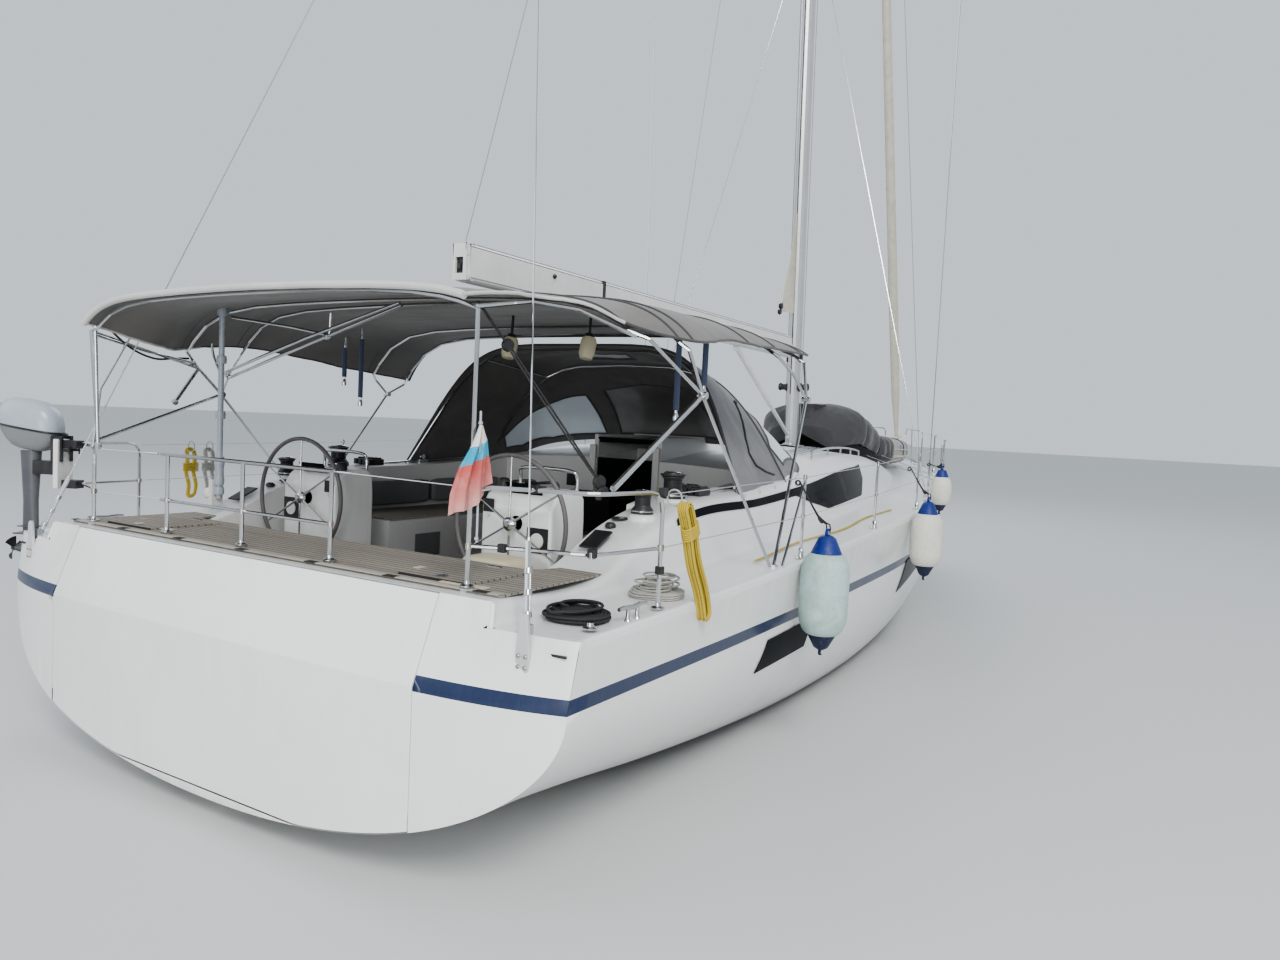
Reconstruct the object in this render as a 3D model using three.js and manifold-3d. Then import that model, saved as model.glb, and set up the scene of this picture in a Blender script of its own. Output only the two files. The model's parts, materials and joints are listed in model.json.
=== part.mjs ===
// A cruising yacht of about fifteen metres, afloat: sloop rig, twin wheels, drop-down transom.
// Millimetres. X runs to the bow, Y to port, Z up. Z = 0 is the waterline, X = 0 the aft deck edge.
import * as THREE from "three";
import { mergeVertices } from "three/addons/utils/BufferGeometryUtils.js";
import Module from "manifold-3d";

const wasm = await Module();
wasm.setup();

// Driving dimensions
const SEAT_GAP = 0.4;
const MOVING_GAP = 8;
const STEM_X = 14550;
const TRANSOM_KNUCKLE = { x: -190, z: 1070, curve: 170, halfWidth: 2400, power: 5 };
const TRANSOM_SLOPE = { inner: 0.42, outer: 0.13 };
const AFT_DECK = { z: 1520, halfWidth: 1970, length: 850, teak: 12 };
const PLATFORM = {
  halfWidth: 1630, bottomZ: 178, topZ: 1540, thickness: 95, hingeX: -190, hingeZ: 178, barrel: 12,
};
const WELL = {
  aftX: 850, benchX: 2000, foreX: 4350, soleZ: 1050, helmHalf: 1560, footHalf: 790, benchHalf: 1480,
};
const BENCH_Z = 1490;
const COMPANIONWAY = { foreX: 5150, halfWidth: 330, floorZ: 700, railTop: 2260, slideZ: 2215 };
const WHEEL = { x: 1300, y: 1020, z: 1700, radius: 450, rim: 15, hub: 48, spokes: 6 };
const CONSOLE = { aftX: 1372, foreX: 1760, inner: 720, outer: 1300, topZ: 1930 };
const MAST = { footX: 8850, rake: 0.0545, topZ: 22200, chord: 260, width: 165 };
const BOOM = {
  aftX: 1900, foreX: 8470, bottomZ: 3390, topZ: 3680, width: 130, gooseneckZ: 3530, axisX: 8610,
};
const SPREADERS = [
  { name: "lower", z: 9300, tipY: 2110, tipBack: 470, tipZ: 9020 },
  { name: "upper", z: 15300, tipY: 1640, tipBack: 370, tipZ: 15080 },
];
const CHAINPLATE = { x: 8230, inset: 160 };
const WIRE = { cap: 6, diagonal: 5, backstay: 5, lifeline: 3 };
const BACKSTAY = { splitX: 2510, splitZ: 9030, footY: 2180, footZ: 1330, footX: 12 };
const FORESTAY = { footX: 14380, footZ: 2300, headZ: 21300 };
const RUDDER = {
  x: 690, bearingZ: 0, topZ: -60, bottomZ: -1980, chordTop: 720, chordTip: 470, stockAhead: 160,
  stock: 45, stockLength: 150,
};
const KEEL = { rootAft: 6150, rootFore: 8350, tipAft: 6350, tipFore: 8150, depth: -2320, bulb: 190 };
const SAILDRIVE = { x: 5150, legZ: -960, propellerX: 4960, blade: 225 };
const RAIL = { tube: 12.5, top: 2040, middle: 1740 };
const STANCHION = { height: 605, radius: 12, inset: 75, middle: 310 };
const CANOPY = { foreX: 3520, thickness: 12 };
const HOOD = { thickness: 12, buried: 160 };

// Stations of the hull: place, half beam and height of the deck edge and of the chine, keel line, fullness
const STATIONS = [
  { x: 0, edgeY: 2460, edgeZ: 1345, chineY: 2440, chineZ: 1060, keelZ: 125, full: 2.1 },
  { x: 700, edgeY: 2480, edgeZ: 1362, chineY: 2450, chineZ: 1070, keelZ: 20, full: 2.15 },
  { x: 1600, edgeY: 2492, edgeZ: 1388, chineY: 2460, chineZ: 1082, keelZ: -135, full: 2.2 },
  { x: 2900, edgeY: 2495, edgeZ: 1430, chineY: 2450, chineZ: 1105, keelZ: -320, full: 2.25 },
  { x: 4400, edgeY: 2470, edgeZ: 1480, chineY: 2415, chineZ: 1145, keelZ: -490, full: 2.3 },
  { x: 5900, edgeY: 2425, edgeZ: 1532, chineY: 2355, chineZ: 1195, keelZ: -585, full: 2.3 },
  { x: 7400, edgeY: 2330, edgeZ: 1590, chineY: 2235, chineZ: 1255, keelZ: -600, full: 2.25 },
  { x: 8800, edgeY: 2170, edgeZ: 1645, chineY: 2040, chineZ: 1320, keelZ: -570, full: 2.15 },
  { x: 10200, edgeY: 1900, edgeZ: 1705, chineY: 1730, chineZ: 1395, keelZ: -480, full: 2.0 },
  { x: 11500, edgeY: 1520, edgeZ: 1762, chineY: 1320, chineZ: 1470, keelZ: -350, full: 1.8 },
  { x: 12700, edgeY: 1040, edgeZ: 1815, chineY: 850, chineZ: 1545, keelZ: -190, full: 1.55 },
  { x: 13700, edgeY: 560, edgeZ: 1862, chineY: 420, chineZ: 1610, keelZ: -40, full: 1.35 },
  { x: 14250, edgeY: 255, edgeZ: 1890, chineY: 170, chineZ: 1650, keelZ: 190, full: 1.2 },
  { x: STEM_X, edgeY: 45, edgeZ: 1910, chineY: 30, chineZ: 1680, keelZ: 1150, full: 1.1 },
];

// Stations of the deck moulding: side deck's inner edge, top of the deckhouse side, height of the middle
const DECK_STATIONS = [
  { x: 0, sideY: 1990, sideZ: 1392, wallY: 1970, wallZ: 1508, roofY: 1700, roofZ: 1508, midZ: 1508 },
  { x: 1000, sideY: 1990, sideZ: 1408, wallY: 1965, wallZ: 1508, roofY: 1700, roofZ: 1508, midZ: 1508 },
  { x: 1550, sideY: 1985, sideZ: 1425, wallY: 1940, wallZ: 1700, roofY: 1800, roofZ: 1730, midZ: 1730 },
  { x: 2050, sideY: 1975, sideZ: 1440, wallY: 1915, wallZ: 1805, roofY: 1790, roofZ: 1840, midZ: 1840 },
  { x: 3400, sideY: 1950, sideZ: 1490, wallY: 1870, wallZ: 1850, roofY: 1740, roofZ: 1900, midZ: 1920 },
  { x: 4600, sideY: 1900, sideZ: 1535, wallY: 1790, wallZ: 1915, roofY: 1640, roofZ: 1990, midZ: 2060 },
  { x: 6000, sideY: 1810, sideZ: 1585, wallY: 1670, wallZ: 2030, roofY: 1480, roofZ: 2110, midZ: 2190 },
  { x: 7300, sideY: 1650, sideZ: 1640, wallY: 1500, wallZ: 2050, roofY: 1300, roofZ: 2130, midZ: 2200 },
  { x: 8800, sideY: 1400, sideZ: 1700, wallY: 1250, wallZ: 2010, roofY: 1050, roofZ: 2080, midZ: 2130 },
  { x: 10200, sideY: 1080, sideZ: 1762, wallY: 950, wallZ: 1920, roofY: 800, roofZ: 1975, midZ: 2010 },
  { x: 11300, sideY: 760, sideZ: 1812, wallY: 660, wallZ: 1850, roofY: 560, roofZ: 1872, midZ: 1888 },
  { x: 12700, sideY: 420, sideZ: 1862, wallY: 360, wallZ: 1868, roofY: 280, roofZ: 1874, midZ: 1880 },
  { x: 13700, sideY: 260, sideZ: 1900, wallY: 210, wallZ: 1904, roofY: 160, roofZ: 1908, midZ: 1910 },
  { x: 14250, sideY: 110, sideZ: 1924, wallY: 90, wallZ: 1926, roofY: 60, roofZ: 1928, midZ: 1930 },
  { x: 14500, sideY: 34, sideZ: 1938, wallY: 26, wallZ: 1939, roofY: 16, roofZ: 1940, midZ: 1940 },
];
const TOE = { height: 48, width: 45, deckBelow: 12 };

// Materials: colour, roughness, metalness
const FINISH = {
  gelcoat: { color: 0xe9ebe8, roughness: 0.28, metalness: 0 },
  teak: { color: 0x9a8b7a, roughness: 0.8, metalness: 0 },
  steel: { color: 0xc9cbcc, roughness: 0.22, metalness: 1 },
  aluminium: { color: 0xd4d6d4, roughness: 0.45, metalness: 0.6 },
  iron: { color: 0x2b3440, roughness: 0.7, metalness: 0.1 },
  acrylic: { color: 0x15181b, roughness: 0.12, metalness: 0 },
  canvas: { color: 0x6d7076, roughness: 0.9, metalness: 0 },
  darkCanvas: { color: 0x26272b, roughness: 0.92, metalness: 0 },
  sailcloth: { color: 0xd9d3c0, roughness: 0.85, metalness: 0 },
  blackPlastic: { color: 0x17181a, roughness: 0.5, metalness: 0 },
  bronze: { color: 0xa8823f, roughness: 0.4, metalness: 0.9 },
  rubber: { color: 0x9a9d9c, roughness: 0.7, metalness: 0 },
  fender: { color: 0xc9cdbf, roughness: 0.55, metalness: 0 },
  flag: { color: 0xc4535c, roughness: 0.9, metalness: 0 },
  yellowRope: { color: 0xc9ad3a, roughness: 0.9, metalness: 0 },
  whiteRope: { color: 0xc6c6c0, roughness: 0.9, metalness: 0 },
  blackRope: { color: 0x17171a, roughness: 0.9, metalness: 0 },
};

const yacht = new THREE.Group();

// Solids and their joins
function solid(geometry) {
  const plain = geometry.clone();
  plain.deleteAttribute("normal");
  plain.deleteAttribute("uv");
  const merged = mergeVertices(plain, 1e-3);
  const source = merged.index.array;
  const kept = [];
  for (let i = 0; i < source.length; i += 3) {
    const [a, b, c] = [source[i], source[i + 1], source[i + 2]];
    if (a !== b && b !== c && a !== c) kept.push(a, b, c);
  }
  const vertProperties = new Float32Array(merged.attributes.position.array);
  const made = (tris) =>
    new wasm.Manifold(new wasm.Mesh({ numProp: 3, vertProperties, triVerts: new Uint32Array(tris) }));
  const body = made(kept);
  if (body.volume() >= 0) return body;
  const turned = kept.slice();
  for (let i = 0; i < turned.length; i += 3) [turned[i + 1], turned[i + 2]] = [turned[i + 2], turned[i + 1]];
  return made(turned);
}

const join = (...bodies) => bodies.reduce((whole, body) => whole.add(body));
const cut = (body, ...tools) => tools.reduce((rest, tool) => rest.subtract(tool), body);
const mirrored = (body) => body.mirror([0, 1, 0]);

// The largest of the bodies that a cut leaves
const largest = (body) => body.decompose().sort((a, b) => b.volume() - a.volume())[0];

// Moves a piece one way until it all but touches another
const touching = (body, other, way) => {
  let moved = body;
  for (let i = 0; i < 12; i += 1) {
    const step = moved.minGap(other, 600) - SEAT_GAP;
    moved = moved.translate(way.map((v) => v * step));
  }
  return moved;
};

// Cuts a piece away all round another that it clasps
const clasping = (body, other) => largest([-1, 1].reduce(
  (rest, d) => cut(
    rest,
    other.translate([d * SEAT_GAP, 0, 0]),
    other.translate([0, d * SEAT_GAP, 0]),
    other.translate([0, 0, d * SEAT_GAP]),
  ),
  body.subtract(other),
));

// Keeps a piece just clear of the surface that it stands on, and drops what would lie inside it
const seated = (body, base) => largest(body.subtract(base).subtract(base.translate([0, 0, SEAT_GAP])));

function add(name, body, finish) {
  const data = body.getMesh();
  const geometry = new THREE.BufferGeometry();
  const count = data.vertProperties.length / data.numProp;
  const position = new Float32Array(count * 3);
  for (let i = 0; i < count; i += 1) {
    for (let k = 0; k < 3; k += 1) position[3 * i + k] = data.vertProperties[data.numProp * i + k];
  }
  geometry.setAttribute("position", new THREE.BufferAttribute(position, 3));
  geometry.setIndex(new THREE.BufferAttribute(new Uint32Array(data.triVerts), 1));
  geometry.computeVertexNormals();
  const mesh = new THREE.Mesh(geometry, new THREE.MeshStandardMaterial(finish));
  mesh.name = name;
  yacht.add(mesh);
}

// Prisms: an outline in one plane, carried from one height to another along the third axis
function prism(outline, from, to, place) {
  const shape = new THREE.Shape(outline.map(([a, b]) => new THREE.Vector2(a, b)));
  const geometry = new THREE.ExtrudeGeometry(shape, { depth: to - from, bevelEnabled: false });
  const p = geometry.attributes.position;
  for (let i = 0; i < p.count; i += 1) {
    const [x, y, z] = place(p.getX(i), p.getY(i), p.getZ(i) + from);
    p.setXYZ(i, x, y, z);
  }
  return solid(geometry);
}
const prismX = (outline, from, to) => prism(outline, from, to, (a, b, c) => [c, a, b]);
const prismY = (outline, from, to) => prism(outline, from, to, (a, b, c) => [a, c, b]);
const prismZ = (outline, from, to) => prism(outline, from, to, (a, b, c) => [a, b, c]);
const block = (x0, x1, y0, y1, z0, z1) =>
  prismZ([[x0, y0], [x1, y0], [x1, y1], [x0, y1]], z0, z1);

// An outline with its corners cut as arcs
function rounded(x0, x1, y0, y1, radius, steps = 3) {
  const corners = [
    [x1 - radius, y1 - radius, 0],
    [x0 + radius, y1 - radius, 90],
    [x0 + radius, y0 + radius, 180],
    [x1 - radius, y0 + radius, 270],
  ];
  return corners.flatMap(([cx, cy, start]) =>
    Array.from({ length: steps + 1 }, (_, i) => {
      const angle = THREE.MathUtils.degToRad(start + (90 * i) / steps);
      return [cx + radius * Math.cos(angle), cy + radius * Math.sin(angle)];
    }),
  );
}

// A route through given points, each step ending on one of them
class Route extends THREE.Curve {
  constructor(points) {
    super();
    this.points = points.map(([x, y, z]) => new THREE.Vector3(x, y, z));
  }
  getPointAt(u) {
    return this.points[Math.round(u * (this.points.length - 1))].clone();
  }
  getTangentAt(u) {
    const i = Math.round(u * (this.points.length - 1));
    const before = this.points[Math.max(i - 1, 0)];
    const after = this.points[Math.min(i + 1, this.points.length - 1)];
    return after.clone().sub(before).normalize();
  }
}

function pipe(points, radius, sides = 6) {
  const shape = new THREE.Shape(
    Array.from({ length: sides }, (_, i) => {
      const angle = (2 * Math.PI * i) / sides;
      return new THREE.Vector2(radius * Math.cos(angle), radius * Math.sin(angle));
    }),
  );
  const options = { steps: points.length - 1, extrudePath: new Route(points), bevelEnabled: false };
  return solid(new THREE.ExtrudeGeometry(shape, options));
}

// The same points with each corner rounded
function bent(points, radius, steps = 3) {
  const route = points.map((p) => new THREE.Vector3(...p));
  const out = [points[0]];
  for (let i = 1; i < route.length - 1; i += 1) {
    const back = route[i - 1].clone().sub(route[i]);
    const ahead = route[i + 1].clone().sub(route[i]);
    const reach = Math.min(radius, back.length() / 2.2, ahead.length() / 2.2);
    const start = route[i].clone().add(back.setLength(reach));
    const end = route[i].clone().add(ahead.setLength(reach));
    const arc = new THREE.QuadraticBezierCurve3(start, route[i], end);
    arc.getPoints(steps).forEach((p) => out.push([p.x, p.y, p.z]));
  }
  out.push(points[points.length - 1]);
  return out;
}
const bentPipe = (points, radius, bend = 90, sides = 6) => pipe(bent(points, bend), radius, sides);

// A turned shape about the vertical, its profile as [radius, height] pairs, closed on the axis
function turned(profile, segments = 20) {
  const points = profile.map(([r, z]) => new THREE.Vector2(r, z));
  return solid(new THREE.LatheGeometry(points, segments).rotateX(Math.PI / 2));
}
const drum = (radius, height, segments = 16) =>
  turned([[0, 0], [radius, 0], [radius, height], [0, height]], segments);

// Rings of points joined into one closed skin, with both ends flat in plan
function loft(rings, capAt = (ring) => ring.map(([, y, z]) => new THREE.Vector2(y, z)), closeStart = true) {
  const count = rings[0].length;
  const position = rings.flat(2);
  const index = [];
  for (let i = 0; i < rings.length - 1; i += 1) {
    for (let j = 0; j < count; j += 1) {
      const [a, b] = [i * count + j, i * count + ((j + 1) % count)];
      index.push(a, a + count, b, b, a + count, b + count);
    }
  }
  const capFaces = (ring) => {
    const outline = capAt(ring);
    const turn = THREE.ShapeUtils.isClockWise(outline) ? -1 : 1;
    return { faces: THREE.ShapeUtils.triangulateShape(outline, []), turn };
  };
  // Each cap's winding follows the skin's own edges
  const edges = new Set();
  for (let i = 0; i < index.length; i += 3) {
    edges.add(index[i] + "_" + index[i + 1]);
    edges.add(index[i + 1] + "_" + index[i + 2]);
    edges.add(index[i + 2] + "_" + index[i]);
  }
  const close = (first) => {
    const { faces } = capFaces(rings[first]);
    const base = first * count;
    const flat = faces.map((f) => f.map((k) => k + base));
    const known = (a, b) => edges.has(a + "_" + b);
    const clash = flat.some(([a, b, c]) => known(a, b) || known(b, c) || known(c, a));
    flat.forEach(([a, b, c]) => (clash ? index.push(a, c, b) : index.push(a, b, c)));
  };
  if (closeStart) close(0);
  close(rings.length - 1);
  return { position, index };
}

function skin({ position, index }) {
  const geometry = new THREE.BufferGeometry();
  geometry.setAttribute("position", new THREE.BufferAttribute(new Float32Array(position), 3));
  geometry.setIndex(index);
  return solid(geometry);
}
const lofted = (rings) => skin(loft(rings));

// Value of a station table's column at any place
function between(table, x, column) {
  const last = table.length - 1;
  if (x <= table[0].x) return table[0][column];
  if (x >= table[last].x) return table[last][column];
  const i = table.findIndex((row) => row.x > x);
  const t = (x - table[i - 1].x) / (table[i].x - table[i - 1].x);
  return table[i - 1][column] + t * (table[i][column] - table[i - 1][column]);
}
const edgeAt = (x) => between(STATIONS, x, "edgeY");
const deckAt = (x) => between(STATIONS, x, "edgeZ") + TOE.deckBelow + 25;

// The transom's aft face: flat amidships, swept forward at the quarters, sloped above the knuckle
function transomX(y, z) {
  const out = Math.min(Math.abs(y) / TRANSOM_KNUCKLE.halfWidth, 1.03) ** TRANSOM_KNUCKLE.power;
  const knuckle = TRANSOM_KNUCKLE.x + TRANSOM_KNUCKLE.curve * out;
  const slope = TRANSOM_SLOPE.inner + (TRANSOM_SLOPE.outer - TRANSOM_SLOPE.inner) * Math.min(out, 1);
  return z <= TRANSOM_KNUCKLE.z ? knuckle : knuckle + slope * (z - TRANSOM_KNUCKLE.z);
}

// Hull
const BILGE_STEPS = 9;
const TOP_STEPS = 8;
function halfSection(s) {
  const points = [[s.edgeY, s.edgeZ]];
  for (let i = 0; i <= BILGE_STEPS; i += 1) {
    const angle = (Math.PI / 2) * (i / BILGE_STEPS);
    const y = s.chineY * Math.cos(angle) ** (2 / s.full);
    const z = s.chineZ - (s.chineZ - s.keelZ) * Math.sin(angle) ** (2 / s.full);
    points.push([i === BILGE_STEPS ? 0 : y, z]);
  }
  return points;
}

function makeHull() {
  const rings = STATIONS.map((s, row) => {
    const half = halfSection(s);
    const other = half.slice(0, -1).reverse().map(([y, z]) => [-y, z]);
    const top = Array.from({ length: TOP_STEPS - 1 }, (_, i) => [
      s.edgeY * (-1 + (2 * (i + 1)) / TOP_STEPS),
      s.edgeZ,
    ]);
    return [...half, ...other, ...top].map(([y, z]) => [row ? s.x : transomX(y, z), y, z]);
  });
  const { position, index } = loft(rings, undefined, false);
  // The transom's face, row by row from the deck edge down to the keel line
  const levels = BILGE_STEPS + 1;
  const ringRow = (i) => {
    if (i === 0) {
      const across = Array.from({ length: TOP_STEPS - 1 }, (_, k) => 2 * levels + TOP_STEPS - 1 - k);
      return [0, ...across, 2 * levels];
    }
    const [, y, z] = rings[0][i];
    const inner = Array.from({ length: TOP_STEPS - 1 }, (_, k) => {
      const yy = y * (1 - (2 * (k + 1)) / TOP_STEPS);
      position.push(transomX(yy, z), yy, z);
      return position.length / 3 - 1;
    });
    return [i, ...inner, 2 * levels - i];
  };
  let above = ringRow(0);
  for (let i = 1; i < levels; i += 1) {
    const below = ringRow(i);
    for (let k = 0; k < TOP_STEPS; k += 1) {
      index.push(above[k], below[k], above[k + 1], above[k + 1], below[k], below[k + 1]);
    }
    above = below;
  }
  for (let k = 0; k < TOP_STEPS; k += 1) index.push(above[k], levels, above[k + 1]);
  return skin({ position, index });
}

// Deck moulding
function makeDeck() {
  const rings = DECK_STATIONS.map((d, row) => {
    const edgeY = edgeAt(d.x) - (row === DECK_STATIONS.length - 1 ? 6 : 0);
    const edgeZ = between(STATIONS, d.x, "edgeZ");
    const half = [
      [edgeY, edgeZ + SEAT_GAP],
      [edgeY, edgeZ + TOE.height],
      [edgeY - Math.min(TOE.width, edgeY * 0.2), edgeZ + TOE.height],
      [edgeY - Math.min(TOE.width + 12, edgeY * 0.24), deckAt(d.x)],
      [d.sideY, Math.max(d.sideZ, deckAt(d.x))],
      [d.wallY, Math.max(d.wallZ, deckAt(d.x) + 2)],
      [d.roofY, Math.max(d.roofZ, deckAt(d.x) + 4)],
    ];
    const port = half.map(([y, z]) => [y, z]);
    const middle = [[0, Math.max(d.midZ, deckAt(d.x) + 5)]];
    const starboard = half.slice().reverse().map(([y, z]) => [-y, z]);
    const under = [-0.75, -0.4, 0, 0.4, 0.75].map((t) => [t * edgeY, edgeZ + SEAT_GAP]);
    return [...port, ...middle, ...starboard, ...under].map(([y, z]) => [row ? d.x : transomX(y, z), y, z]);
  });
  return lofted(rings);
}

const hullSkin = makeHull();
const deckSkin = makeDeck();

// Barrels of a hinge that lies across the boat
const barrelY = (x, z, y0, y1, radius) =>
  drum(radius, y1 - y0, 8).rotate([90, 0, 0]).translate([x, y1, z]);
function hingeAcross(x, z, y, reach, radius = 9) {
  const third = reach / 3;
  return {
    fixed: join(
      barrelY(x, z, y - reach, y - third - SEAT_GAP, radius),
      barrelY(x, z, y + third + SEAT_GAP, y + reach, radius),
    ),
    moving: barrelY(x, z, y - third, y + third, radius),
  };
}

// Drop-down transom platform: its outline is the transom's own, down to its hinge line
const platformOutline = (grow) => [
  [TRANSOM_KNUCKLE.x - 60, PLATFORM.bottomZ - grow],
  [TRANSOM_KNUCKLE.x - 60, PLATFORM.topZ],
  [transomX(0, AFT_DECK.z) + PLATFORM.thickness + grow, PLATFORM.topZ],
  [transomX(0, AFT_DECK.z) + PLATFORM.thickness + grow, AFT_DECK.z - 60],
  [TRANSOM_KNUCKLE.x + PLATFORM.thickness + grow, TRANSOM_KNUCKLE.z - 25],
  [TRANSOM_KNUCKLE.x + PLATFORM.thickness + grow, PLATFORM.bottomZ - grow],
];
const platformHole = prismY(
  platformOutline(MOVING_GAP),
  -PLATFORM.halfWidth - MOVING_GAP,
  PLATFORM.halfWidth + MOVING_GAP,
);
const platformHinges = [-560, 560].map((y) =>
  hingeAcross(PLATFORM.hingeX, PLATFORM.hingeZ, y, 150, PLATFORM.barrel));
const platformHingeRoom = [-560, 560].map((y) => ({
  fixed: join(
    barrelY(PLATFORM.hingeX, PLATFORM.hingeZ, y - 158, y - 50.4, PLATFORM.barrel + 7),
    barrelY(PLATFORM.hingeX, PLATFORM.hingeZ, y + 50.4, y + 158, PLATFORM.barrel + 7),
  ),
  moving: barrelY(PLATFORM.hingeX, PLATFORM.hingeZ, y - 50.2, y + 50.2, PLATFORM.barrel + 7),
}));

const wellHole = join(
  block(WELL.aftX, WELL.benchX, -WELL.helmHalf, WELL.helmHalf, WELL.soleZ, 2600),
  block(WELL.benchX - 1, WELL.foreX, -WELL.footHalf, WELL.footHalf, WELL.soleZ, 2600),
  block(WELL.benchX - 1, WELL.foreX, -WELL.benchHalf, WELL.benchHalf, BENCH_Z, 2600),
);
const wayHole = block(
  WELL.foreX - 1,
  COMPANIONWAY.foreX,
  -COMPANIONWAY.halfWidth,
  COMPANIONWAY.halfWidth,
  COMPANIONWAY.floorZ,
  2600,
);

const transomWhole = join(hullSkin, deckSkin, deckSkin.translate([0, 0, -2 * SEAT_GAP]));
const platform = join(
  cut(
    prismY(platformOutline(0), -PLATFORM.halfWidth, PLATFORM.halfWidth).intersect(transomWhole),
    ...platformHingeRoom.map((room) => room.fixed),
  ),
  ...platformHinges.map((hinge) => hinge.moving),
);
const rudderBearing = drum(RUDDER.stock + 17, 70, 16).translate([RUDDER.x, 0, RUDDER.bearingZ]);
const hull = join(
  rudderBearing,
  cut(hullSkin, platformHole, wellHole, wayHole, ...platformHingeRoom.map((room) => room.moving)),
  ...platformHinges.map((hinge) => hinge.fixed),
);
const deck = cut(deckSkin, platformHole, wellHole, wayHole);
add("hull", hull, FINISH.gelcoat);
add("transom_platform", platform, FINISH.gelcoat);

// Lids in the deck
const LOCKER = { x0: 200, x1: 700, y0: 1150, y1: 1650, hingeX: 714, hingeZ: 1534, thickness: 22 };
const WINCHES = [
  { name: "primary", x: 2250, y: 1700, radius: 92, height: 190 },
  { name: "secondary", x: 1750, y: 1755, radius: 74, height: 160 },
];
const winchTop = (w) =>
  Math.max(between(DECK_STATIONS, w.x, "roofZ"), between(DECK_STATIONS, w.x, "wallZ")) + 34;
const winchBases = WINCHES.flatMap((w) =>
  [1, -1].map((side) => drum(w.radius + 12, 160, 12).translate([w.x, side * w.y, winchTop(w) - 160])),
);
const LOCKER_SIDES = [1, -1].map((side) => {
  const y = (side * (LOCKER.y0 + LOCKER.y1)) / 2;
  const hinge = hingeAcross(LOCKER.hingeX, LOCKER.hingeZ, y, 150);
  const [near, far] = [LOCKER.hingeX - 4, LOCKER.hingeX + 12];
  const foot = join(
    hinge.fixed,
    block(near, far, y - 150, y - 50.4, 1500, LOCKER.hingeZ),
    block(near, far, y + 50.4, y + 150, 1500, LOCKER.hingeZ),
  );
  return { side, y, hinge, foot };
});
const HATCH = { x0: 6250, x1: 6850, half: 290, hingeX: 6868, baseZ: 2214, thickness: 30 };
const ANCHOR_LID = { x0: 13250, x1: 13900, half: 190, hingeX: 13232, z: 1936, thickness: 22 };

const hatchHinge = hingeAcross(HATCH.hingeX, HATCH.baseZ + 24, 0, 150, 10);
const anchorHinge = hingeAcross(ANCHOR_LID.hingeX, ANCHOR_LID.z + 16, 0, 90, 9);
const hatchFrame = prismZ(
  rounded(HATCH.x0 - 25, HATCH.x1 + 40, -HATCH.half - 25, HATCH.half + 25, 60),
  2120,
  HATCH.baseZ - 6,
);
const anchorSeat = prismZ(
  rounded(ANCHOR_LID.x0 - 40, ANCHOR_LID.x1 + 15, -ANCHOR_LID.half - 15, ANCHOR_LID.half + 15, 40),
  1880,
  ANCHOR_LID.z - 6,
);
const GARAGE = { x0: 5190, x1: 5960, half: 392, inner: 348, topZ: 2275, plate: 20 };
const slideRail = join(
  block(4400, GARAGE.x1, GARAGE.inner, GARAGE.half, 1990, COMPANIONWAY.railTop),
  block(4400, GARAGE.x1, COMPANIONWAY.halfWidth, GARAGE.half, 1990, COMPANIONWAY.slideZ - SEAT_GAP),
);
const garage = join(
  slideRail,
  mirrored(slideRail),
  block(GARAGE.x0, GARAGE.x1, -GARAGE.half, GARAGE.half, GARAGE.topZ - GARAGE.plate, GARAGE.topZ),
  block(GARAGE.x1 - 30, GARAGE.x1, -GARAGE.half, GARAGE.half, 2100, GARAGE.topZ),
);
const lugs = (x, z0, z1, reach) => {
  const third = reach / 3 + SEAT_GAP;
  return join(block(x - 9, x + 9, -reach, -third, z0, z1), block(x - 9, x + 9, third, reach, z0, z1));
};
const deckWhole = join(
  deck,
  hatchFrame,
  anchorSeat,
  garage,
  lugs(HATCH.hingeX, HATCH.baseZ - 30, HATCH.baseZ + 24, 150),
  lugs(ANCHOR_LID.hingeX, ANCHOR_LID.z - 30, ANCHOR_LID.z + 16, 90),
  hatchHinge.fixed,
  anchorHinge.fixed,
  ...winchBases,
  ...LOCKER_SIDES.map(({ foot }) => foot),
);
add("deck", deckWhole, FINISH.gelcoat);
add(
  "saloon_hatch",
  join(
    prismZ(rounded(HATCH.x0, HATCH.x1, -HATCH.half, HATCH.half, 50), HATCH.baseZ, HATCH.baseZ + HATCH.thickness),
    block(HATCH.x1 - 20, HATCH.hingeX, -49, 49, HATCH.baseZ + 15, HATCH.baseZ + 34),
    hatchHinge.moving,
  ),
  FINISH.acrylic,
);
add(
  "anchor_locker_lid",
  join(
    prismZ(
      rounded(ANCHOR_LID.x0, ANCHOR_LID.x1, -ANCHOR_LID.half, ANCHOR_LID.half, 30),
      ANCHOR_LID.z,
      ANCHOR_LID.z + ANCHOR_LID.thickness,
    ),
    block(ANCHOR_LID.hingeX, ANCHOR_LID.x0 + 20, -29, 29, ANCHOR_LID.z + 8, ANCHOR_LID.z + 25),
    anchorHinge.moving,
  ),
  FINISH.gelcoat,
);

// Everything that stands on the deck is kept clear of this
const oneSide = join(deckWhole, hull, deck.translate([0, 0, -2 * SEAT_GAP]));
const base = join(oneSide, mirrored(oneSide));

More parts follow.
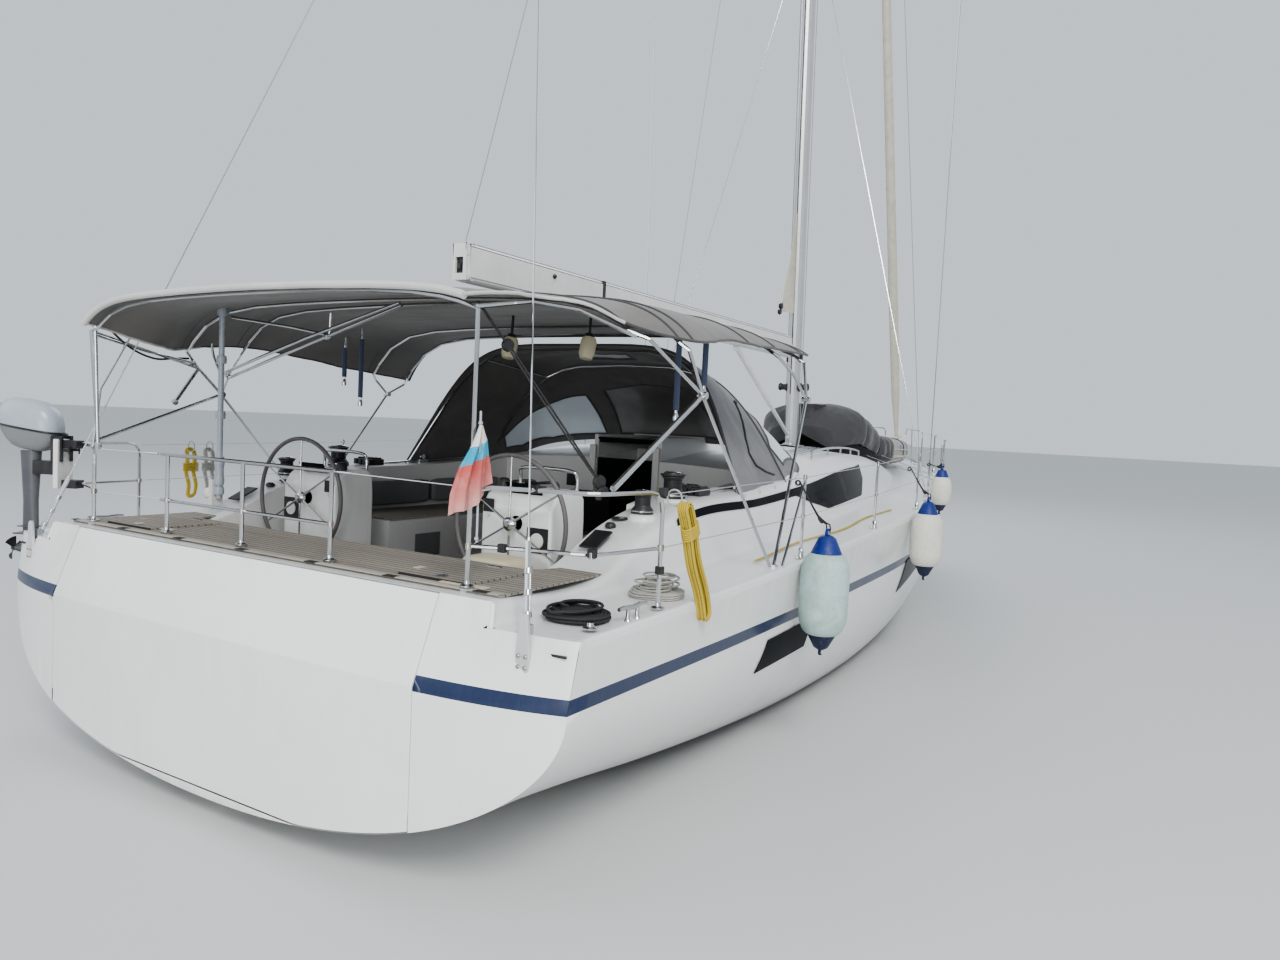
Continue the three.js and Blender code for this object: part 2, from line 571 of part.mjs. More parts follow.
// Teak: raised aft deck with its two locker lids, cockpit sole, bench tops
const span = (side, a, b) => (side > 0 ? [a, b] : [-b, -a]);
const lockerHole = (side) =>
  block(LOCKER.x0 - 8, LOCKER.x1 + 38, ...span(side, LOCKER.y0 - 8, LOCKER.y1 + 8), 1500, 1600);
const aftTeak = cut(
  prismZ(
    [
      [AFT_DECK.length - 15, -1540],
      [AFT_DECK.length - 15, 1540],
      [AFT_DECK.length + 60, 1600],
      [1050, 1640],
      [1050, 1930],
      [115, 1930],
      [115, -1930],
      [1050, -1930],
      [1050, -1640],
      [AFT_DECK.length + 60, -1600],
    ],
    1500,
    AFT_DECK.z,
  ),
  deckSkin.translate([0, 0, SEAT_GAP]),
  lockerHole(1),
  lockerHole(-1),
);
add("aft_deck_teak", aftTeak, FINISH.teak);
for (const { side, y, hinge } of LOCKER_SIDES) {
  const lid = join(
    block(LOCKER.x0, LOCKER.x1, ...span(side, LOCKER.y0, LOCKER.y1), 1509, 1509 + LOCKER.thickness),
    block(LOCKER.x1 - 5, LOCKER.hingeX, y - 49, y + 49, 1522, 1536),
    hinge.moving,
  );
  add("locker_lid_" + (side > 0 ? "port" : "starboard"), lid, FINISH.gelcoat);
}
const soleTop = WELL.soleZ + 14;
const soleTeak = join(
  block(WELL.aftX + 4, WELL.benchX - 5, -WELL.helmHalf + 4, WELL.helmHalf - 4, WELL.soleZ + SEAT_GAP, soleTop),
  block(WELL.benchX - 6, WELL.foreX - 4, -WELL.footHalf + 4, WELL.footHalf - 4, WELL.soleZ + SEAT_GAP, soleTop),
);
add("cockpit_sole_teak", soleTeak, FINISH.teak);
const benchTeak = block(
  WELL.benchX + 40, WELL.foreX - 30, WELL.footHalf + 15, WELL.benchHalf - 15, BENCH_Z + SEAT_GAP, BENCH_Z + 16,
);
add("bench_teak_port", benchTeak, FINISH.teak);
add("bench_teak_starboard", mirrored(benchTeak), FINISH.teak);

// Companionway's sliding hatch, between its rails
add(
  "companionway_slide",
  join(
    block(4385, 5180, -343, 343, COMPANIONWAY.slideZ, COMPANIONWAY.slideZ + 20),
    block(4385, 4405, -322, 322, COMPANIONWAY.slideZ - 30, COMPANIONWAY.slideZ + 20),
  ),
  FINISH.acrylic,
);

// Cockpit table and its two leaves
const TABLE = { x0: 2560, x1: 3760, half: 190, topZ: 1740, leaf: 330, thickness: 24 };
const TABLE_HINGE = { y: TABLE.half + 18, z: TABLE.topZ - 12, radius: 8, inset: 100, length: 199.6 };
const tableBarrel = (side, x0, x1) =>
  drum(TABLE_HINGE.radius, x1 - x0, 8).rotate([0, 90, 0]).translate([x0, side * TABLE_HINGE.y, TABLE_HINGE.z]);
const hingeEnds = [
  [TABLE.x0 + TABLE_HINGE.inset, TABLE.x0 + TABLE_HINGE.inset + TABLE_HINGE.length],
  [TABLE.x1 - TABLE_HINGE.inset - TABLE_HINGE.length, TABLE.x1 - TABLE_HINGE.inset],
];
add(
  "cockpit_table",
  join(
    block(TABLE.x0, TABLE.x1, -TABLE.half, TABLE.half, TABLE.topZ - 30, TABLE.topZ),
    block(TABLE.x0 + 60, TABLE.x1 - 60, -TABLE.half + 20, TABLE.half - 20, soleTop + SEAT_GAP, TABLE.topZ - 29),
    ...[1, -1].flatMap((side) => hingeEnds.flatMap(([x0, x1]) => [
      tableBarrel(side, x0, x1),
      block(x0, x1, ...span(side, TABLE.half - 5, TABLE_HINGE.y), TABLE_HINGE.z - 6, TABLE_HINGE.z + 6),
    ])),
  ),
  FINISH.teak,
);
for (const side of [1, -1]) {
  const half = TABLE.thickness / 2;
  const [x0, x1] = [TABLE.x0 + 300, TABLE.x1 - 300];
  add(
    "table_leaf_" + (side > 0 ? "port" : "starboard"),
    join(
      block(
        TABLE.x0, TABLE.x1, ...span(side, TABLE_HINGE.y - half, TABLE_HINGE.y + half),
        TABLE.topZ - TABLE.leaf, TABLE_HINGE.z - half,
      ),
      block(x0, x1, ...span(side, TABLE_HINGE.y - 6, TABLE_HINGE.y + 6), TABLE_HINGE.z - half - 1, TABLE_HINGE.z),
      tableBarrel(side, x0, x1),
    ),
    FINISH.teak,
  );
}

// Helm consoles and wheels
const consoleSide = [
  [CONSOLE.aftX, soleTop + SEAT_GAP],
  [CONSOLE.aftX, CONSOLE.topZ - 130],
  [CONSOLE.aftX + 60, CONSOLE.topZ - 60],
  [CONSOLE.foreX - 60, CONSOLE.topZ],
  [CONSOLE.foreX, CONSOLE.topZ - 30],
  [CONSOLE.foreX, soleTop + SEAT_GAP],
];
const helmConsole = prismY(consoleSide, CONSOLE.inner, CONSOLE.outer);
add("helm_console_port", helmConsole, FINISH.gelcoat);
add("helm_console_starboard", mirrored(helmConsole), FINISH.gelcoat);
const rim = solid(new THREE.TorusGeometry(WHEEL.radius, WHEEL.rim, 5, 32).rotateY(Math.PI / 2));
const spokes = Array.from({ length: WHEEL.spokes }, (_, i) => {
  const angle = Math.PI / 2 + (2 * Math.PI * i) / WHEEL.spokes;
  const at = (r, x) => [x, r * Math.cos(angle), r * Math.sin(angle)];
  return pipe([at(20, 0), at(WHEEL.radius - 4, 0)], 7, 5);
});
const hub = drum(WHEEL.hub, 60, 12).rotate([0, 90, 0]).translate([-30, 0, 0]);
const spindle = drum(22, CONSOLE.aftX - WHEEL.x - SEAT_GAP, 12).rotate([0, 90, 0]);
const wheel = join(rim, ...spokes, hub, spindle);
add("wheel_port", wheel.translate([WHEEL.x, WHEEL.y, WHEEL.z]), FINISH.steel);
add("wheel_starboard", wheel.translate([WHEEL.x, -WHEEL.y, WHEEL.z]), FINISH.steel);

// Winches: two on each coaming, drums that turn on bases in the moulding
for (const w of WINCHES) {
  for (const side of [1, -1]) {
    const r = w.radius;
    const body = turned([
      [0, 0], [r, 0], [r, 12], [r * 0.72, 34], [r * 0.66, w.height * 0.6],
      [r * 0.8, w.height * 0.78], [r * 0.8, w.height], [0, w.height],
    ], 12);
    add(
      "winch_" + w.name + "_" + (side > 0 ? "port" : "starboard"),
      body.translate([w.x, side * w.y, winchTop(w) + SEAT_GAP]),
      FINISH.blackPlastic,
    );
  }
}

// Mast with its slot, masthead and foot
const mastX = (z) => MAST.footX - MAST.rake * (z - 2100);
const mastOutline = (chord, width) =>
  Array.from({ length: 16 }, (_, i) => {
    const angle = (2 * Math.PI * (i + 0.5)) / 16;
    return [(chord / 2) * Math.cos(angle), (width / 2) * Math.sin(angle)];
  });
function mastTube(chord, width, z0, z1) {
  const ring = (z) => mastOutline(chord, width).map(([a, b]) => [mastX(z) + a, b, z]);
  const rings = [ring(z0), ring(z1)];
  return skin(loft(rings, (r) => r.map(([x, y]) => new THREE.Vector2(x, y))));
}
const slot = skin(loft(
  [2900, 21000].map((z) => [[-20, -9], [60, -9], [60, 9], [-20, 9]].map(([a, b]) => [
    mastX(z) - MAST.chord / 2 + a, b, z,
  ])),
  (r) => r.map(([x, y]) => new THREE.Vector2(x, y)),
));
const mastFoot = prismZ(rounded(mastX(2100) - 190, mastX(2100) + 190, -130, 130, 40), 2050, 2190);
const mastHead = join(
  block(mastX(MAST.topZ) - 330, mastX(MAST.topZ) + 190, -55, 55, MAST.topZ - 60, MAST.topZ + 30),
  pipe([[mastX(MAST.topZ) - 60, 0, MAST.topZ], [mastX(MAST.topZ) - 60, 0, MAST.topZ + 650]], 8, 6),
  block(mastX(MAST.topZ) - 320, mastX(MAST.topZ) + 40, -12, 12, MAST.topZ + 200, MAST.topZ + 215),
);
const mastShape = join(mastTube(MAST.chord, MAST.width, 2120, MAST.topZ), mastFoot, mastHead);
const vangAxisX = (z) => BOOM.axisX - MAST.rake * (z - BOOM.gooseneckZ);
// Boom and vang turn on one raked line: their eyes and lugs are made upright and leaned onto it
const onBoomAxis = (body, z) =>
  body.rotate([0, -THREE.MathUtils.radToDeg(Math.atan(MAST.rake)), 0]).translate([vangAxisX(z), 0, z]);
const GOOSENECK = { gap: 40, plate: 22 };
const VANG = { footZ: 2330, headX: 6820, gap: 50, plate: 16 };
const LUG = { back: 22, reach: 102, half: 20 };
const lugPair = ({ gap, plate }) => join(
  block(-LUG.back, LUG.reach, -LUG.half, LUG.half, -gap - plate, -gap),
  block(-LUG.back, LUG.reach, -LUG.half, LUG.half, gap, gap + plate),
);
const gooseneckLug = onBoomAxis(lugPair(GOOSENECK), BOOM.gooseneckZ);
const vangLug = onBoomAxis(lugPair(VANG), VANG.footZ);
// Line of the forestay, from the stem to the masthead
const stayFrom = new THREE.Vector3(FORESTAY.footX, 0, FORESTAY.footZ);
const stayTo = new THREE.Vector3(mastX(FORESTAY.headZ) + MAST.chord / 2 + 30, 0, FORESTAY.headZ);
const stayLength = stayTo.distanceTo(stayFrom);
const stayTilt = Math.atan2(stayTo.x - stayFrom.x, stayTo.z - stayFrom.z);
const onStay = (body) =>
  body.rotate([0, THREE.MathUtils.radToDeg(stayTilt), 0]).translate(stayFrom.toArray());
const stayHead = join(
  onStay(turned([
    [0, stayLength - 150 + SEAT_GAP], [9, stayLength - 150 + SEAT_GAP], [9, stayLength + 60], [0, stayLength + 60],
  ], 8)),
  block(mastX(FORESTAY.headZ) + 60, stayTo.x + 4, -8, 8, FORESTAY.headZ - 40, FORESTAY.headZ + 50),
);
const mast = seated(join(cut(mastShape, slot), gooseneckLug, vangLug, stayHead), base);
add("mast", mast, FINISH.aluminium);

// Spreaders and shrouds, one set each side, held just clear of the mast
const mastRoom = mastTube(MAST.chord + 2, MAST.width + 2, 2000, MAST.topZ + 1);
const tip = (s) => [mastX(s.z) - s.tipBack, s.tipY, s.tipZ];
function spreaderBlade(s) {
  const [tx, ty, tz] = tip(s);
  const root = mastX(s.z);
  const blade = (x, y, z, chord, depth) =>
    [[-chord, 0], [-chord * 0.4, depth], [chord, 0], [-chord * 0.4, -depth]].map(([a, b]) => [x + a, y, z + b]);
  return skin(loft(
    [blade(root, 20, s.z, 85, 20), blade(tx, ty + 15, tz, 42, 12)],
    (r) => r.map(([x, , z]) => new THREE.Vector2(x, z)),
  ));
}
const chainY = edgeAt(CHAINPLATE.x) - CHAINPLATE.inset;
const chainTop = [CHAINPLATE.x, chainY, deckAt(CHAINPLATE.x) + 60];
const [lower, upper] = SPREADERS;
const headAt = [mastX(21400), MAST.width / 2 - 10, 21400];
const nearMast = (z) => [mastX(z) - 20, MAST.width / 2 - 12, z];
const shroudRuns = [
  { from: chainTop, to: tip(lower), radius: WIRE.cap },
  { from: chainTop.map((v, i) => v - [130, 0, 0][i]), to: nearMast(lower.z - 120), radius: WIRE.diagonal },
  { from: tip(lower), to: tip(upper), radius: WIRE.cap },
  { from: tip(lower), to: nearMast(upper.z - 120), radius: WIRE.diagonal },
  { from: tip(upper), to: headAt, radius: WIRE.cap },
];
const turnbuckle = (from, to, start, length, radius) => {
  const a = new THREE.Vector3(...from);
  const way = new THREE.Vector3(...to).sub(a).normalize();
  const at = (d) => a.clone().addScaledVector(way, d).toArray();
  return pipe([at(start), at(start + length)], radius, 6);
};
const shrouds = seated(cut(
  join(
    ...SPREADERS.map(spreaderBlade),
    ...shroudRuns.map((run) => pipe([run.from, run.to], run.radius, 6)),
    turnbuckle(shroudRuns[0].from, shroudRuns[0].to, 60, 330, 15),
    turnbuckle(shroudRuns[1].from, shroudRuns[1].to, 60, 330, 13),
    block(CHAINPLATE.x - 170, CHAINPLATE.x + 40, chainY - 8, chainY + 8, deckAt(CHAINPLATE.x) - 60, chainTop[2] + 20),
    ...SPREADERS.map((s) => solid(new THREE.SphereGeometry(24, 6, 4)).translate(tip(s))),
  ),
  mastRoom,
), base);
add("shrouds_port", shrouds, FINISH.steel);
add("shrouds_starboard", mirrored(shrouds), FINISH.steel);

// Backstay: one wire down to a plate, two legs to the transom's quarters
const split = [BACKSTAY.splitX, 0, BACKSTAY.splitZ];
const backFoot = (side) => [BACKSTAY.footX, side * BACKSTAY.footY, BACKSTAY.footZ + 60];
const backstay = cut(
  join(
    pipe([[mastX(MAST.topZ) - 322, 0, MAST.topZ - 20], split], WIRE.backstay, 6),
    block(split[0] - 30, split[0] + 30, -60, 60, split[2] - 50, split[2] + 30),
    ...[1, -1].flatMap((side) => [
      pipe([[split[0], side * 40, split[2] - 20], backFoot(side)], WIRE.backstay, 6),
      turnbuckle(backFoot(side), split, 30, 420, 15),
      block(BACKSTAY.footX - 26, BACKSTAY.footX + 6, ...span(side, BACKSTAY.footY - 32, BACKSTAY.footY + 32), 1140, 1440),
    ]),
  ),
  transomWhole,
  transomWhole.translate([-SEAT_GAP, 0, 0]),
  block(mastX(MAST.topZ) - 331, mastX(MAST.topZ) + 190, -56, 56, MAST.topZ - 61, MAST.topZ + 31),
);
add("backstay", backstay, FINISH.steel);

// Genoa rolled on the forestay, with its drum; the whole roll turns on the stay
const genoa = onStay(turned([
  [0, -40], [95, -40], [95, -25], [45, -20], [45, 60], [95, 65], [95, 80], [30, 90],
  [40, 260], [78, 900], [86, 2600], [72, 9000], [44, 15500], [24, stayLength - 1500], [20, stayLength - 260],
  [34, stayLength - 250], [34, stayLength - 150], [0, stayLength - 150],
], 12));
add("genoa_furled", genoa, FINISH.sailcloth);
const stayLug = join(
  onStay(turned([[0, -200], [12, -200], [12, -40 - SEAT_GAP], [0, -40 - SEAT_GAP]], 8)),
  block(FORESTAY.footX - 20, FORESTAY.footX + 90, -10, 10, 1900, FORESTAY.footZ - 150),
);
// Bow roller with the anchor stowed in it
const rollerBody = join(
  block(14280, 14760, -75, -63, 1916, 2010),
  block(14280, 14760, 63, 75, 1916, 2010),
  block(14280, 14700, -75, 75, 1936, 1950),
  block(14360, 14480, -64, 64, 1936, 2000),
  stayLug,
);
add("bow_roller", seated(rollerBody.subtract(genoa), base), FINISH.steel);
const anchor = join(
  prismY([[14490, 2010], [14740, 2010], [14840, 1930], [14850, 1700], [14800, 1700], [14785, 1900], [14700, 1975],
    [14490, 1982]], -14, 14),
  prismY([[14850, 1745], [14860, 1650], [14560, 1430], [14620, 1600]], -24, 24),
  prismY([[14840, 1700], [14850, 1640], [14640, 1480], [14660, 1560]], -150, 150),
);
const anchorPin = block(14500, 14690, -14, 14, 1950 + SEAT_GAP, 1990);
add("anchor", join(anchor, anchorPin).subtract(hull), FINISH.steel);

// Boom with its vang, both turning on the mast's gooseneck line
const boomTube = skin(loft(
  [BOOM.aftX, BOOM.foreX].map((x) =>
    rounded(-BOOM.width / 2, BOOM.width / 2, BOOM.bottomZ, BOOM.topZ, 40).map(([y, z]) => [x, y, z])),
));
const EYE = { radius: 26, half: 24 };
const eye = ({ gap }) => {
  const height = 2 * (gap - SEAT_GAP);
  return drum(EYE.radius, height, 8).translate([0, 0, -height / 2]);
};
const boomTongue = join(
  eye(GOOSENECK),
  block(BOOM.foreX - BOOM.axisX - 20, 10, -EYE.half, EYE.half, SEAT_GAP - GOOSENECK.gap, GOOSENECK.gap - SEAT_GAP),
);
const vangFrom = [vangAxisX(VANG.footZ), 0, VANG.footZ];
const vangTo = [VANG.headX, 0, BOOM.bottomZ - 10];
const alongVang = (t) => vangFrom.map((v, i) => v + t * (vangTo[i] - v));
const boom = join(
  boomTube,
  block(BOOM.aftX - 45, BOOM.aftX + 60, -58, 58, BOOM.bottomZ + 12, BOOM.topZ - 8),
  onBoomAxis(boomTongue, BOOM.gooseneckZ),
  pipe([vangFrom, vangTo], 26, 10),
  pipe([alongVang(0.37), vangTo], 34, 10),
  block(VANG.headX - 60, VANG.headX + 60, -14, 14, BOOM.bottomZ - 60, BOOM.bottomZ + 5),
  onBoomAxis(eye(VANG), VANG.footZ),
);
const boomSheave = block(BOOM.aftX - 60, BOOM.aftX + 10, -38, 38, BOOM.bottomZ + 60, BOOM.topZ - 110);
add("boom", cut(boom, boomSheave), FINISH.aluminium);

// Keel, rudder, saildrive and propeller
const foil = (x0, x1, half, z, count = 7) => {
  const points = [];
  for (let i = 0; i <= count; i += 1) {
    const t = i / count;
    points.push([x1 - (x1 - x0) * t, half * 2 * Math.sqrt(t) * (1 - t) * 1.3, z]);
  }
  for (let i = count - 1; i > 0; i -= 1) {
    const t = i / count;
    points.push([x1 - (x1 - x0) * t, -half * 2 * Math.sqrt(t) * (1 - t) * 1.3, z]);
  }
  return points;
};
const flatCap = (r) => r.map(([x, y]) => new THREE.Vector2(x, y));
const keelFin = skin(loft(
  [foil(KEEL.rootAft, KEEL.rootFore, 130, -400), foil(KEEL.tipAft, KEEL.tipFore, 110, -2150)],
  flatCap,
));
const keelBulb = skin(loft(
  [
    { x: 6050, w: 20, h: 16 }, { x: 6500, w: 150, h: 125 }, { x: 7200, w: KEEL.bulb, h: 150 },
    { x: 7900, w: 170, h: 140 }, { x: 8350, w: 60, h: 45 },
  ].map(({ x, w, h }) =>
    Array.from({ length: 12 }, (_, i) => {
      const angle = (Math.PI / 6) * i;
      const z = -2220 + h * Math.sin(angle);
      return [x, w * Math.cos(angle), Math.max(z, KEEL.depth)];
    })),
));
const keel = join(keelFin, keelBulb).subtract(hullSkin.translate([0, 0, -SEAT_GAP]));
add("keel", keel, FINISH.iron);
const rudderBlade = join(
  skin(loft(
    [
      foil(RUDDER.x - RUDDER.chordTop + RUDDER.stockAhead, RUDDER.x + RUDDER.stockAhead, 62, RUDDER.topZ),
      foil(RUDDER.x - RUDDER.chordTip + RUDDER.stockAhead, RUDDER.x + RUDDER.stockAhead - 20, 40, RUDDER.bottomZ),
    ],
    flatCap,
  )),
  drum(RUDDER.stock, RUDDER.stockLength, 16)
    .translate([RUDDER.x, 0, RUDDER.bearingZ - SEAT_GAP - RUDDER.stockLength]),
);
add("rudder", rudderBlade, FINISH.gelcoat);
const driveLeg = join(
  skin(loft([foil(4980, 5330, 62, -300), foil(5010, 5290, 52, SAILDRIVE.legZ)], flatCap)),
  turned([[0, 0], [30, 20], [62, 120], [62, 300], [40, 380], [0, 400]], 12)
    .rotate([0, 90, 0])
    .translate([SAILDRIVE.propellerX + 30, 0, SAILDRIVE.legZ]),
);
add("saildrive", driveLeg.subtract(hullSkin.translate([0, 0, -SEAT_GAP])), FINISH.aluminium);
const blades = [0, 120, 240].map((turn) => {
  const blade = skin(loft(
    [
      { r: 30, c: 40, t: 9, a: 50 }, { r: 130, c: 75, t: 6, a: 32 }, { r: SAILDRIVE.blade, c: 36, t: 3, a: 22 },
    ].map(({ r, c, t, a }) => {
      const angle = THREE.MathUtils.degToRad(a);
      return [[-c, -t], [c, -t], [c, t], [-c, t]].map(([u, v]) => [
        u * Math.sin(angle) + v * Math.cos(angle),
        u * Math.cos(angle) - v * Math.sin(angle),
        r,
      ]);
    }),
    flatCap,
  ));
  return blade.rotate([turn, 0, 0]);
});
const propeller = join(
  turned([[0, -70], [30, -60], [46, -10], [46, 49.6], [0, 49.6]], 12).rotate([0, 90, 0]),
  ...blades,
).translate([SAILDRIVE.propellerX - 20, 0, SAILDRIVE.legZ]);
add("propeller", propeller.subtract(driveLeg.translate([-SEAT_GAP, 0, 0])), FINISH.bronze);

// Rails: pushpit each side, aft rail, pulpit, stanchions with their lifelines
const railFoot = (x, y) => drum(34, 60, 6).translate([x, y, deckOn(x, y) - 50]);
function deckOn(x, y) {
  if (Math.abs(y) < AFT_DECK.halfWidth && x < 1050) return 1508;
  return deckAt(x);
}
const deckAndTeak = join(base, aftTeak, aftTeak.translate([0, 0, -2 * SEAT_GAP]));
const pushpitRoute = (z) => [[130, 1700, z], [265, 1990, z], [345, 2305, z], [860, 2400, z]];
const pushpit = seated(
  join(
    bentPipe([[130, 1700, 1480], ...pushpitRoute(RAIL.top), [860, 2400, 1350]], RAIL.tube, 110),
    pipe(bent(pushpitRoute(RAIL.middle), 110), RAIL.tube - 2),
    pipe([[332, 2290, RAIL.top], [250, 2375, 1350]], RAIL.tube),
    railFoot(130, 1700).translate([0, 0, 12]),
    railFoot(860, 2400),
    railFoot(250, 2375),
  ),
  deckAndTeak,
);
add("pushpit_port", pushpit, FINISH.steel);
add("pushpit_starboard", mirrored(pushpit), FINISH.steel);
const aftRail = seated(
  join(
    pipe([[180, -640, RAIL.top], [180, 1000, RAIL.top]], RAIL.tube),
    pipe([[180, -640, RAIL.middle], [180, 1000, RAIL.middle]], RAIL.tube - 2),
    ...[-630, 160, 930].flatMap((y) => [
      pipe([[180, y, 1480], [180, y, RAIL.top]], RAIL.tube),
      railFoot(180, y).translate([0, 0, 12]),
    ]),
  ),
  deckAndTeak,
);
add("aft_rail", aftRail, FINISH.steel);
const STANCHION_X = [2930, 4900, 6760, 8750, 10400, 11900];
const postAt = (x) => [x, edgeAt(x) - STANCHION.inset, deckAt(x)];
const PULPIT = { aftX: 13000, foreX: 14300, half: 195 };
const lifeline = (rise, start) => {
  const posts = STANCHION_X.map((x) => [postAt(x)[0], postAt(x)[1], postAt(x)[2] + rise]);
  const end = [PULPIT.aftX - 14, edgeAt(PULPIT.aftX) - STANCHION.inset, deckAt(PULPIT.aftX) + rise];
  return pipe([[876, 2402, start], ...posts, end], WIRE.lifeline, 4);
};
const stanchions = seated(
  join(
    ...STANCHION_X.map(postAt).map(([x, y, z]) =>
      pipe([[x, y, z - 30], [x, y, z + STANCHION.height]], STANCHION.radius)),
    ...STANCHION_X.map((x) => railFoot(x, postAt(x)[1])),
    pipe([[2930, postAt(2930)[1], postAt(2930)[2] + 560], [2560, postAt(2600)[1], postAt(2600)[2] - 30]], 10),
    lifeline(STANCHION.height - 12, RAIL.top - 16),
    lifeline(STANCHION.middle, RAIL.middle),
  ),
  base,
);
add("stanchions_port", stanchions, FINISH.steel);
add("stanchions_starboard", mirrored(stanchions), FINISH.steel);
const pulpitSide = (side) => {
  const y = (x) => side * (edgeAt(x) - STANCHION.inset);
  return join(
    bentPipe([
      [PULPIT.aftX, y(PULPIT.aftX), deckAt(PULPIT.aftX) - 30],
      [PULPIT.aftX, y(PULPIT.aftX), deckAt(PULPIT.aftX) + 620],
      [PULPIT.foreX, side * PULPIT.half, deckAt(PULPIT.foreX) + 600],
      [PULPIT.foreX - 60, side * PULPIT.half, deckAt(PULPIT.foreX) - 60],
    ], RAIL.tube, 120),
    pipe([
      [PULPIT.aftX, y(PULPIT.aftX), deckAt(PULPIT.aftX) + 310],
      [PULPIT.foreX - 30, side * PULPIT.half, deckAt(PULPIT.foreX) + 300],
    ], RAIL.tube - 2),
    pipe([[13700, y(13700), deckAt(13700) - 30], [13680, side * (edgeAt(13680) - 110), deckAt(13700) + 612]], RAIL.tube),
  );
};
const pulpit = seated(
  join(
    pulpitSide(1),
    pulpitSide(-1),
    pipe([[PULPIT.foreX - 50, -PULPIT.half, 2060], [PULPIT.foreX - 50, PULPIT.half, 2060]], RAIL.tube - 2),
  ),
  base,
);
add("pulpit", pulpit, FINISH.steel);

// Canopy over the cockpit: height of its upper face, and its half width, at any place
const CANOPY_TABLE = [
  { x: 40, crown: 3078, port: 1690, portDrop: 190, starboard: 1690, starboardDrop: 95 },
  { x: 300, crown: 3104, port: 1705, portDrop: 265, starboard: 1678, starboardDrop: 72 },
  { x: 620, crown: 3135, port: 1760, portDrop: 345, starboard: 1668, starboardDrop: 68 },
  { x: 900, crown: 3160, port: 2000, portDrop: 375, starboard: 1790, starboardDrop: 100 },
  { x: 1200, crown: 3185, port: 2080, portDrop: 350, starboard: 1960, starboardDrop: 230 },
  { x: 1450, crown: 3202, port: 2110, portDrop: 345, starboard: 2160, starboardDrop: 300 },
  { x: 2000, crown: 3225, port: 2130, portDrop: 375, starboard: 2190, starboardDrop: 262 },
  { x: 2800, crown: 3215, port: 2120, portDrop: 450, starboard: 2160, starboardDrop: 235 },
  { x: CANOPY.foreX, crown: 3178, port: 2130, portDrop: 470, starboard: 2165, starboardDrop: 185 },
];
const sideOf = (y) => (y < 0 ? "starboard" : "port");
const canopyHalf = (x, y) => between(CANOPY_TABLE, x, sideOf(y));
const canopyZ = (x, y) => {
  const t = Math.min(1, Math.abs(y) / canopyHalf(x, y));
  return between(CANOPY_TABLE, x, "crown") - 50 * t * t - (between(CANOPY_TABLE, x, `${sideOf(y)}Drop`) - 50) * t ** 9;
};
const CANOPY_STEPS = 14;
const canopyRing = (x) => {
  const top = Array.from({ length: CANOPY_STEPS + 1 }, (_, i) => {
    const share = Math.sin((Math.PI / 2) * (-1 + (2 * i) / CANOPY_STEPS));
    const y = canopyHalf(x, share) * share;
    return [x, y, canopyZ(x, y)];
  });
  const under = top.slice().reverse().map(([, y, z]) => [
    x, y * (1 - CANOPY.thickness / canopyHalf(x, y)), z - CANOPY.thickness,
  ]);
  return [...top, ...under];
};
const canopy = lofted(CANOPY_TABLE.map((row) => canopyRing(row.x)));
add("bimini_canopy", canopy, FINISH.canvas);

// Canopy frame: hoops that follow the canopy from below, their feet on the side decks
const hoopOver = (portX, starboardX) => {
  const count = 14;
  return Array.from({ length: count + 1 }, (_, i) => {
    const share = Math.sin((Math.PI / 2) * (1 - (2 * i) / count));
    const x = (portX + starboardX) / 2 + ((portX - starboardX) / 2) * share;
    const y = (canopyHalf(x, share) - 45) * share;
    return [x, y, canopyZ(x, y) - CANOPY.thickness - RAIL.tube - 8 - 26 * Math.abs(share) ** 6];
  });
};
const footY = (x) => edgeAt(x) - 120;
const toStarboard = (points) => points.map(([x, y, z]) => [x, -y, z]).reverse();
const hoop = (port, starboard) => [
  ...port.legs, ...hoopOver(port.x, starboard.x), ...toStarboard(starboard.legs),
];
const mainFoot = [2500, footY(2500), deckAt(2500) - 30];
const frontFoot = [2518, footY(2518), deckAt(2518) - 30];
const KNEE = { port: [1430, 2200, 2460], starboard: [1790, 2130, 2590] };
const SHOULDER = { port: [3270, 2185, 2560], starboard: [3330, 2240, 2640] };
const canopyHoops = [
  hoop(
    { x: 1000, legs: [mainFoot, KNEE.port, [1180, 2140, 2660], [1030, 2070, 2785]] },
    { x: 1200, legs: [mainFoot, KNEE.starboard, [1260, 2030, 2890]] },
  ),
  hoop(
    { x: 1550, legs: [KNEE.port, [1490, 2170, 2660], [1540, 2110, 2800]] },
    { x: 1470, legs: [KNEE.starboard, [1500, 2170, 2850]] },
  ),
  hoop(
    { x: 3000, legs: [SHOULDER.port, [3090, 2160, 2690], [3010, 2110, 2740]] },
    { x: 2930, legs: [SHOULDER.starboard, [3130, 2200, 2820], [2950, 2150, 2930]] },
  ),
  hoop(
    { x: 3440, legs: [frontFoot, SHOULDER.port, [3420, 2110, 2665]] },
    { x: 3440, legs: [frontFoot, SHOULDER.starboard, [3450, 2160, 2930]] },
  ),
  hoop(
    { x: 110, legs: [[150, 1690, RAIL.top + RAIL.tube + 0.6], [112, 1722, 2840]] },
    { x: 110, legs: [[150, 1690, RAIL.top + RAIL.tube + 0.6], [112, 1722, 2920]] },
  ),
];
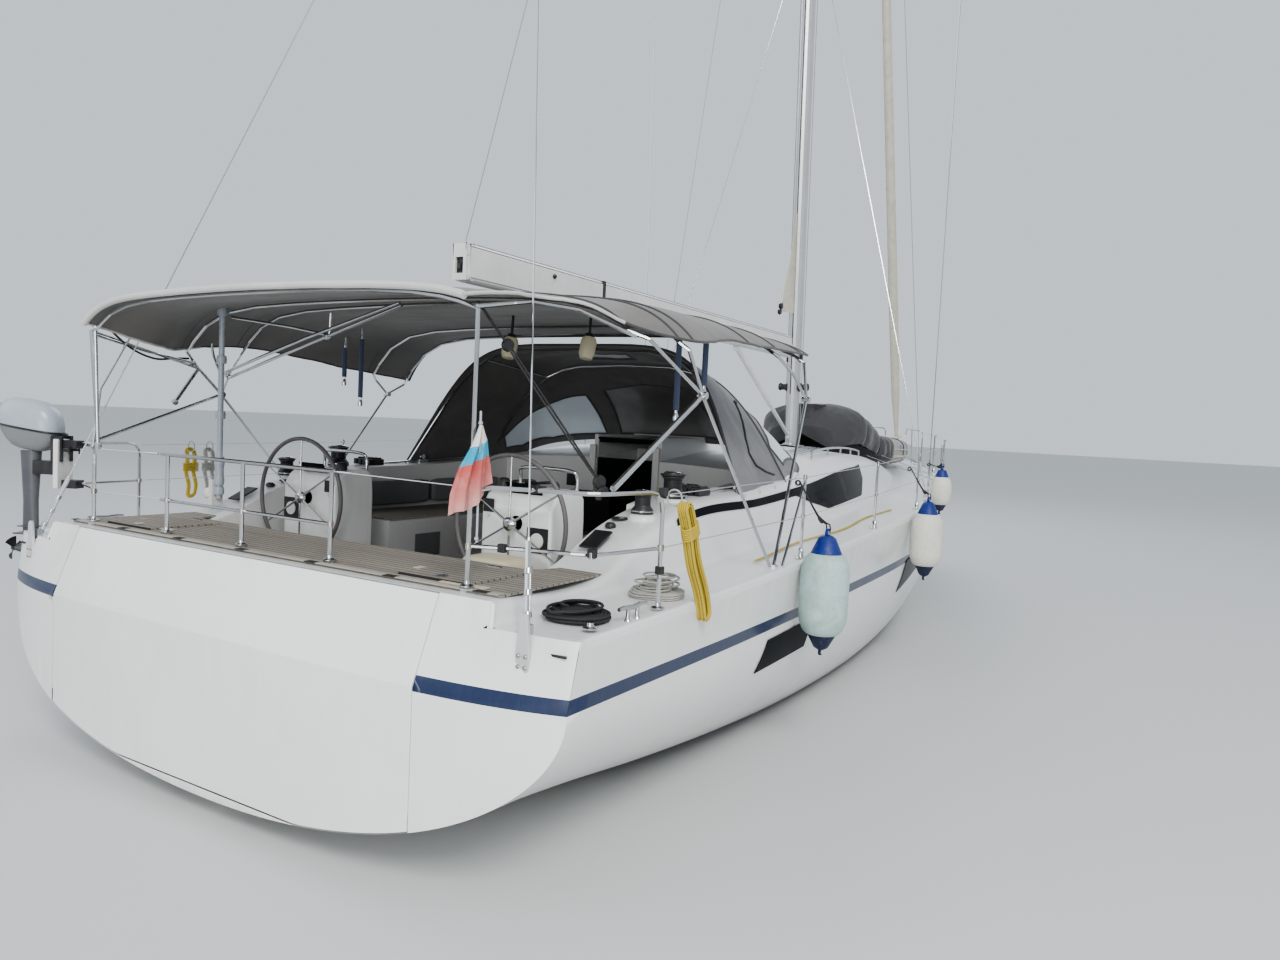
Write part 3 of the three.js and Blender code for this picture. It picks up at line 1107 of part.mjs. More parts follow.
const braces = [
  pipe([[265, 1990, RAIL.top + 26], KNEE.port], 14),
  pipe(toStarboard([[470, 2328, RAIL.top + 26], KNEE.starboard]), 18),
  pipe([[112, 1722, 2840], [1180, 2140, 2660]], 10),
  pipe(toStarboard([[112, 1715, 2932], [620, 1650, 3028], [900, 1770, 3018], [1220, 1965, 2900]]), 12),
  drum(36, 60, 8).translate([2522, footY(2522), deckAt(2522) - 50]),
  drum(36, 60, 8).translate([2522, -footY(2522), deckAt(2522) - 50]),
];
const pushpits = join(pushpit, mirrored(pushpit));
const biminiFrame = seated(
  cut(
    join(
      ...canopyHoops.map((route) => pipe(route, RAIL.tube)),
      ...braces,
    ),
    canopy,
    canopy.translate([0, 0, -1]),
    pushpits,
    pushpits.translate([0, 0, SEAT_GAP]),
  ),
  base,
);
add("bimini_frame", biminiFrame, FINISH.steel);

// Sprayhood: a half tent over the companionway, open aft
const HOOD_BOWS = [
  { footX: 3140, half: 1830, footZ: 1860, topX: 3450, topZ: 3075, lean: 600, power: 6, crown: 50 },
  { footX: 3700, half: 1800, footZ: 1890, topX: 3850, topZ: 3055, lean: 620, power: 5, crown: 50 },
  { footX: 4300, half: 1750, footZ: 1930, topX: 4220, topZ: 2985, lean: 620, power: 4, crown: 40 },
  { footX: 4620, half: 1700, footZ: 1970, topX: 4860, topZ: 2680, lean: 420, power: 3.2, crown: 30 },
  { footX: 4760, half: 1660, footZ: 2000, topX: 5380, topZ: 2215, lean: 50, power: 2.6, crown: 0 },
];
function hoodRing(bow, inset) {
  const count = 14;
  const arch = Array.from({ length: count + 1 }, (_, i) => {
    const c = Math.cos((Math.PI * i) / count);
    const s = Math.sin((Math.PI * i) / count);
    const rise = s ** (2 / bow.power);
    const y = Math.sign(c) * Math.abs(c) ** (2 / bow.power) * (bow.half - inset - bow.lean * rise);
    const sag = bow.crown * (y / bow.half) ** 2 * rise;
    return [
      bow.footX + (bow.topX - bow.footX) * rise,
      y,
      bow.footZ + (bow.topZ - inset - bow.footZ) * rise - sag,
    ];
  });
  const foot = (side) => [bow.footX, side * (bow.half - inset), bow.footZ - HOOD.buried];
  return [foot(1), ...arch, foot(-1)];
}
const hoodSkin = (inset, shift) => lofted(HOOD_BOWS.map((bow, i) => {
  const back = i === 0 ? shift : i === HOOD_BOWS.length - 1 ? inset : 0;
  return hoodRing(bow, inset).map(([x, y, z]) => [x - back, y, z]);
}));
const slideRoom = block(WELL.foreX, GARAGE.x1, -GARAGE.inner, GARAGE.inner, 2100, GARAGE.topZ - 1);
const hood = seated(cut(hoodSkin(0, 0), hoodSkin(HOOD.thickness, 5), slideRoom), base);
add("sprayhood", hood, FINISH.darkCanvas);
const hoodHoops = [0, 2].map((i) => hoodRing(HOOD_BOWS[i], HOOD.thickness + 26).map(([x, y, z]) => [x + 30, y, z]));
const hoodFrame = join(
  ...hoodHoops.map((route) => pipe(route, 11)),
  ...[5, 11].map((i) => pipe(hoodHoops.map((route) => route[i]), 9)),
);
add("sprayhood_frame", seated(hoodFrame, base), FINISH.steel);

// Fenders along the starboard side: place and height of the middle
const FENDERS = [
  { name: "aft", x: 2760, z: 1280, length: 900, radius: 175 },
  { name: "middle", x: 6120, z: 1360, length: 860, radius: 165 },
  { name: "fore", x: 7350, z: 1800, length: 560, radius: 120 },
];
for (const f of FENDERS) {
  const h = f.length / 2;
  const body = turned([
    [0, -h], [26, -h], [60, -h + 60], [f.radius, -h + 170], [f.radius, h - 170], [60, h - 60], [26, h], [0, h],
  ], 14);
  const hung = body.translate([f.x, -edgeAt(f.x) - f.radius - 20, f.z]);
  add("fender_" + f.name, touching(hung, base, [0, 1, 0]), FINISH.fender);
}

// Tender on the foredeck, its after half under a cover
const tenderRing = (x, half, low, high, power) => {
  const count = 12;
  return Array.from({ length: count }, (_, i) => {
    const angle = (2 * Math.PI * i) / count;
    const c = Math.cos(angle);
    const s = Math.sin(angle);
    const y = half * Math.sign(c) * Math.abs(c) ** (2 / power);
    return [x, y, (low + high) / 2 + ((high - low) / 2) * Math.sign(s) * Math.abs(s) ** (2 / power)];
  });
};
const tender = lofted([
  tenderRing(11380, 780, 1905, 2360, 4),
  tenderRing(12300, 740, 1905, 2350, 4),
  tenderRing(12800, 560, 1930, 2330, 3.2),
  tenderRing(13120, 260, 1980, 2300, 2.6),
]);
add("tender", seated(tender, base), FINISH.rubber);
const cover = lofted([
  tenderRing(9180, 520, 2060, 2480, 3),
  tenderRing(9520, 760, 2050, 2800, 2.6),
  tenderRing(10150, 820, 1990, 2720, 2.8),
  tenderRing(10700, 830, 1940, 2470, 3.2),
  tenderRing(11380 - SEAT_GAP, 810, 1900, 2400, 4),
]);
add("tender_cover", seated(cover, base), FINISH.darkCanvas);

// Ensign hanging from the canopy's starboard strut
const ensign = prismY(
  [[120, 2380], [150, 1930], [90, 1880], [20, 1900], [-20, 2050], [60, 2330]],
  -1676,
  -1670,
);
add("ensign", touching(ensign, biminiFrame, [0, -1, 0]), FINISH.flag);

// Ropes put down on the starboard side deck and hung on its rail
const coilRing = (r, w, z0, z1) =>
  turned([[r - w, z0], [r + w, z0], [r + w, z1], [r - w, z1], [r - w, z0]], 16);
const sideDeck = (x) => deckAt(x) - 6;
add(
  "rope_coil_black",
  seated(coilRing(120, 65, 0, 90).translate([420, -2185, sideDeck(420)]), base),
  FINISH.blackRope,
);
add(
  "rope_coil_white",
  seated(
    turned([[0, 0], [200, 0], [190, 70], [90, 110], [0, 115]], 14).translate([1180, -2220, sideDeck(1180)]),
    base,
  ),
  FINISH.whiteRope,
);

const hankLoop = (inset) => {
  const corners = [
    [845, 2015], [900, 2030], [1010, 1850], [1290, 1340], [1250, 1285], [1160, 1330], [900, 1800],
  ];
  const [cx, cz] = [1065, 1665];
  return corners.map(([x, z]) => {
    const reach = Math.hypot(x - cx, z - cz);
    return [x + ((cx - x) * inset) / reach, z + ((cz - z) * inset) / reach];
  });
};
add(
  "rope_hank_yellow",
  touching(
    prismY(hankLoop(0), -2564, -2518).subtract(prismY(hankLoop(70), -2570, -2510)),
    join(base, mirrored(pushpit)),
    [0, 1, 0],
  ),
  FINISH.yellowRope,
);

// Outboard motor clamped outside the port pushpit's aft corner, facing out from it
const OUTBOARD = { x: 335, y: 2270, turn: 28, topZ: 2380 };
const outboard = join(
  prismZ(rounded(-130, 130, 180, 560, 60), 1960, OUTBOARD.topZ),
  block(-60, 60, 300, 470, 1340, 1961),
  block(-90, 90, 110, 181, 1700, 2070),
  block(-50, 50, 0, 111, RAIL.top - 45, RAIL.top + 25),
  block(-50, 50, 0, 111, RAIL.middle - 35, RAIL.middle + 25),
  block(-70, 70, 130, 320, 1800, 1900),
  block(-14, 14, 310, 500, 1120, 1345),
  drum(45, 210, 12).rotate([90, 0, 0]).translate([0, 500, 1230]),
).rotate([0, 0, OUTBOARD.turn]).translate([OUTBOARD.x, OUTBOARD.y, 0]);
add("outboard", clasping(outboard, pushpit), FINISH.blackPlastic);

// Mooring cleats
const CLEATS = [
  { name: "aft", x: 600, y: 2400 },
  { name: "bow", x: 13350, y: 640 },
];
for (const c of CLEATS) {
  for (const side of [1, -1]) {
    const z = deckAt(c.x);
    const body = join(
      block(c.x - 55, c.x - 25, side * c.y - 12, side * c.y + 12, z - 40, z + 60),
      block(c.x + 25, c.x + 55, side * c.y - 12, side * c.y + 12, z - 40, z + 60),
      prismY([[c.x - 140, z + 70], [c.x - 60, z + 50], [c.x + 60, z + 50], [c.x + 140, z + 70], [c.x + 130, z + 82],
        [c.x - 130, z + 82]], side * c.y - 14, side * c.y + 14),
    );
    add("cleat_" + c.name + "_" + (side > 0 ? "port" : "starboard"), seated(body, base), FINISH.steel);
  }
}

export default yacht;
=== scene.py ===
"""A cruising yacht of about fifteen metres, afloat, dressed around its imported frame.

Metres. X runs to the bow, Y to port, Z up. Z = 0 is the waterline, X = 0 the aft deck edge.
"""

from __future__ import annotations

import json
import logging
import math
from dataclasses import dataclass
from enum import Enum
from typing import Iterable, Sequence

import bmesh
import bpy
import numpy as np
from mathutils import Matrix, Vector, noise

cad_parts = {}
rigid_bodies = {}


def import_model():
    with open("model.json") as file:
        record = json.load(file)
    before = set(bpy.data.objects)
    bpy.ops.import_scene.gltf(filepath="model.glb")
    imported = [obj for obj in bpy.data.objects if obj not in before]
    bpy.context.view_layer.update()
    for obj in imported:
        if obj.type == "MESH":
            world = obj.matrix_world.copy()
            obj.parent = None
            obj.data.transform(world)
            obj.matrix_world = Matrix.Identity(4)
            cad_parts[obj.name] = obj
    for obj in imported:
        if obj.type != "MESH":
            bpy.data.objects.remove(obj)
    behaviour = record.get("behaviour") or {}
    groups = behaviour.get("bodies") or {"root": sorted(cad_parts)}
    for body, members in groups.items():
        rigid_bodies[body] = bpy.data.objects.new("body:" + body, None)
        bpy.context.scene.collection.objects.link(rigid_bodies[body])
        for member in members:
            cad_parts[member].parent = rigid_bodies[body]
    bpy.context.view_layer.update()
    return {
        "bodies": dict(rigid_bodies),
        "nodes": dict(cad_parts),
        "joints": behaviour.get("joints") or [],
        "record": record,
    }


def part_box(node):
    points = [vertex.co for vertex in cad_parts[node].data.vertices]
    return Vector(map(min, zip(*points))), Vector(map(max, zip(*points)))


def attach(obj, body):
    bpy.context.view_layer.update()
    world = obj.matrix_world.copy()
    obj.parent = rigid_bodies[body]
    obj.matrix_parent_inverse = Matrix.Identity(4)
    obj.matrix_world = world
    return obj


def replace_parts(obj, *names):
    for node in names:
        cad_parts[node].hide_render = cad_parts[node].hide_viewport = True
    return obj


LOG = logging.getLogger("yacht")
Point = Sequence[float]
Colour = tuple[float, float, float]
SIDES = {"port": 1.0, "starboard": -1.0}
BOAT = "boat"


# Node work shared by the finishes
class Graph:
    """The nodes of one material, made with short calls."""

    def __init__(self, name: str) -> None:
        """Start a material with its principled shader.

        Args:
            name: The material's name.
        """
        self.material = bpy.data.materials.new(name)
        self.material.use_nodes = True
        self.tree = self.material.node_tree
        self.shader = self.tree.nodes["Principled BSDF"]
        self.coords = self.add("ShaderNodeTexCoord").outputs["Object"]
        axes = self.add("ShaderNodeSeparateXYZ")
        self.join(self.coords, axes.inputs[0])
        self.x, self.y, self.z = axes.outputs

    def add(self, kind: str, **values: object) -> bpy.types.Node:
        """Add a node and set its own properties.

        Args:
            kind: The node's type name.
            values: Properties of the node.

        Returns:
            The new node.
        """
        node = self.tree.nodes.new(kind)
        for key, value in values.items():
            setattr(node, key, value)
        return node

    def join(self, source: object, target: bpy.types.NodeSocket) -> None:
        """Link a socket to an input, or set the input to a plain value.

        Args:
            source: An output socket, a number or a colour.
            target: The input socket.
        """
        if isinstance(source, bpy.types.NodeSocket):
            self.tree.links.new(source, target)
        elif isinstance(source, (int, float)):
            target.default_value = source
        else:
            target.default_value = (*source, 1.0) if len(source) == 3 else source

    def set(self, **values: object) -> None:
        """Set or link inputs of the shader by name, underscores standing for spaces.

        Args:
            values: Input names and what feeds them.
        """
        for key, value in values.items():
            self.join(value, self.shader.inputs[key.replace("_", " ")])

    def mapped(
        self, stretch: Point, shift: Point = (0, 0, 0), turn: Point = (0, 0, 0)
    ) -> bpy.types.NodeSocket:
        """Object coordinates, stretched, shifted and turned.

        Args:
            stretch: Scale on each axis.
            shift: Offset on each axis.
            turn: Rotation on each axis, in radians.

        Returns:
            The vector output.
        """
        node = self.add("ShaderNodeMapping")
        self.join(self.coords, node.inputs["Vector"])
        node.inputs["Scale"].default_value = stretch
        node.inputs["Location"].default_value = shift
        node.inputs["Rotation"].default_value = turn
        return node.outputs["Vector"]

    def noise(
        self,
        scale: float,
        detail: float = 4.0,
        rough: float = 0.55,
        stretch: Point = (1, 1, 1),
        shift: Point = (0, 0, 0),
        warp: float = 0.0,
    ) -> bpy.types.NodeSocket:
        """A noise value over the surface.

        Args:
            scale: Features per metre.
            detail: Octaves.
            rough: Strength of the finer octaves.
            stretch: Scale on each axis.
            shift: Offset, so that two noises differ.
            warp: Distortion.

        Returns:
            The value output, about 0.5 on average.
        """
        node = self.add("ShaderNodeTexNoise")
        self.join(self.mapped(stretch, shift), node.inputs["Vector"])
        node.inputs["Scale"].default_value = scale
        node.inputs["Detail"].default_value = detail
        node.inputs["Roughness"].default_value = rough
        node.inputs["Distortion"].default_value = warp
        return node.outputs["Fac"]

    def cells(self, scale: float, stretch: Point = (1, 1, 1)) -> bpy.types.NodeSocket:
        """Distance to the nearest of scattered points.

        Args:
            scale: Points per metre.
            stretch: Scale on each axis.

        Returns:
            The distance output.
        """
        node = self.add("ShaderNodeTexVoronoi")
        self.join(self.mapped(stretch), node.inputs["Vector"])
        node.inputs["Scale"].default_value = scale
        return node.outputs["Distance"]

    def bands(
        self, scale: float, axis: str = "X", warp: float = 0.0, turn: Point = (0, 0, 0)
    ) -> bpy.types.NodeSocket:
        """Even bands across an axis.

        Args:
            scale: Bands per metre, times about 0.3.
            axis: The axis that the bands cross.
            warp: Distortion.
            turn: Rotation of the pattern.

        Returns:
            The value output.
        """
        node = self.add("ShaderNodeTexWave", bands_direction=axis)
        self.join(self.mapped((1, 1, 1), turn=turn), node.inputs["Vector"])
        node.inputs["Scale"].default_value = scale
        node.inputs["Distortion"].default_value = warp
        return node.outputs["Fac"]

    def step(self, value: object, low: float, high: float) -> bpy.types.NodeSocket:
        """A value brought from a range to the range 0 to 1.

        Args:
            value: What is remapped.
            low: What gives 0.
            high: What gives 1.

        Returns:
            The clamped output.
        """
        node = self.add("ShaderNodeMapRange", clamp=True)
        self.join(value, node.inputs["Value"])
        node.inputs["From Min"].default_value = low
        node.inputs["From Max"].default_value = high
        return node.outputs["Result"]

    def maths(self, operation: str, first: object, second: object = 0.0) -> bpy.types.NodeSocket:
        """One arithmetic step.

        Args:
            operation: The operation's name.
            first: Its first value.
            second: Its second value.

        Returns:
            The result.
        """
        node = self.add("ShaderNodeMath", operation=operation)
        self.join(first, node.inputs[0])
        self.join(second, node.inputs[1])
        return node.outputs[0]

    def mix(self, share: object, first: object, second: object, how: str = "MIX") -> bpy.types.NodeSocket:
        """Two colours mixed.

        Args:
            share: How much of the second.
            first: The first colour.
            second: The second colour.
            how: The blend mode.

        Returns:
            The mixed colour.
        """
        node = self.add("ShaderNodeMix", data_type="RGBA", blend_type=how)
        self.join(share, node.inputs[0])
        self.join(first, node.inputs[6])
        self.join(second, node.inputs[7])
        return node.outputs[2]

    def bump(self, height: object, strength: float, depth: float) -> None:
        """Give the surface relief; a second call adds to the first.

        Args:
            height: What drives the relief.
            strength: Its strength, from 0 to 1.
            depth: Its depth in metres.
        """
        node = self.add("ShaderNodeBump")
        node.inputs["Strength"].default_value = strength
        node.inputs["Distance"].default_value = depth
        self.join(height, node.inputs["Height"])
        before = self.shader.inputs["Normal"]
        if before.is_linked:
            self.join(before.links[0].from_socket, node.inputs["Normal"])
        self.join(node.outputs["Normal"], before)


# Finishes
@dataclass(frozen=True)
class Gelcoat:
    """Glossy moulding with grime and fine streaks."""

    name: str = "gelcoat"
    colour: Colour = (0.80, 0.81, 0.80)
    grime: Colour = (0.55, 0.53, 0.47)
    soil: float = 0.35
    grip: float = 0.0

    def make(self) -> bpy.types.Material:
        """Build the material.

        Returns:
            The finished material.
        """
        g = Graph(self.name)
        blotch = g.noise(2.2, 5, 0.6)
        streak = g.noise(9.0, 4, 0.6, stretch=(1, 1, 0.12), shift=(3, 1, 0))
        dirt = g.maths("MULTIPLY", g.step(blotch, 0.42, 0.75), g.step(streak, 0.35, 0.75))
        base = g.mix(g.step(g.noise(0.7, 3), 0.3, 0.7), self.colour, tuple(0.94 * c for c in self.colour))
        g.set(Base_Color=g.mix(g.maths("MULTIPLY", dirt, self.soil), base, self.grime))
        g.set(Roughness=g.step(blotch, -0.6, 2.6), IOR=1.5)
        g.shader.inputs["Coat Weight"].default_value = 0.3
        g.shader.inputs["Coat Roughness"].default_value = 0.12
        g.bump(g.noise(3.0, 2), 0.12, 0.006)
        if self.grip:
            g.bump(g.cells(260.0), self.grip, 0.0012)
        return g.material


@dataclass(frozen=True)
class HullPaint:
    """Hull sides: white moulding, navy band, scum line and dark bottom paint."""

    name: str = "hull_paint"
    white: Colour = (0.79, 0.80, 0.79)
    navy: Colour = (0.009, 0.021, 0.070)
    bottom: Colour = (0.012, 0.016, 0.028)
    band_low: float = 1.052
    band_high: float = 1.128
    bottom_top: float = 0.055
    platform_half: float = 1.637

    def make(self) -> bpy.types.Material:
        """Build the material.

        Returns:
            The finished material.
        """
        g = Graph(self.name)
        streak = g.noise(7.0, 5, 0.65, stretch=(1, 1, 0.06))
        fine = g.noise(40.0, 3, 0.6, stretch=(1, 1, 0.10), shift=(5, 2, 1))
        blotch = g.noise(1.4, 5, 0.6)
        low = g.step(g.z, 0.75, 0.0)
        under_edge = g.maths("MULTIPLY", g.step(g.z, 1.1, 1.42), 0.5)
        reach = g.maths("ADD", g.maths("MULTIPLY", low, 0.8), under_edge)
        dirt = g.maths(
            "MULTIPLY", reach, g.step(g.maths("ADD", streak, g.maths("MULTIPLY", fine, 0.25)), 0.5, 0.85)
        )
        base = g.mix(g.step(blotch, 0.3, 0.75), self.white, (0.735, 0.745, 0.735))
        base = g.mix(g.maths("MULTIPLY", dirt, 0.5), base, (0.42, 0.39, 0.30))
        wavy = g.maths("ADD", g.z, g.maths("MULTIPLY", g.maths("SUBTRACT", g.noise(6.0, 3), 0.5), 0.05))
        scum = g.maths("MULTIPLY", g.step(wavy, 0.16, 0.07), g.step(fine, 0.25, 0.6))
        base = g.mix(g.maths("MULTIPLY", scum, 0.7), base, (0.20, 0.19, 0.10))
        inboard = g.maths("ABSOLUTE", g.y)
        in_well = g.maths(
            "MULTIPLY",
            g.maths("LESS_THAN", inboard, 1.6),
            g.maths("MULTIPLY", g.maths("GREATER_THAN", g.x, 0.8), g.maths("LESS_THAN", g.x, 5.2)),
        )
        behind = g.maths(
            "MULTIPLY", g.maths("LESS_THAN", inboard, self.platform_half), g.maths("LESS_THAN", g.x, 0.8)
        )
        in_well = g.maths("MAXIMUM", in_well, behind)
        band = g.maths(
            "MULTIPLY",
            g.maths("GREATER_THAN", g.z, self.band_low),
            g.maths("LESS_THAN", g.z, self.band_high),
        )
        band = g.maths("MULTIPLY", band, g.maths("SUBTRACT", 1.0, in_well))
        navy = g.mix(g.step(fine, 0.4, 0.9), self.navy, (0.018, 0.034, 0.092))
        base = g.mix(band, base, navy)
        base = g.mix(g.maths("LESS_THAN", wavy, self.bottom_top), base, self.bottom)
        g.set(Base_Color=base, Roughness=g.step(blotch, -0.8, 3.0), IOR=1.5)
        g.shader.inputs["Coat Weight"].default_value = 0.35
        g.shader.inputs["Coat Roughness"].default_value = 0.1
        g.bump(g.noise(2.0, 2), 0.1, 0.008)
        return g.material


@dataclass(frozen=True)
class Teak:
    """Weathered planks with dark caulking between them."""

    name: str = "teak"
    across: str = "x"
    pitch: float = 0.05
    light: Colour = (0.365, 0.330, 0.285)
    dark: Colour = (0.185, 0.160, 0.135)

    def make(self) -> bpy.types.Material:
        """Build the material.

        Returns:
            The finished material.
        """
        g = Graph(self.name)
        place, long = (g.x, (6, 1, 1)) if self.across == "x" else (g.y, (1, 6, 1))
        grain = g.noise(30.0, 6, 0.7, stretch=long)
        plank = g.maths("FLOOR", g.maths("DIVIDE", place, self.pitch))
        tone = g.add("ShaderNodeTexWhiteNoise", noise_dimensions="1D")
        g.join(plank, tone.inputs["W"])
        worn = g.mix(g.step(grain, 0.3, 0.7), self.dark, self.light)
        worn = g.mix(g.maths("MULTIPLY", tone.outputs["Value"], 0.35), worn, (0.46, 0.425, 0.38))
        worn = g.mix(g.step(g.noise(1.6, 4), 0.45, 0.75), worn, (0.30, 0.275, 0.245))
        seam = g.maths("FRACT", g.maths("DIVIDE", place, self.pitch))
        caulk = g.maths("LESS_THAN", seam, 0.15)
        g.set(Base_Color=g.mix(caulk, worn, (0.03, 0.028, 0.027)), Roughness=0.78)
        g.bump(g.maths("SUBTRACT", g.maths("MULTIPLY", grain, 0.3), caulk), 0.4, 0.002)
        return g.material


@dataclass(frozen=True)
class Metal:
    """Polished or painted metal with fine scratches and some staining."""

    name: str = "steel"
    colour: Colour = (0.62, 0.63, 0.64)
    stain: Colour = (0.40, 0.29, 0.20)
    soil: float = 0.25
    metallic: float = 1.0
    rough: float = 0.18

    def make(self) -> bpy.types.Material:
        """Build the material.

        Returns:
            The finished material.
        """
        g = Graph(self.name)
        spots = g.step(g.noise(14.0, 5, 0.7), 0.52, 0.8)
        tint = g.mix(g.step(g.noise(2.5, 3), 0.3, 0.7), self.colour, tuple(0.88 * c for c in self.colour))
        g.set(
            Base_Color=g.mix(g.maths("MULTIPLY", spots, self.soil), tint, self.stain),
            Metallic=self.metallic,
        )
        rough = g.maths("ADD", g.maths("MULTIPLY", g.noise(60.0, 3), 0.14), self.rough - 0.05)
        g.set(Roughness=rough)
        g.bump(g.noise(220.0, 2), 0.05, 0.0004)
        return g.material


@dataclass(frozen=True)
class Canvas:
    """Woven boat canvas, faded in places, with creases."""

    name: str = "canvas"
    colour: Colour = (0.15, 0.15, 0.16)
    faded: Colour = (0.25, 0.25, 0.265)
    crease: float = 0.35
    grain: Point = (1, 1, 1)

    def make(self) -> bpy.types.Material:
        """Build the material.

        Returns:
            The finished material.
        """
        g = Graph(self.name)
        worn = g.noise(1.7, 6, 0.65, stretch=self.grain, warp=0.6)
        speck = g.noise(420.0, 2, 0.7)
        base = g.mix(g.step(worn, 0.3, 0.72), self.colour, self.faded)
        g.set(Base_Color=g.mix(g.maths("MULTIPLY", speck, 0.22), base, (0.32, 0.32, 0.33)), Roughness=0.9)
        g.shader.inputs["Sheen Weight"].default_value = 0.25
        g.shader.inputs["Sheen Roughness"].default_value = 0.5
        weave = g.maths("MULTIPLY", g.bands(240.0, "X"), g.bands(240.0, "Y"))
        g.bump(weave, 0.25, 0.0006)
        g.bump(g.noise(5.0, 5, 0.6, stretch=self.grain, warp=1.2), self.crease, 0.012)
        return g.material


@dataclass(frozen=True)
class Plastic:
    """Moulded plastic or rubber with a fine grain."""

    name: str = "black_plastic"
    colour: Colour = (0.018, 0.018, 0.02)
    rough: float = 0.42
    dust: float = 0.25
    dusty: Colour = (0.16, 0.16, 0.16)

    def make(self) -> bpy.types.Material:
        """Build the material.

        Returns:
            The finished material.
        """
        g = Graph(self.name)
        mask = g.maths("MULTIPLY", g.step(g.noise(6.0, 5, 0.65), 0.42, 0.8), self.dust)
        g.set(Base_Color=g.mix(mask, self.colour, self.dusty))
        g.set(Roughness=g.maths("ADD", g.maths("MULTIPLY", g.noise(18.0, 3), 0.2), self.rough - 0.1))
        g.bump(g.noise(500.0, 2), 0.12, 0.0004)
        return g.material


@dataclass(frozen=True)
class Pane:
    """Smoked window acrylic, or hazy clear vinyl whose pale colour is partly a painted sky reflection."""

    name: str = "smoked_pane"
    colour: Colour = (0.012, 0.013, 0.015)
    rough: float = 0.06
    clear: float = 0.0
    film: float = 0.3
    index: float = 1.49

    def make(self) -> bpy.types.Material:
        """Build the material.

        Returns:
            The finished material.
        """
        g = Graph(self.name)
        haze = g.noise(3.0, 5, 0.6, stretch=(1, 1, 0.4))
        g.set(Base_Color=g.mix(g.maths("MULTIPLY", haze, self.film), self.colour, (0.30, 0.32, 0.34)))
        g.set(Roughness=g.maths("ADD", g.maths("MULTIPLY", haze, 0.12), self.rough), IOR=self.index)
        g.shader.inputs["Transmission Weight"].default_value = self.clear
        g.bump(g.noise(4.0, 3, 0.5, warp=1.0), 0.1, 0.006)
        return g.material


@dataclass(frozen=True)
class Rope:
    """Braided rope."""

    name: str = "white_rope"
    colour: Colour = (0.58, 0.57, 0.53)
    fleck: Colour = (0.30, 0.29, 0.26)
    turns: float = 60.0

    def make(self) -> bpy.types.Material:
        """Build the material.

        Returns:
            The finished material.
        """
        g = Graph(self.name)
        braid = g.maths(
            "MULTIPLY",
            g.bands(self.turns, "DIAGONAL", 2.0),
            g.bands(self.turns, "DIAGONAL", 2.0, (0, 0, 1.57)),
        )
        dirty = g.noise(12.0, 4, 0.6)
        g.set(Base_Color=g.mix(g.step(braid, 0.35, 0.0), self.colour, self.fleck), Roughness=0.85)
        g.bump(g.maths("ADD", braid, g.maths("MULTIPLY", dirty, 0.4)), 0.6, 0.003)
        return g.material


@dataclass(frozen=True)
class Vinyl:
    """Inflated vinyl or coated cloth, scuffed and greened."""

    name: str = "fender_skin"
    colour: Colour = (0.66, 0.735, 0.72)
    soil: Colour = (0.40, 0.43, 0.36)
    amount: float = 0.5
    rough: float = 0.4

    def make(self) -> bpy.types.Material:
        """Build the material.

        Returns:
            The finished material.
        """
        g = Graph(self.name)
        patch = g.step(g.noise(5.0, 6, 0.7, warp=0.8), 0.42, 0.78)
        crackle = g.step(g.noise(34.0, 6, 0.75), 0.55, 0.7)
        shade = g.mix(g.maths("MULTIPLY", patch, self.amount), self.colour, self.soil)
        g.set(Base_Color=g.mix(g.maths("MULTIPLY", crackle, 0.3), shade, (0.22, 0.22, 0.17)))
        g.set(Roughness=g.step(patch, -2.0, 2.6), IOR=1.5)
        g.bump(g.noise(24.0, 5, 0.7), 0.2, 0.002)
        return g.material


@dataclass(frozen=True)
class Bunting:
    """Faded flag cloth in three level bands."""

    name: str = "flag_cloth"
    top: Colour = (0.66, 0.66, 0.64)
    middle: Colour = (0.03, 0.34, 0.50)
    low: Colour = (0.50, 0.105, 0.095)
    heights: tuple[float, float] = (2.217, 2.140)

    def make(self) -> bpy.types.Material:
        """Build the material.

        Returns:
            The finished material.
        """
        g = Graph(self.name)
        sway = g.maths("MULTIPLY", g.maths("SUBTRACT", g.noise(5.0, 2), 0.5), 0.03)
        level = g.maths("SUBTRACT", g.maths("ADD", g.z, sway), g.maths("MULTIPLY", g.x, 0.27))
        upper = g.maths("GREATER_THAN", level, self.heights[0])
        centre = g.maths("GREATER_THAN", level, self.heights[1])
        pale = g.mix(g.step(level, 2.10, 1.90), self.low, (0.58, 0.30, 0.27))
        shade = g.mix(upper, g.mix(centre, pale, self.middle), self.top)
        worn = g.maths("MULTIPLY", g.step(g.noise(14.0, 5), 0.45, 0.9), 0.45)
        g.set(Base_Color=g.mix(worn, shade, (0.62, 0.50, 0.48)), Roughness=0.85)
        g.bump(g.bands(300.0, "Z"), 0.15, 0.0004)
        return g.material


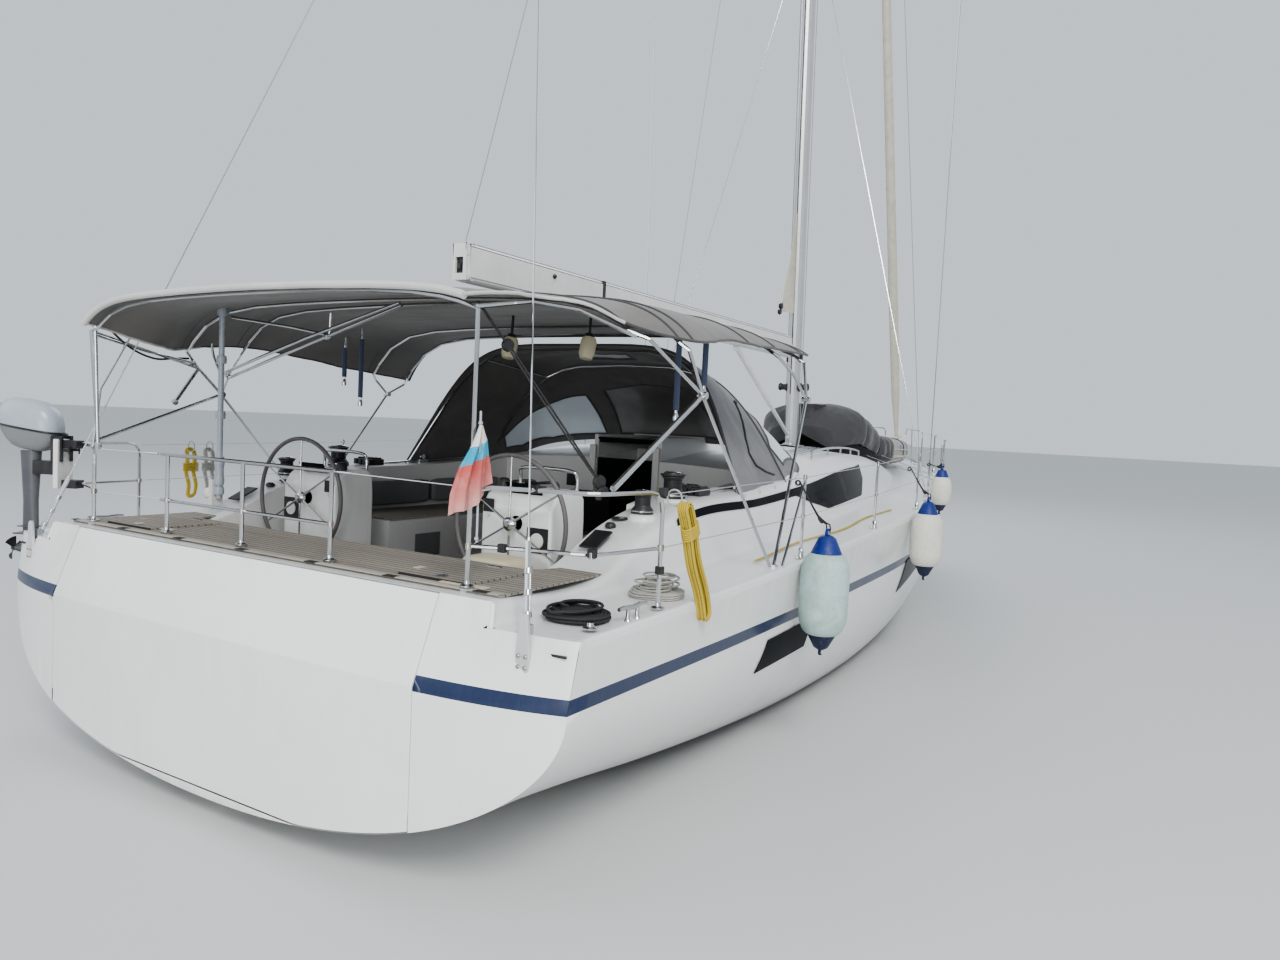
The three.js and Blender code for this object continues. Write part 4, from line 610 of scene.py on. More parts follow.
class Skin(Enum):
    """Every finish on the yacht."""

    GELCOAT = Gelcoat()
    DECK = Gelcoat("deck_moulding", (0.77, 0.785, 0.785), (0.50, 0.49, 0.45), 0.3, 0.15)
    LINER = Gelcoat("cockpit_moulding", (0.76, 0.765, 0.75), (0.50, 0.47, 0.40), 0.4)
    HULL = HullPaint()
    TEAK = Teak()
    TEAK_LONG = Teak("teak_lengthways", "y", 0.045)
    TEAK_PALE = Teak("teak_pale", "y", 0.62, (0.50, 0.475, 0.43), (0.36, 0.335, 0.30))
    TEAK_JOINERY = Teak("teak_joinery", "y", 0.22, (0.36, 0.27, 0.19), (0.24, 0.17, 0.115))
    STEEL = Metal()
    STEEL_STAINED = Metal("steel_stained", (0.50, 0.46, 0.42), (0.33, 0.20, 0.12), 0.55, 1.0, 0.26)
    ALUMINIUM = Metal("anodised_spar", (0.66, 0.67, 0.67), (0.42, 0.41, 0.38), 0.25, 0.75, 0.38)
    PLATE = Metal("chainplate_steel", (0.70, 0.71, 0.72), (0.45, 0.40, 0.34), 0.3, 0.55, 0.42)
    SPAR_WHITE = Metal("painted_spar", (0.74, 0.74, 0.73), (0.42, 0.40, 0.35), 0.35, 0.0, 0.36)
    IRON = Metal("bottom_paint", (0.014, 0.020, 0.034), (0.06, 0.07, 0.07), 0.4, 0.0, 0.6)
    BRONZE = Metal("bronze", (0.42, 0.30, 0.13), (0.12, 0.20, 0.15), 0.3, 1.0, 0.38)
    CANVAS = Canvas("canopy_canvas", (0.105, 0.097, 0.088), (0.175, 0.165, 0.152), 0.3, (0.4, 1, 1))
    CANVAS_SIDE = Canvas("hood_canvas_outside", (0.115, 0.115, 0.12), (0.20, 0.20, 0.21), 0.4)
    CANVAS_DARK = Canvas("hood_canvas_inside", (0.062, 0.058, 0.055), (0.115, 0.108, 0.102), 0.35)
    COVER = Canvas("cover_cloth", (0.016, 0.016, 0.018), (0.045, 0.045, 0.05), 0.5)
    PIPING = Canvas("canopy_trim", (0.022, 0.022, 0.024), (0.05, 0.05, 0.052), 0.1)
    TAPE = Canvas("canopy_edge", (0.50, 0.50, 0.49), (0.60, 0.60, 0.58), 0.1)
    BLACK = Plastic()
    GREY = Plastic("grey_plastic", (0.20, 0.21, 0.22), 0.45, 0.2, (0.34, 0.34, 0.33))
    WHITE = Plastic("white_plastic", (0.70, 0.70, 0.68), 0.35, 0.2, (0.48, 0.46, 0.41))
    CREAM = Plastic("cream_vinyl", (0.60, 0.55, 0.40), 0.5, 0.35, (0.46, 0.40, 0.26))
    SILVER = Plastic("silver_paint", (0.38, 0.42, 0.47), 0.28, 0.15, (0.25, 0.26, 0.28))
    LEG = Plastic("leg_paint", (0.085, 0.09, 0.10), 0.32, 0.25, (0.20, 0.20, 0.20))
    WHEEL = Plastic("wheel_leather", (0.12, 0.11, 0.115), 0.5, 0.3, (0.27, 0.25, 0.25))
    SLEEVE = Canvas("strut_sleeve", (0.035, 0.055, 0.12), (0.06, 0.09, 0.17), 0.1)
    SMOKED = Pane(colour=(0.005, 0.006, 0.007), film=0.03, index=1.08)
    # Clear vinyl: its pale blue-white base colour is partly the vinyl's real haze and partly a painted
    # reflection of the bright sky.
    CLEAR = Pane("clear_vinyl", (0.84, 0.93, 1.0), 0.24, 0.3, 0.05)
    HAZE = Pane("hazed_vinyl", (0.14, 0.13, 0.12), 0.3, 0.25)
    SAIL = Vinyl("sailcloth", (0.60, 0.565, 0.47), (0.33, 0.31, 0.25), 0.5, 0.7)
    FENDER = Vinyl("fender_aqua", (0.43, 0.57, 0.55), (0.27, 0.33, 0.25), 0.7)
    FENDER_CREAM = Vinyl("fender_cream", (0.70, 0.69, 0.62), (0.46, 0.43, 0.33), 0.4)
    FENDER_BLUE = Vinyl("fender_end_blue", (0.008, 0.028, 0.20), (0.02, 0.04, 0.14), 0.4)
    FENDER_NAVY = Vinyl("fender_end_navy", (0.010, 0.014, 0.05), (0.03, 0.04, 0.07), 0.3)
    TENDER = Vinyl("tender_tube", (0.36, 0.37, 0.37), (0.22, 0.22, 0.2), 0.3)
    FLAG = Bunting()
    ROPE_WHITE = Rope()
    ROPE_YELLOW = Rope("yellow_rope", (0.63, 0.47, 0.045), (0.46, 0.36, 0.10))
    ROPE_BLACK = Rope("black_rope", (0.018, 0.018, 0.02), (0.05, 0.05, 0.052))
    ROPE_GREY = Rope("grey_rope", (0.40, 0.42, 0.45), (0.2, 0.2, 0.22))

    def material(self) -> bpy.types.Material:
        """The finish's material, made at its first use.

        Returns:
            The material.
        """
        label = f"{self.value.name}_finish"
        made = bpy.data.materials.get(label) or self.value.make()
        made.name = label
        return made


# Shapes
def vec(point: Point) -> Vector:
    """A point as a vector."""
    return Vector(point)


def smooth_path(points: Sequence[Point], step: float = 0.05) -> list[Vector]:
    """A rounded way through points.

    Args:
        points: The points it passes through.
        step: About the distance between the points that are returned.

    Returns:
        Points along the way.
    """
    known = [vec(p) for p in points]
    if len(known) < 3:
        return known
    ends = [2 * known[0] - known[1], *known, 2 * known[-1] - known[-2]]
    way: list[Vector] = []
    for a, b, c, d in zip(ends, ends[1:], ends[2:], ends[3:]):
        count = max(2, round((c - b).length / step))
        for i in range(count):
            t = i / count
            square = (2 * a - 5 * b + 4 * c - d) * t * t
            cube = (3 * b - a - 3 * c + d) * t**3
            way.append(0.5 * (2 * b + (c - a) * t + square + cube))
    return [*way, known[-1]]


def arc(
    centre: Point, radius: float, start: float, stop: float, steps: int, plane: str = "xy"
) -> list[Vector]:
    """Points on a circle.

    Args:
        centre: The circle's centre.
        radius: Its radius.
        start: First angle, in degrees.
        stop: Last angle, in degrees.
        steps: How many stretches.
        plane: The two axes it lies in.

    Returns:
        The points.
    """
    first, second = ("xyz".index(letter) for letter in plane)
    points = []
    for i in range(steps + 1):
        angle = math.radians(start + (stop - start) * i / steps)
        point = vec(centre)
        point[first] += radius * math.cos(angle)
        point[second] += radius * math.sin(angle)
        points.append(point)
    return points


def facing(direction: Point, up: Point = (0, 0, 1)) -> Matrix:
    """A turn that takes Z to a direction.

    Args:
        direction: Where Z goes.
        up: Roughly where Y goes.

    Returns:
        The 3 by 3 matrix.
    """
    z = vec(direction).normalized()
    hint = vec(up)
    if abs(z.dot(hint.normalized())) > 0.98:
        hint = Vector((1, 0, 0))
    x = hint.cross(z).normalized()
    return Matrix((x, z.cross(x), z)).transposed()


def disc(radius: float, half: float) -> list[tuple[float, float]]:
    """Profile of a flat disc with its origin in the middle."""
    return [(0, -half), (radius, -half), (radius, half), (0, half)]


def stub(radius: float, height: float) -> list[tuple[float, float]]:
    """Profile of a flat disc that stands on its origin."""
    return [(0, 0), (radius, 0), (radius, height), (0, height)]


def sheave(rim: float, waist: float, half: float) -> list[tuple[float, float]]:
    """Profile of a wheel for rope, or of a block where its waist is the wider."""
    return [(0, -half), (rim, -half), (waist, 0), (rim, half), (0, half)]


@dataclass
class Piece:
    """One named piece, gathered from simple parts and finished as one object."""

    name: str
    skin: Skin
    body: str = BOAT

    def __post_init__(self) -> None:
        """Start with nothing."""
        self.points: list[Vector] = []
        self.faces: list[tuple[int, ...]] = []

    def put(self, points: Iterable[Point], faces: Iterable[Sequence[int]]) -> "Piece":
        """Add ready points and faces.

        Args:
            points: The points.
            faces: Faces, counting from the first of these points.

        Returns:
            This piece.
        """
        first = len(self.points)
        self.points.extend(vec(p) for p in points)
        self.faces.extend(tuple(first + i for i in face) for face in faces)
        return self

    def box(self, low: Point, high: Point, turn: Matrix | None = None, at: Point = (0, 0, 0)) -> "Piece":
        """Add a box.

        Args:
            low: One corner.
            high: The other corner.
            turn: A turn for it, about its own origin.
            at: Where its origin goes.

        Returns:
            This piece.
        """
        corners = [(x, y, z) for z in (low[2], high[2]) for y in (low[1], high[1]) for x in (low[0], high[0])]
        if turn:
            corners = [turn @ vec(c) for c in corners]
        moved = [vec(c) + vec(at) for c in corners]
        return self.put(
            moved, [(0, 2, 3, 1), (4, 5, 7, 6), (0, 1, 5, 4), (1, 3, 7, 5), (3, 2, 6, 7), (2, 0, 4, 6)]
        )

    def rings(self, rings: Sequence[Sequence[Point]], caps: bool = True, around: bool = True) -> "Piece":
        """Add a skin over rings of points.

        Args:
            rings: The rings, all with one count of points.
            caps: Whether the first and last ring are closed.
            around: Whether each ring's end joins its start.

        Returns:
            This piece.
        """
        count = len(rings[0])
        last = count if around else count - 1
        faces: list[tuple[int, ...]] = []
        for i in range(len(rings) - 1):
            for j in range(last):
                k = (j + 1) % count
                faces.append((i * count + j, i * count + k, (i + 1) * count + k, (i + 1) * count + j))
        if caps:
            faces.append(tuple(range(count))[::-1])
            faces.append(tuple((len(rings) - 1) * count + j for j in range(count)))
        return self.put([p for ring in rings for p in ring], faces)

    def tube(self, points: Sequence[Point], radius: float | Sequence[float], sides: int = 10) -> "Piece":
        """Add a round tube along points.

        Args:
            points: Its centre line.
            radius: One radius, or one for each point.
            sides: Sides of its section.

        Returns:
            This piece.
        """
        way = [vec(p) for p in points]
        radii = [radius] * len(way) if isinstance(radius, (int, float)) else radius
        ahead = (way[1] - way[0]).normalized()
        side = facing(ahead) @ Vector((1, 0, 0))
        rings = []
        for i, point in enumerate(way):
            before, after = way[max(i - 1, 0)], way[min(i + 1, len(way) - 1)]
            ahead = (after - before).normalized()
            side = (side - side.dot(ahead) * ahead).normalized()
            other = ahead.cross(side)
            angles = [math.tau * k / sides for k in range(sides)]
            rings.append([point + radii[i] * (math.cos(a) * side + math.sin(a) * other) for a in angles])
        return self.rings(rings)

    def turned(
        self, profile: Sequence[tuple[float, float]], at: Point, along: Point = (0, 0, 1), steps: int = 28
    ) -> "Piece":
        """Add a turned form.

        Args:
            profile: Radius and height of each ring.
            at: Its origin.
            along: Its axis.
            steps: Sides of its section.

        Returns:
            This piece.
        """
        turn, origin = facing(along), vec(at)
        rings = []
        for radius, height in profile:
            angles = [math.tau * k / steps for k in range(steps)]
            ring = [Vector((radius * math.cos(a), radius * math.sin(a), height)) for a in angles]
            rings.append([origin + turn @ p for p in ring])
        return self.rings(rings)

    def plate(self, outline: Sequence[tuple[float, float]], axis: str, low: float, high: float) -> "Piece":
        """Add an even plate.

        Args:
            outline: Its outline on the other two axes, in order.
            axis: The axis across the plate.
            low: One face's place on it.
            high: The other face's place.

        Returns:
            This piece.
        """
        across = "xyz".index(axis)
        rings = []
        for level in (low, high):
            ring = []
            for first, second in outline:
                point = [first, second]
                point.insert(across, level)
                ring.append(point)
            rings.append(ring)
        return self.rings(rings)

    def cloth(self, rows: Sequence[Sequence[Point]], thick: float = 0.0) -> "Piece":
        """Add an open sheet, or a thin closed one.

        Args:
            rows: Its grid of points.
            thick: How far its second face lies below the first.

        Returns:
            This piece.
        """
        if not thick:
            return self.rings(rows, caps=False, around=False)
        grid = np.array([[tuple(p) for p in row] for row in rows], float)
        along, across = np.gradient(grid, axis=0), np.gradient(grid, axis=1)
        normal = np.cross(along, across)
        normal /= np.maximum(np.linalg.norm(normal, axis=2, keepdims=True), 1e-9)
        under = grid - thick * normal
        loops = [np.concatenate([grid[i], under[i][::-1]]) for i in range(len(grid))]
        return self.rings([[tuple(p) for p in loop] for loop in loops])

    def done(self, bevel: float = 0.0, crease: float = 35.0, segments: int = 2) -> bpy.types.Object:
        """Make the object and let it ride on its body.

        Args:
            bevel: Width of rounded edges, or 0.
            crease: Edges that turn by more than this many degrees stay sharp.
            segments: Steps of the rounding.

        Returns:
            The object.
        """
        mesh = bpy.data.meshes.new(self.name)
        mesh.from_pydata([tuple(p) for p in self.points], [], self.faces)
        tidy = bmesh.new()
        tidy.from_mesh(mesh)
        bmesh.ops.remove_doubles(tidy, verts=tidy.verts, dist=1e-6)
        bmesh.ops.recalc_face_normals(tidy, faces=tidy.faces)
        tidy.to_mesh(mesh)
        tidy.free()
        mesh.shade_smooth()
        mesh.set_sharp_from_angle(angle=math.radians(crease))
        mesh.materials.append(self.skin.material())
        obj = bpy.data.objects.new(self.name, mesh)
        bpy.context.scene.collection.objects.link(obj)
        if bevel:
            soften = obj.modifiers.new("rounded edges", "BEVEL")
            soften.width = bevel
            soften.segments = segments
            soften.limit_method = "ANGLE"
            soften.angle_limit = math.radians(crease)
            soften.harden_normals = True
        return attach(obj, self.body)


# Hull and deck form
class Table:
    """Values at places along the boat, with smooth curves between them."""

    def __init__(self, *rows: tuple[float, ...]) -> None:
        """Keep the rows.

        Args:
            rows: A place along X and the values there, in millimetres.
        """
        self.rows = np.array(rows, float) / 1000.0
        self.at = self.rows[:, 0]
        self.slopes = np.gradient(self.rows, self.at, axis=0)

    def __call__(self, x: float) -> np.ndarray:
        """Values at a place.

        Args:
            x: The place.

        Returns:
            The row's values there, without the place.
        """
        x = min(max(x, self.at[0]), self.at[-1])
        i = min(int(np.searchsorted(self.at, x, "right")) - 1, len(self.at) - 2)
        span = self.at[i + 1] - self.at[i]
        t = (x - self.at[i]) / span
        a, b = self.rows[i], self.rows[i + 1]
        ta, tb = self.slopes[i] * span, self.slopes[i + 1] * span
        curve = (
            (2 * t**3 - 3 * t**2 + 1) * a + (t**3 - 2 * t**2 + t) * ta
            + (3 * t**2 - 2 * t**3) * b + (t**3 - t**2) * tb
        )
        return curve[1:]


# Half width and height of the deck edge, half width and height of the topside's low corner, keel height
HULL_LINES = Table(
    (0, 2460, 1345, 2440, 1060, 125), (700, 2480, 1362, 2450, 1070, 20),
    (1600, 2492, 1388, 2460, 1082, -135), (2900, 2495, 1430, 2450, 1105, -320),
    (4400, 2470, 1480, 2415, 1145, -490), (5900, 2425, 1532, 2355, 1195, -585),
    (7400, 2330, 1590, 2235, 1255, -600), (8800, 2170, 1645, 2040, 1320, -570),
    (10200, 1900, 1705, 1730, 1395, -480), (11500, 1520, 1762, 1320, 1470, -350),
    (12700, 1040, 1815, 850, 1545, -190), (13700, 560, 1862, 420, 1610, -40),
    (14250, 255, 1890, 170, 1650, 190), (14550, 45, 1910, 30, 1680, 1150),
)
# How full the bilge is, times a thousand
BILGE = Table(
    (0, 2100), (1600, 2200), (4400, 2300), (7400, 2250), (8800, 2150), (10200, 2000), (11500, 1800),
    (12700, 1550), (13700, 1350), (14250, 1200), (14550, 1100),
)
# Half width and height of the side deck's inner edge, of the coaming's top and of the roof's edge,
# and the height of the middle
DECK_LINES = Table(
    (0, 1990, 1392, 1970, 1508, 1700, 1508, 1508), (1000, 1990, 1408, 1965, 1508, 1700, 1508, 1508),
    (1550, 1985, 1425, 1940, 1700, 1800, 1730, 1730), (2050, 1975, 1440, 1915, 1805, 1790, 1840, 1840),
    (3400, 1950, 1490, 1870, 1850, 1740, 1900, 1920), (4600, 1900, 1535, 1790, 1915, 1640, 1990, 2060),
    (6000, 1810, 1585, 1670, 2030, 1480, 2110, 2190), (7300, 1650, 1640, 1500, 2050, 1300, 2130, 2200),
    (8800, 1400, 1700, 1250, 2010, 1050, 2080, 2130), (10200, 1080, 1762, 950, 1920, 800, 1975, 2010),
    (11300, 760, 1812, 660, 1850, 560, 1872, 1888), (12700, 420, 1862, 360, 1868, 280, 1874, 1880),
    (13700, 260, 1900, 210, 1904, 160, 1908, 1910), (14250, 110, 1924, 90, 1926, 60, 1928, 1930),
    (14500, 34, 1938, 26, 1939, 16, 1940, 1940),
)
TOE_HEIGHT, TOE_WIDTH = 0.048, 0.045
KNUCKLE_X, KNUCKLE_Z, KNUCKLE_CURVE, KNUCKLE_HALF = -0.190, 1.070, 0.170, 2.400


def transom_x(y: float, z: float) -> float:
    """Where the transom's face is.

    Args:
        y: Place across.
        z: Height.

    Returns:
        The face's X.
    """
    out = min(abs(y) / KNUCKLE_HALF, 1.03) ** 5
    slope = 0.42 - 0.29 * min(out, 1.0)
    return KNUCKLE_X + KNUCKLE_CURVE * out + slope * max(z - KNUCKLE_Z, 0.0)


def hull_half(x: float, steps: int = 26) -> list[Vector]:
    """Half a hull section, from the deck edge to the keel line, port side.

    Args:
        x: Place along the boat.
        steps: Stretches of the bilge curve.

    Returns:
        The section's points.
    """
    edge_y, edge_z, chine_y, chine_z, keel_z = HULL_LINES(x)
    full = BILGE(x)[0]
    points = [
        Vector((x, edge_y + (chine_y - edge_y) * t, edge_z + (chine_z - edge_z) * t))
        for t in (0, 0.25, 0.5, 0.75)
    ]
    for i in range(steps + 1):
        angle = math.pi / 2 * i / steps
        y = chine_y * max(math.cos(angle), 0.0) ** (2 / full)
        points.append(Vector((x, y, chine_z - (chine_z - keel_z) * math.sin(angle) ** (2 / full))))
    return points


def hull_low(y: float) -> float:
    """Height of the hull's outline at the transom.

    Args:
        y: Place across.

    Returns:
        The outline's height there.
    """
    _, _, chine_y, chine_z, keel_z = HULL_LINES(0)
    full = BILGE(0)[0]
    across = min(abs(y) / chine_y, 1.0)
    return chine_z - (chine_z - keel_z) * (1 - across**full) ** (1 / full)


def rounded_line(corners: Sequence[tuple[float, float, float]], steps: int = 4) -> list[tuple[float, float]]:
    """A line whose corners are rounded.

    Args:
        corners: Two coordinates and a radius for each corner.
        steps: Stretches of each rounding.

    Returns:
        Always the same count of points for the same count of corners.
    """
    line = [corners[0][:2]]
    for before, corner, after in zip(corners, corners[1:], corners[2:]):
        middle = Vector(corner[:2])
        back, onward = Vector(before[:2]) - middle, Vector(after[:2]) - middle
        reach = min(corner[2], 0.45 * back.length, 0.45 * onward.length)
        start = middle + (back.normalized() * reach if back.length else back)
        stop = middle + (onward.normalized() * reach if onward.length else onward)
        for i in range(steps + 1):
            t = i / steps
            spot = start * (1 - t) ** 2 + 2 * middle * t * (1 - t) + stop * t * t
            line.append((spot.x, spot.y))
    return [*line, corners[-1][:2]]


@dataclass(frozen=True)
class Bay:
    """A stretch of deck with one inner edge."""

    start: float
    stop: float
    inner: float = 0.0
    drop: tuple[tuple[float, float, float], ...] = ()
    rows: int = 12


SOLE_Z, BENCH_Z, BENCH_EDGE = 1.050, 1.490, 0.790
WELL_AFT, BENCH_START, WELL_FORE, WAY_FORE = 0.850, 2.000, 4.350, 5.150
HELM_HALF, BENCH_HALF, WAY_HALF, WAY_FLOOR = 1.560, 1.480, 0.330, 0.700


class Deck:
    """Deck moulding with its cockpit."""

    bays = (
        Bay(0.0, WELL_AFT, rows=12),
        Bay(WELL_AFT, BENCH_START, HELM_HALF, ((HELM_HALF, SOLE_Z, 0.03), (0, SOLE_Z, 0)), 16),
        Bay(
            BENCH_START, WELL_FORE, BENCH_HALF,
            (
                (BENCH_HALF, BENCH_Z, 0.04), (BENCH_EDGE, BENCH_Z, 0.03), (BENCH_EDGE, SOLE_Z, 0.03),
                (0, SOLE_Z, 0),
            ),
            18,
        ),
        Bay(WELL_FORE, WAY_FORE, WAY_HALF, ((WAY_HALF, WAY_FLOOR, 0.02), (0, WAY_FLOOR, 0)), 8),
        Bay(WAY_FORE, 14.5, 0.0, (), 70),
    )

    @staticmethod
    def roof(x: float, y: float) -> float:
        """Height of the deck's middle part.

        Args:
            x: Place along.
            y: Place across.

        Returns:
            The height.
        """
        _, _, _, _, roof_y, roof_z, middle = DECK_LINES(x)
        share = min(abs(y) / max(roof_y, 0.01), 1.0)
        return middle + (roof_z - middle) * share**1.5

    def section(self, x: float, bay: Bay) -> list[tuple[float, float]]:
        """Half a section of the deck.

        Args:
            x: Place along.
            bay: The stretch it belongs to.

        Returns:
            Points from the hull's edge inwards.
        """
        edge_y, edge_z = HULL_LINES(x)[:2]
        side_y, side_z, wall_y, wall_z, roof_y, roof_z, _ = DECK_LINES(x)
        toe, inside = min(TOE_WIDTH, 0.2 * edge_y), min(TOE_WIDTH + 0.012, 0.24 * edge_y)
        level = edge_z + 0.037
        outer = [
            (edge_y, edge_z, 0), (edge_y - 0.003, edge_z + TOE_HEIGHT, 0.014),
            (edge_y - toe, edge_z + TOE_HEIGHT, 0.014), (edge_y - inside, level, 0.012),
            (side_y, max(side_z, level), 0.05), (wall_y, wall_z + 0.002, 0.06),
            (roof_y, roof_z + 0.004, 0.06),
            (roof_y - 0.05 * roof_y, self.roof(x, 0.95 * roof_y) + 0.004, 0),
        ]
        line = rounded_line(outer)
        stop = bay.inner + (0.03 if bay.inner else 0)
        start = 0.95 * roof_y
        for i in range(1, 9):
            y = start + (stop - start) * i / 8
            line.append((y, self.roof(x, y) + 0.004))
        if bay.drop:
            lip = self.roof(x, bay.inner) + 0.004
            line += rounded_line([(stop, lip, 0), (bay.inner, lip, 0.03), *bay.drop])[1:]
        return line

    def place(self, x: float, y: float, z: float, side: float) -> Vector:
        """A deck point, pulled onto the raked transom near the stern.

        Args:
            x: Place along.
            y: Half width.
            z: Height.
            side: 1 to port, -1 to starboard.

        Returns:
            The point.
        """
        pull = max(0.0, 1 - x / 0.3)
        return Vector((x + transom_x(y, z) * pull, side * y, z))

    def build(self) -> None:
        """Make the deck, its end walls and the hull's inner lining."""
        deck = Piece("deck_moulding", Skin.DECK)
        liner = Piece("cockpit_lining", Skin.LINER)
        for bay in self.bays:
            places = [bay.start + (bay.stop - bay.start) * i / bay.rows for i in range(bay.rows + 1)]
            sections = [self.section(x, bay) for x in places]
            top = len(self.section(bay.start, Bay(0, 1, bay.inner)))
            for side in SIDES.values():
                rows = [
                    [self.place(x, y, z, side) for y, z in line[:top]] for x, line in zip(places, sections)
                ]
                deck.cloth(rows)
                if bay.drop:
                    rows = [
                        [self.place(x, y, z, side) for y, z in line[top - 1:]]
                        for x, line in zip(places, sections)
                    ]
                    liner.cloth(rows)
        for side in SIDES.values():
            self.end_walls(liner, side)
        deck.put(
            [(14.5, 0.03, 1.91), (14.5, -0.03, 1.91), (14.5, -0.03, 1.96), (14.5, 0.03, 1.96)],
            [(0, 1, 2, 3)],
        )
        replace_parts(deck.done(crease=50), "deck")
        liner.done(crease=40)

    def end_walls(self, liner: Piece, side: float) -> None:
        """Close the well's ends with walls across the boat.

        Args:
            liner: The piece they belong to.
            side: 1 to port, -1 to starboard.
        """
        after, bench = self.bays[1], self.bays[2]
        low, high = self.section(BENCH_START, after), self.section(BENCH_START, bench)
        across = [p for p in high if p[0] <= HELM_HALF + 0.02 and p[0] >= BENCH_EDGE - 0.001]
        rim = [(BENCH_START, side * y, z) for y, z in across]
        foot = [(BENCH_START, side * BENCH_EDGE, SOLE_Z), (BENCH_START, side * HELM_HALF, SOLE_Z)]
        tip = [
            (BENCH_START, side * y, z)
            for y, z in low
            if HELM_HALF - 0.001 <= y <= HELM_HALF + 0.02 and z > BENCH_Z
        ]
        ring = rim + foot + tip[::-1]
        liner.put(ring, [tuple(range(len(ring)))])
        aft_top = self.roof(WELL_AFT, 0) + 0.004
        wall = [(HELM_HALF + 0.02, SOLE_Z), (HELM_HALF + 0.02, aft_top), (0, aft_top), (0, SOLE_Z)]
        liner.put([(WELL_AFT, side * y, z) for y, z in wall], [(0, 1, 2, 3)])
        roof = [(y, self.roof(WELL_FORE, y) + 0.004) for y in np.linspace(WAY_HALF, BENCH_HALF + 0.02, 9)]
        bulk = [*roof, (BENCH_HALF, BENCH_Z), (BENCH_EDGE, BENCH_Z), (BENCH_EDGE, SOLE_Z), (WAY_HALF, SOLE_Z)]
        liner.put([(WELL_FORE, side * y, z) for y, z in bulk], [tuple(range(len(bulk)))])
        way = [
            (WAY_HALF, WAY_FLOOR), (WAY_HALF, self.roof(WAY_FORE, 0)), (0, self.roof(WAY_FORE, 0)),
            (0, WAY_FLOOR),
        ]
        liner.put([(WAY_FORE, side * y, z) for y, z in way], [(0, 1, 2, 3)])
        step = [(WAY_HALF, WAY_FLOOR), (WAY_HALF, SOLE_Z), (0, SOLE_Z), (0, WAY_FLOOR)]
        liner.put([(WELL_FORE, side * y, z) for y, z in step], [(0, 1, 2, 3)])


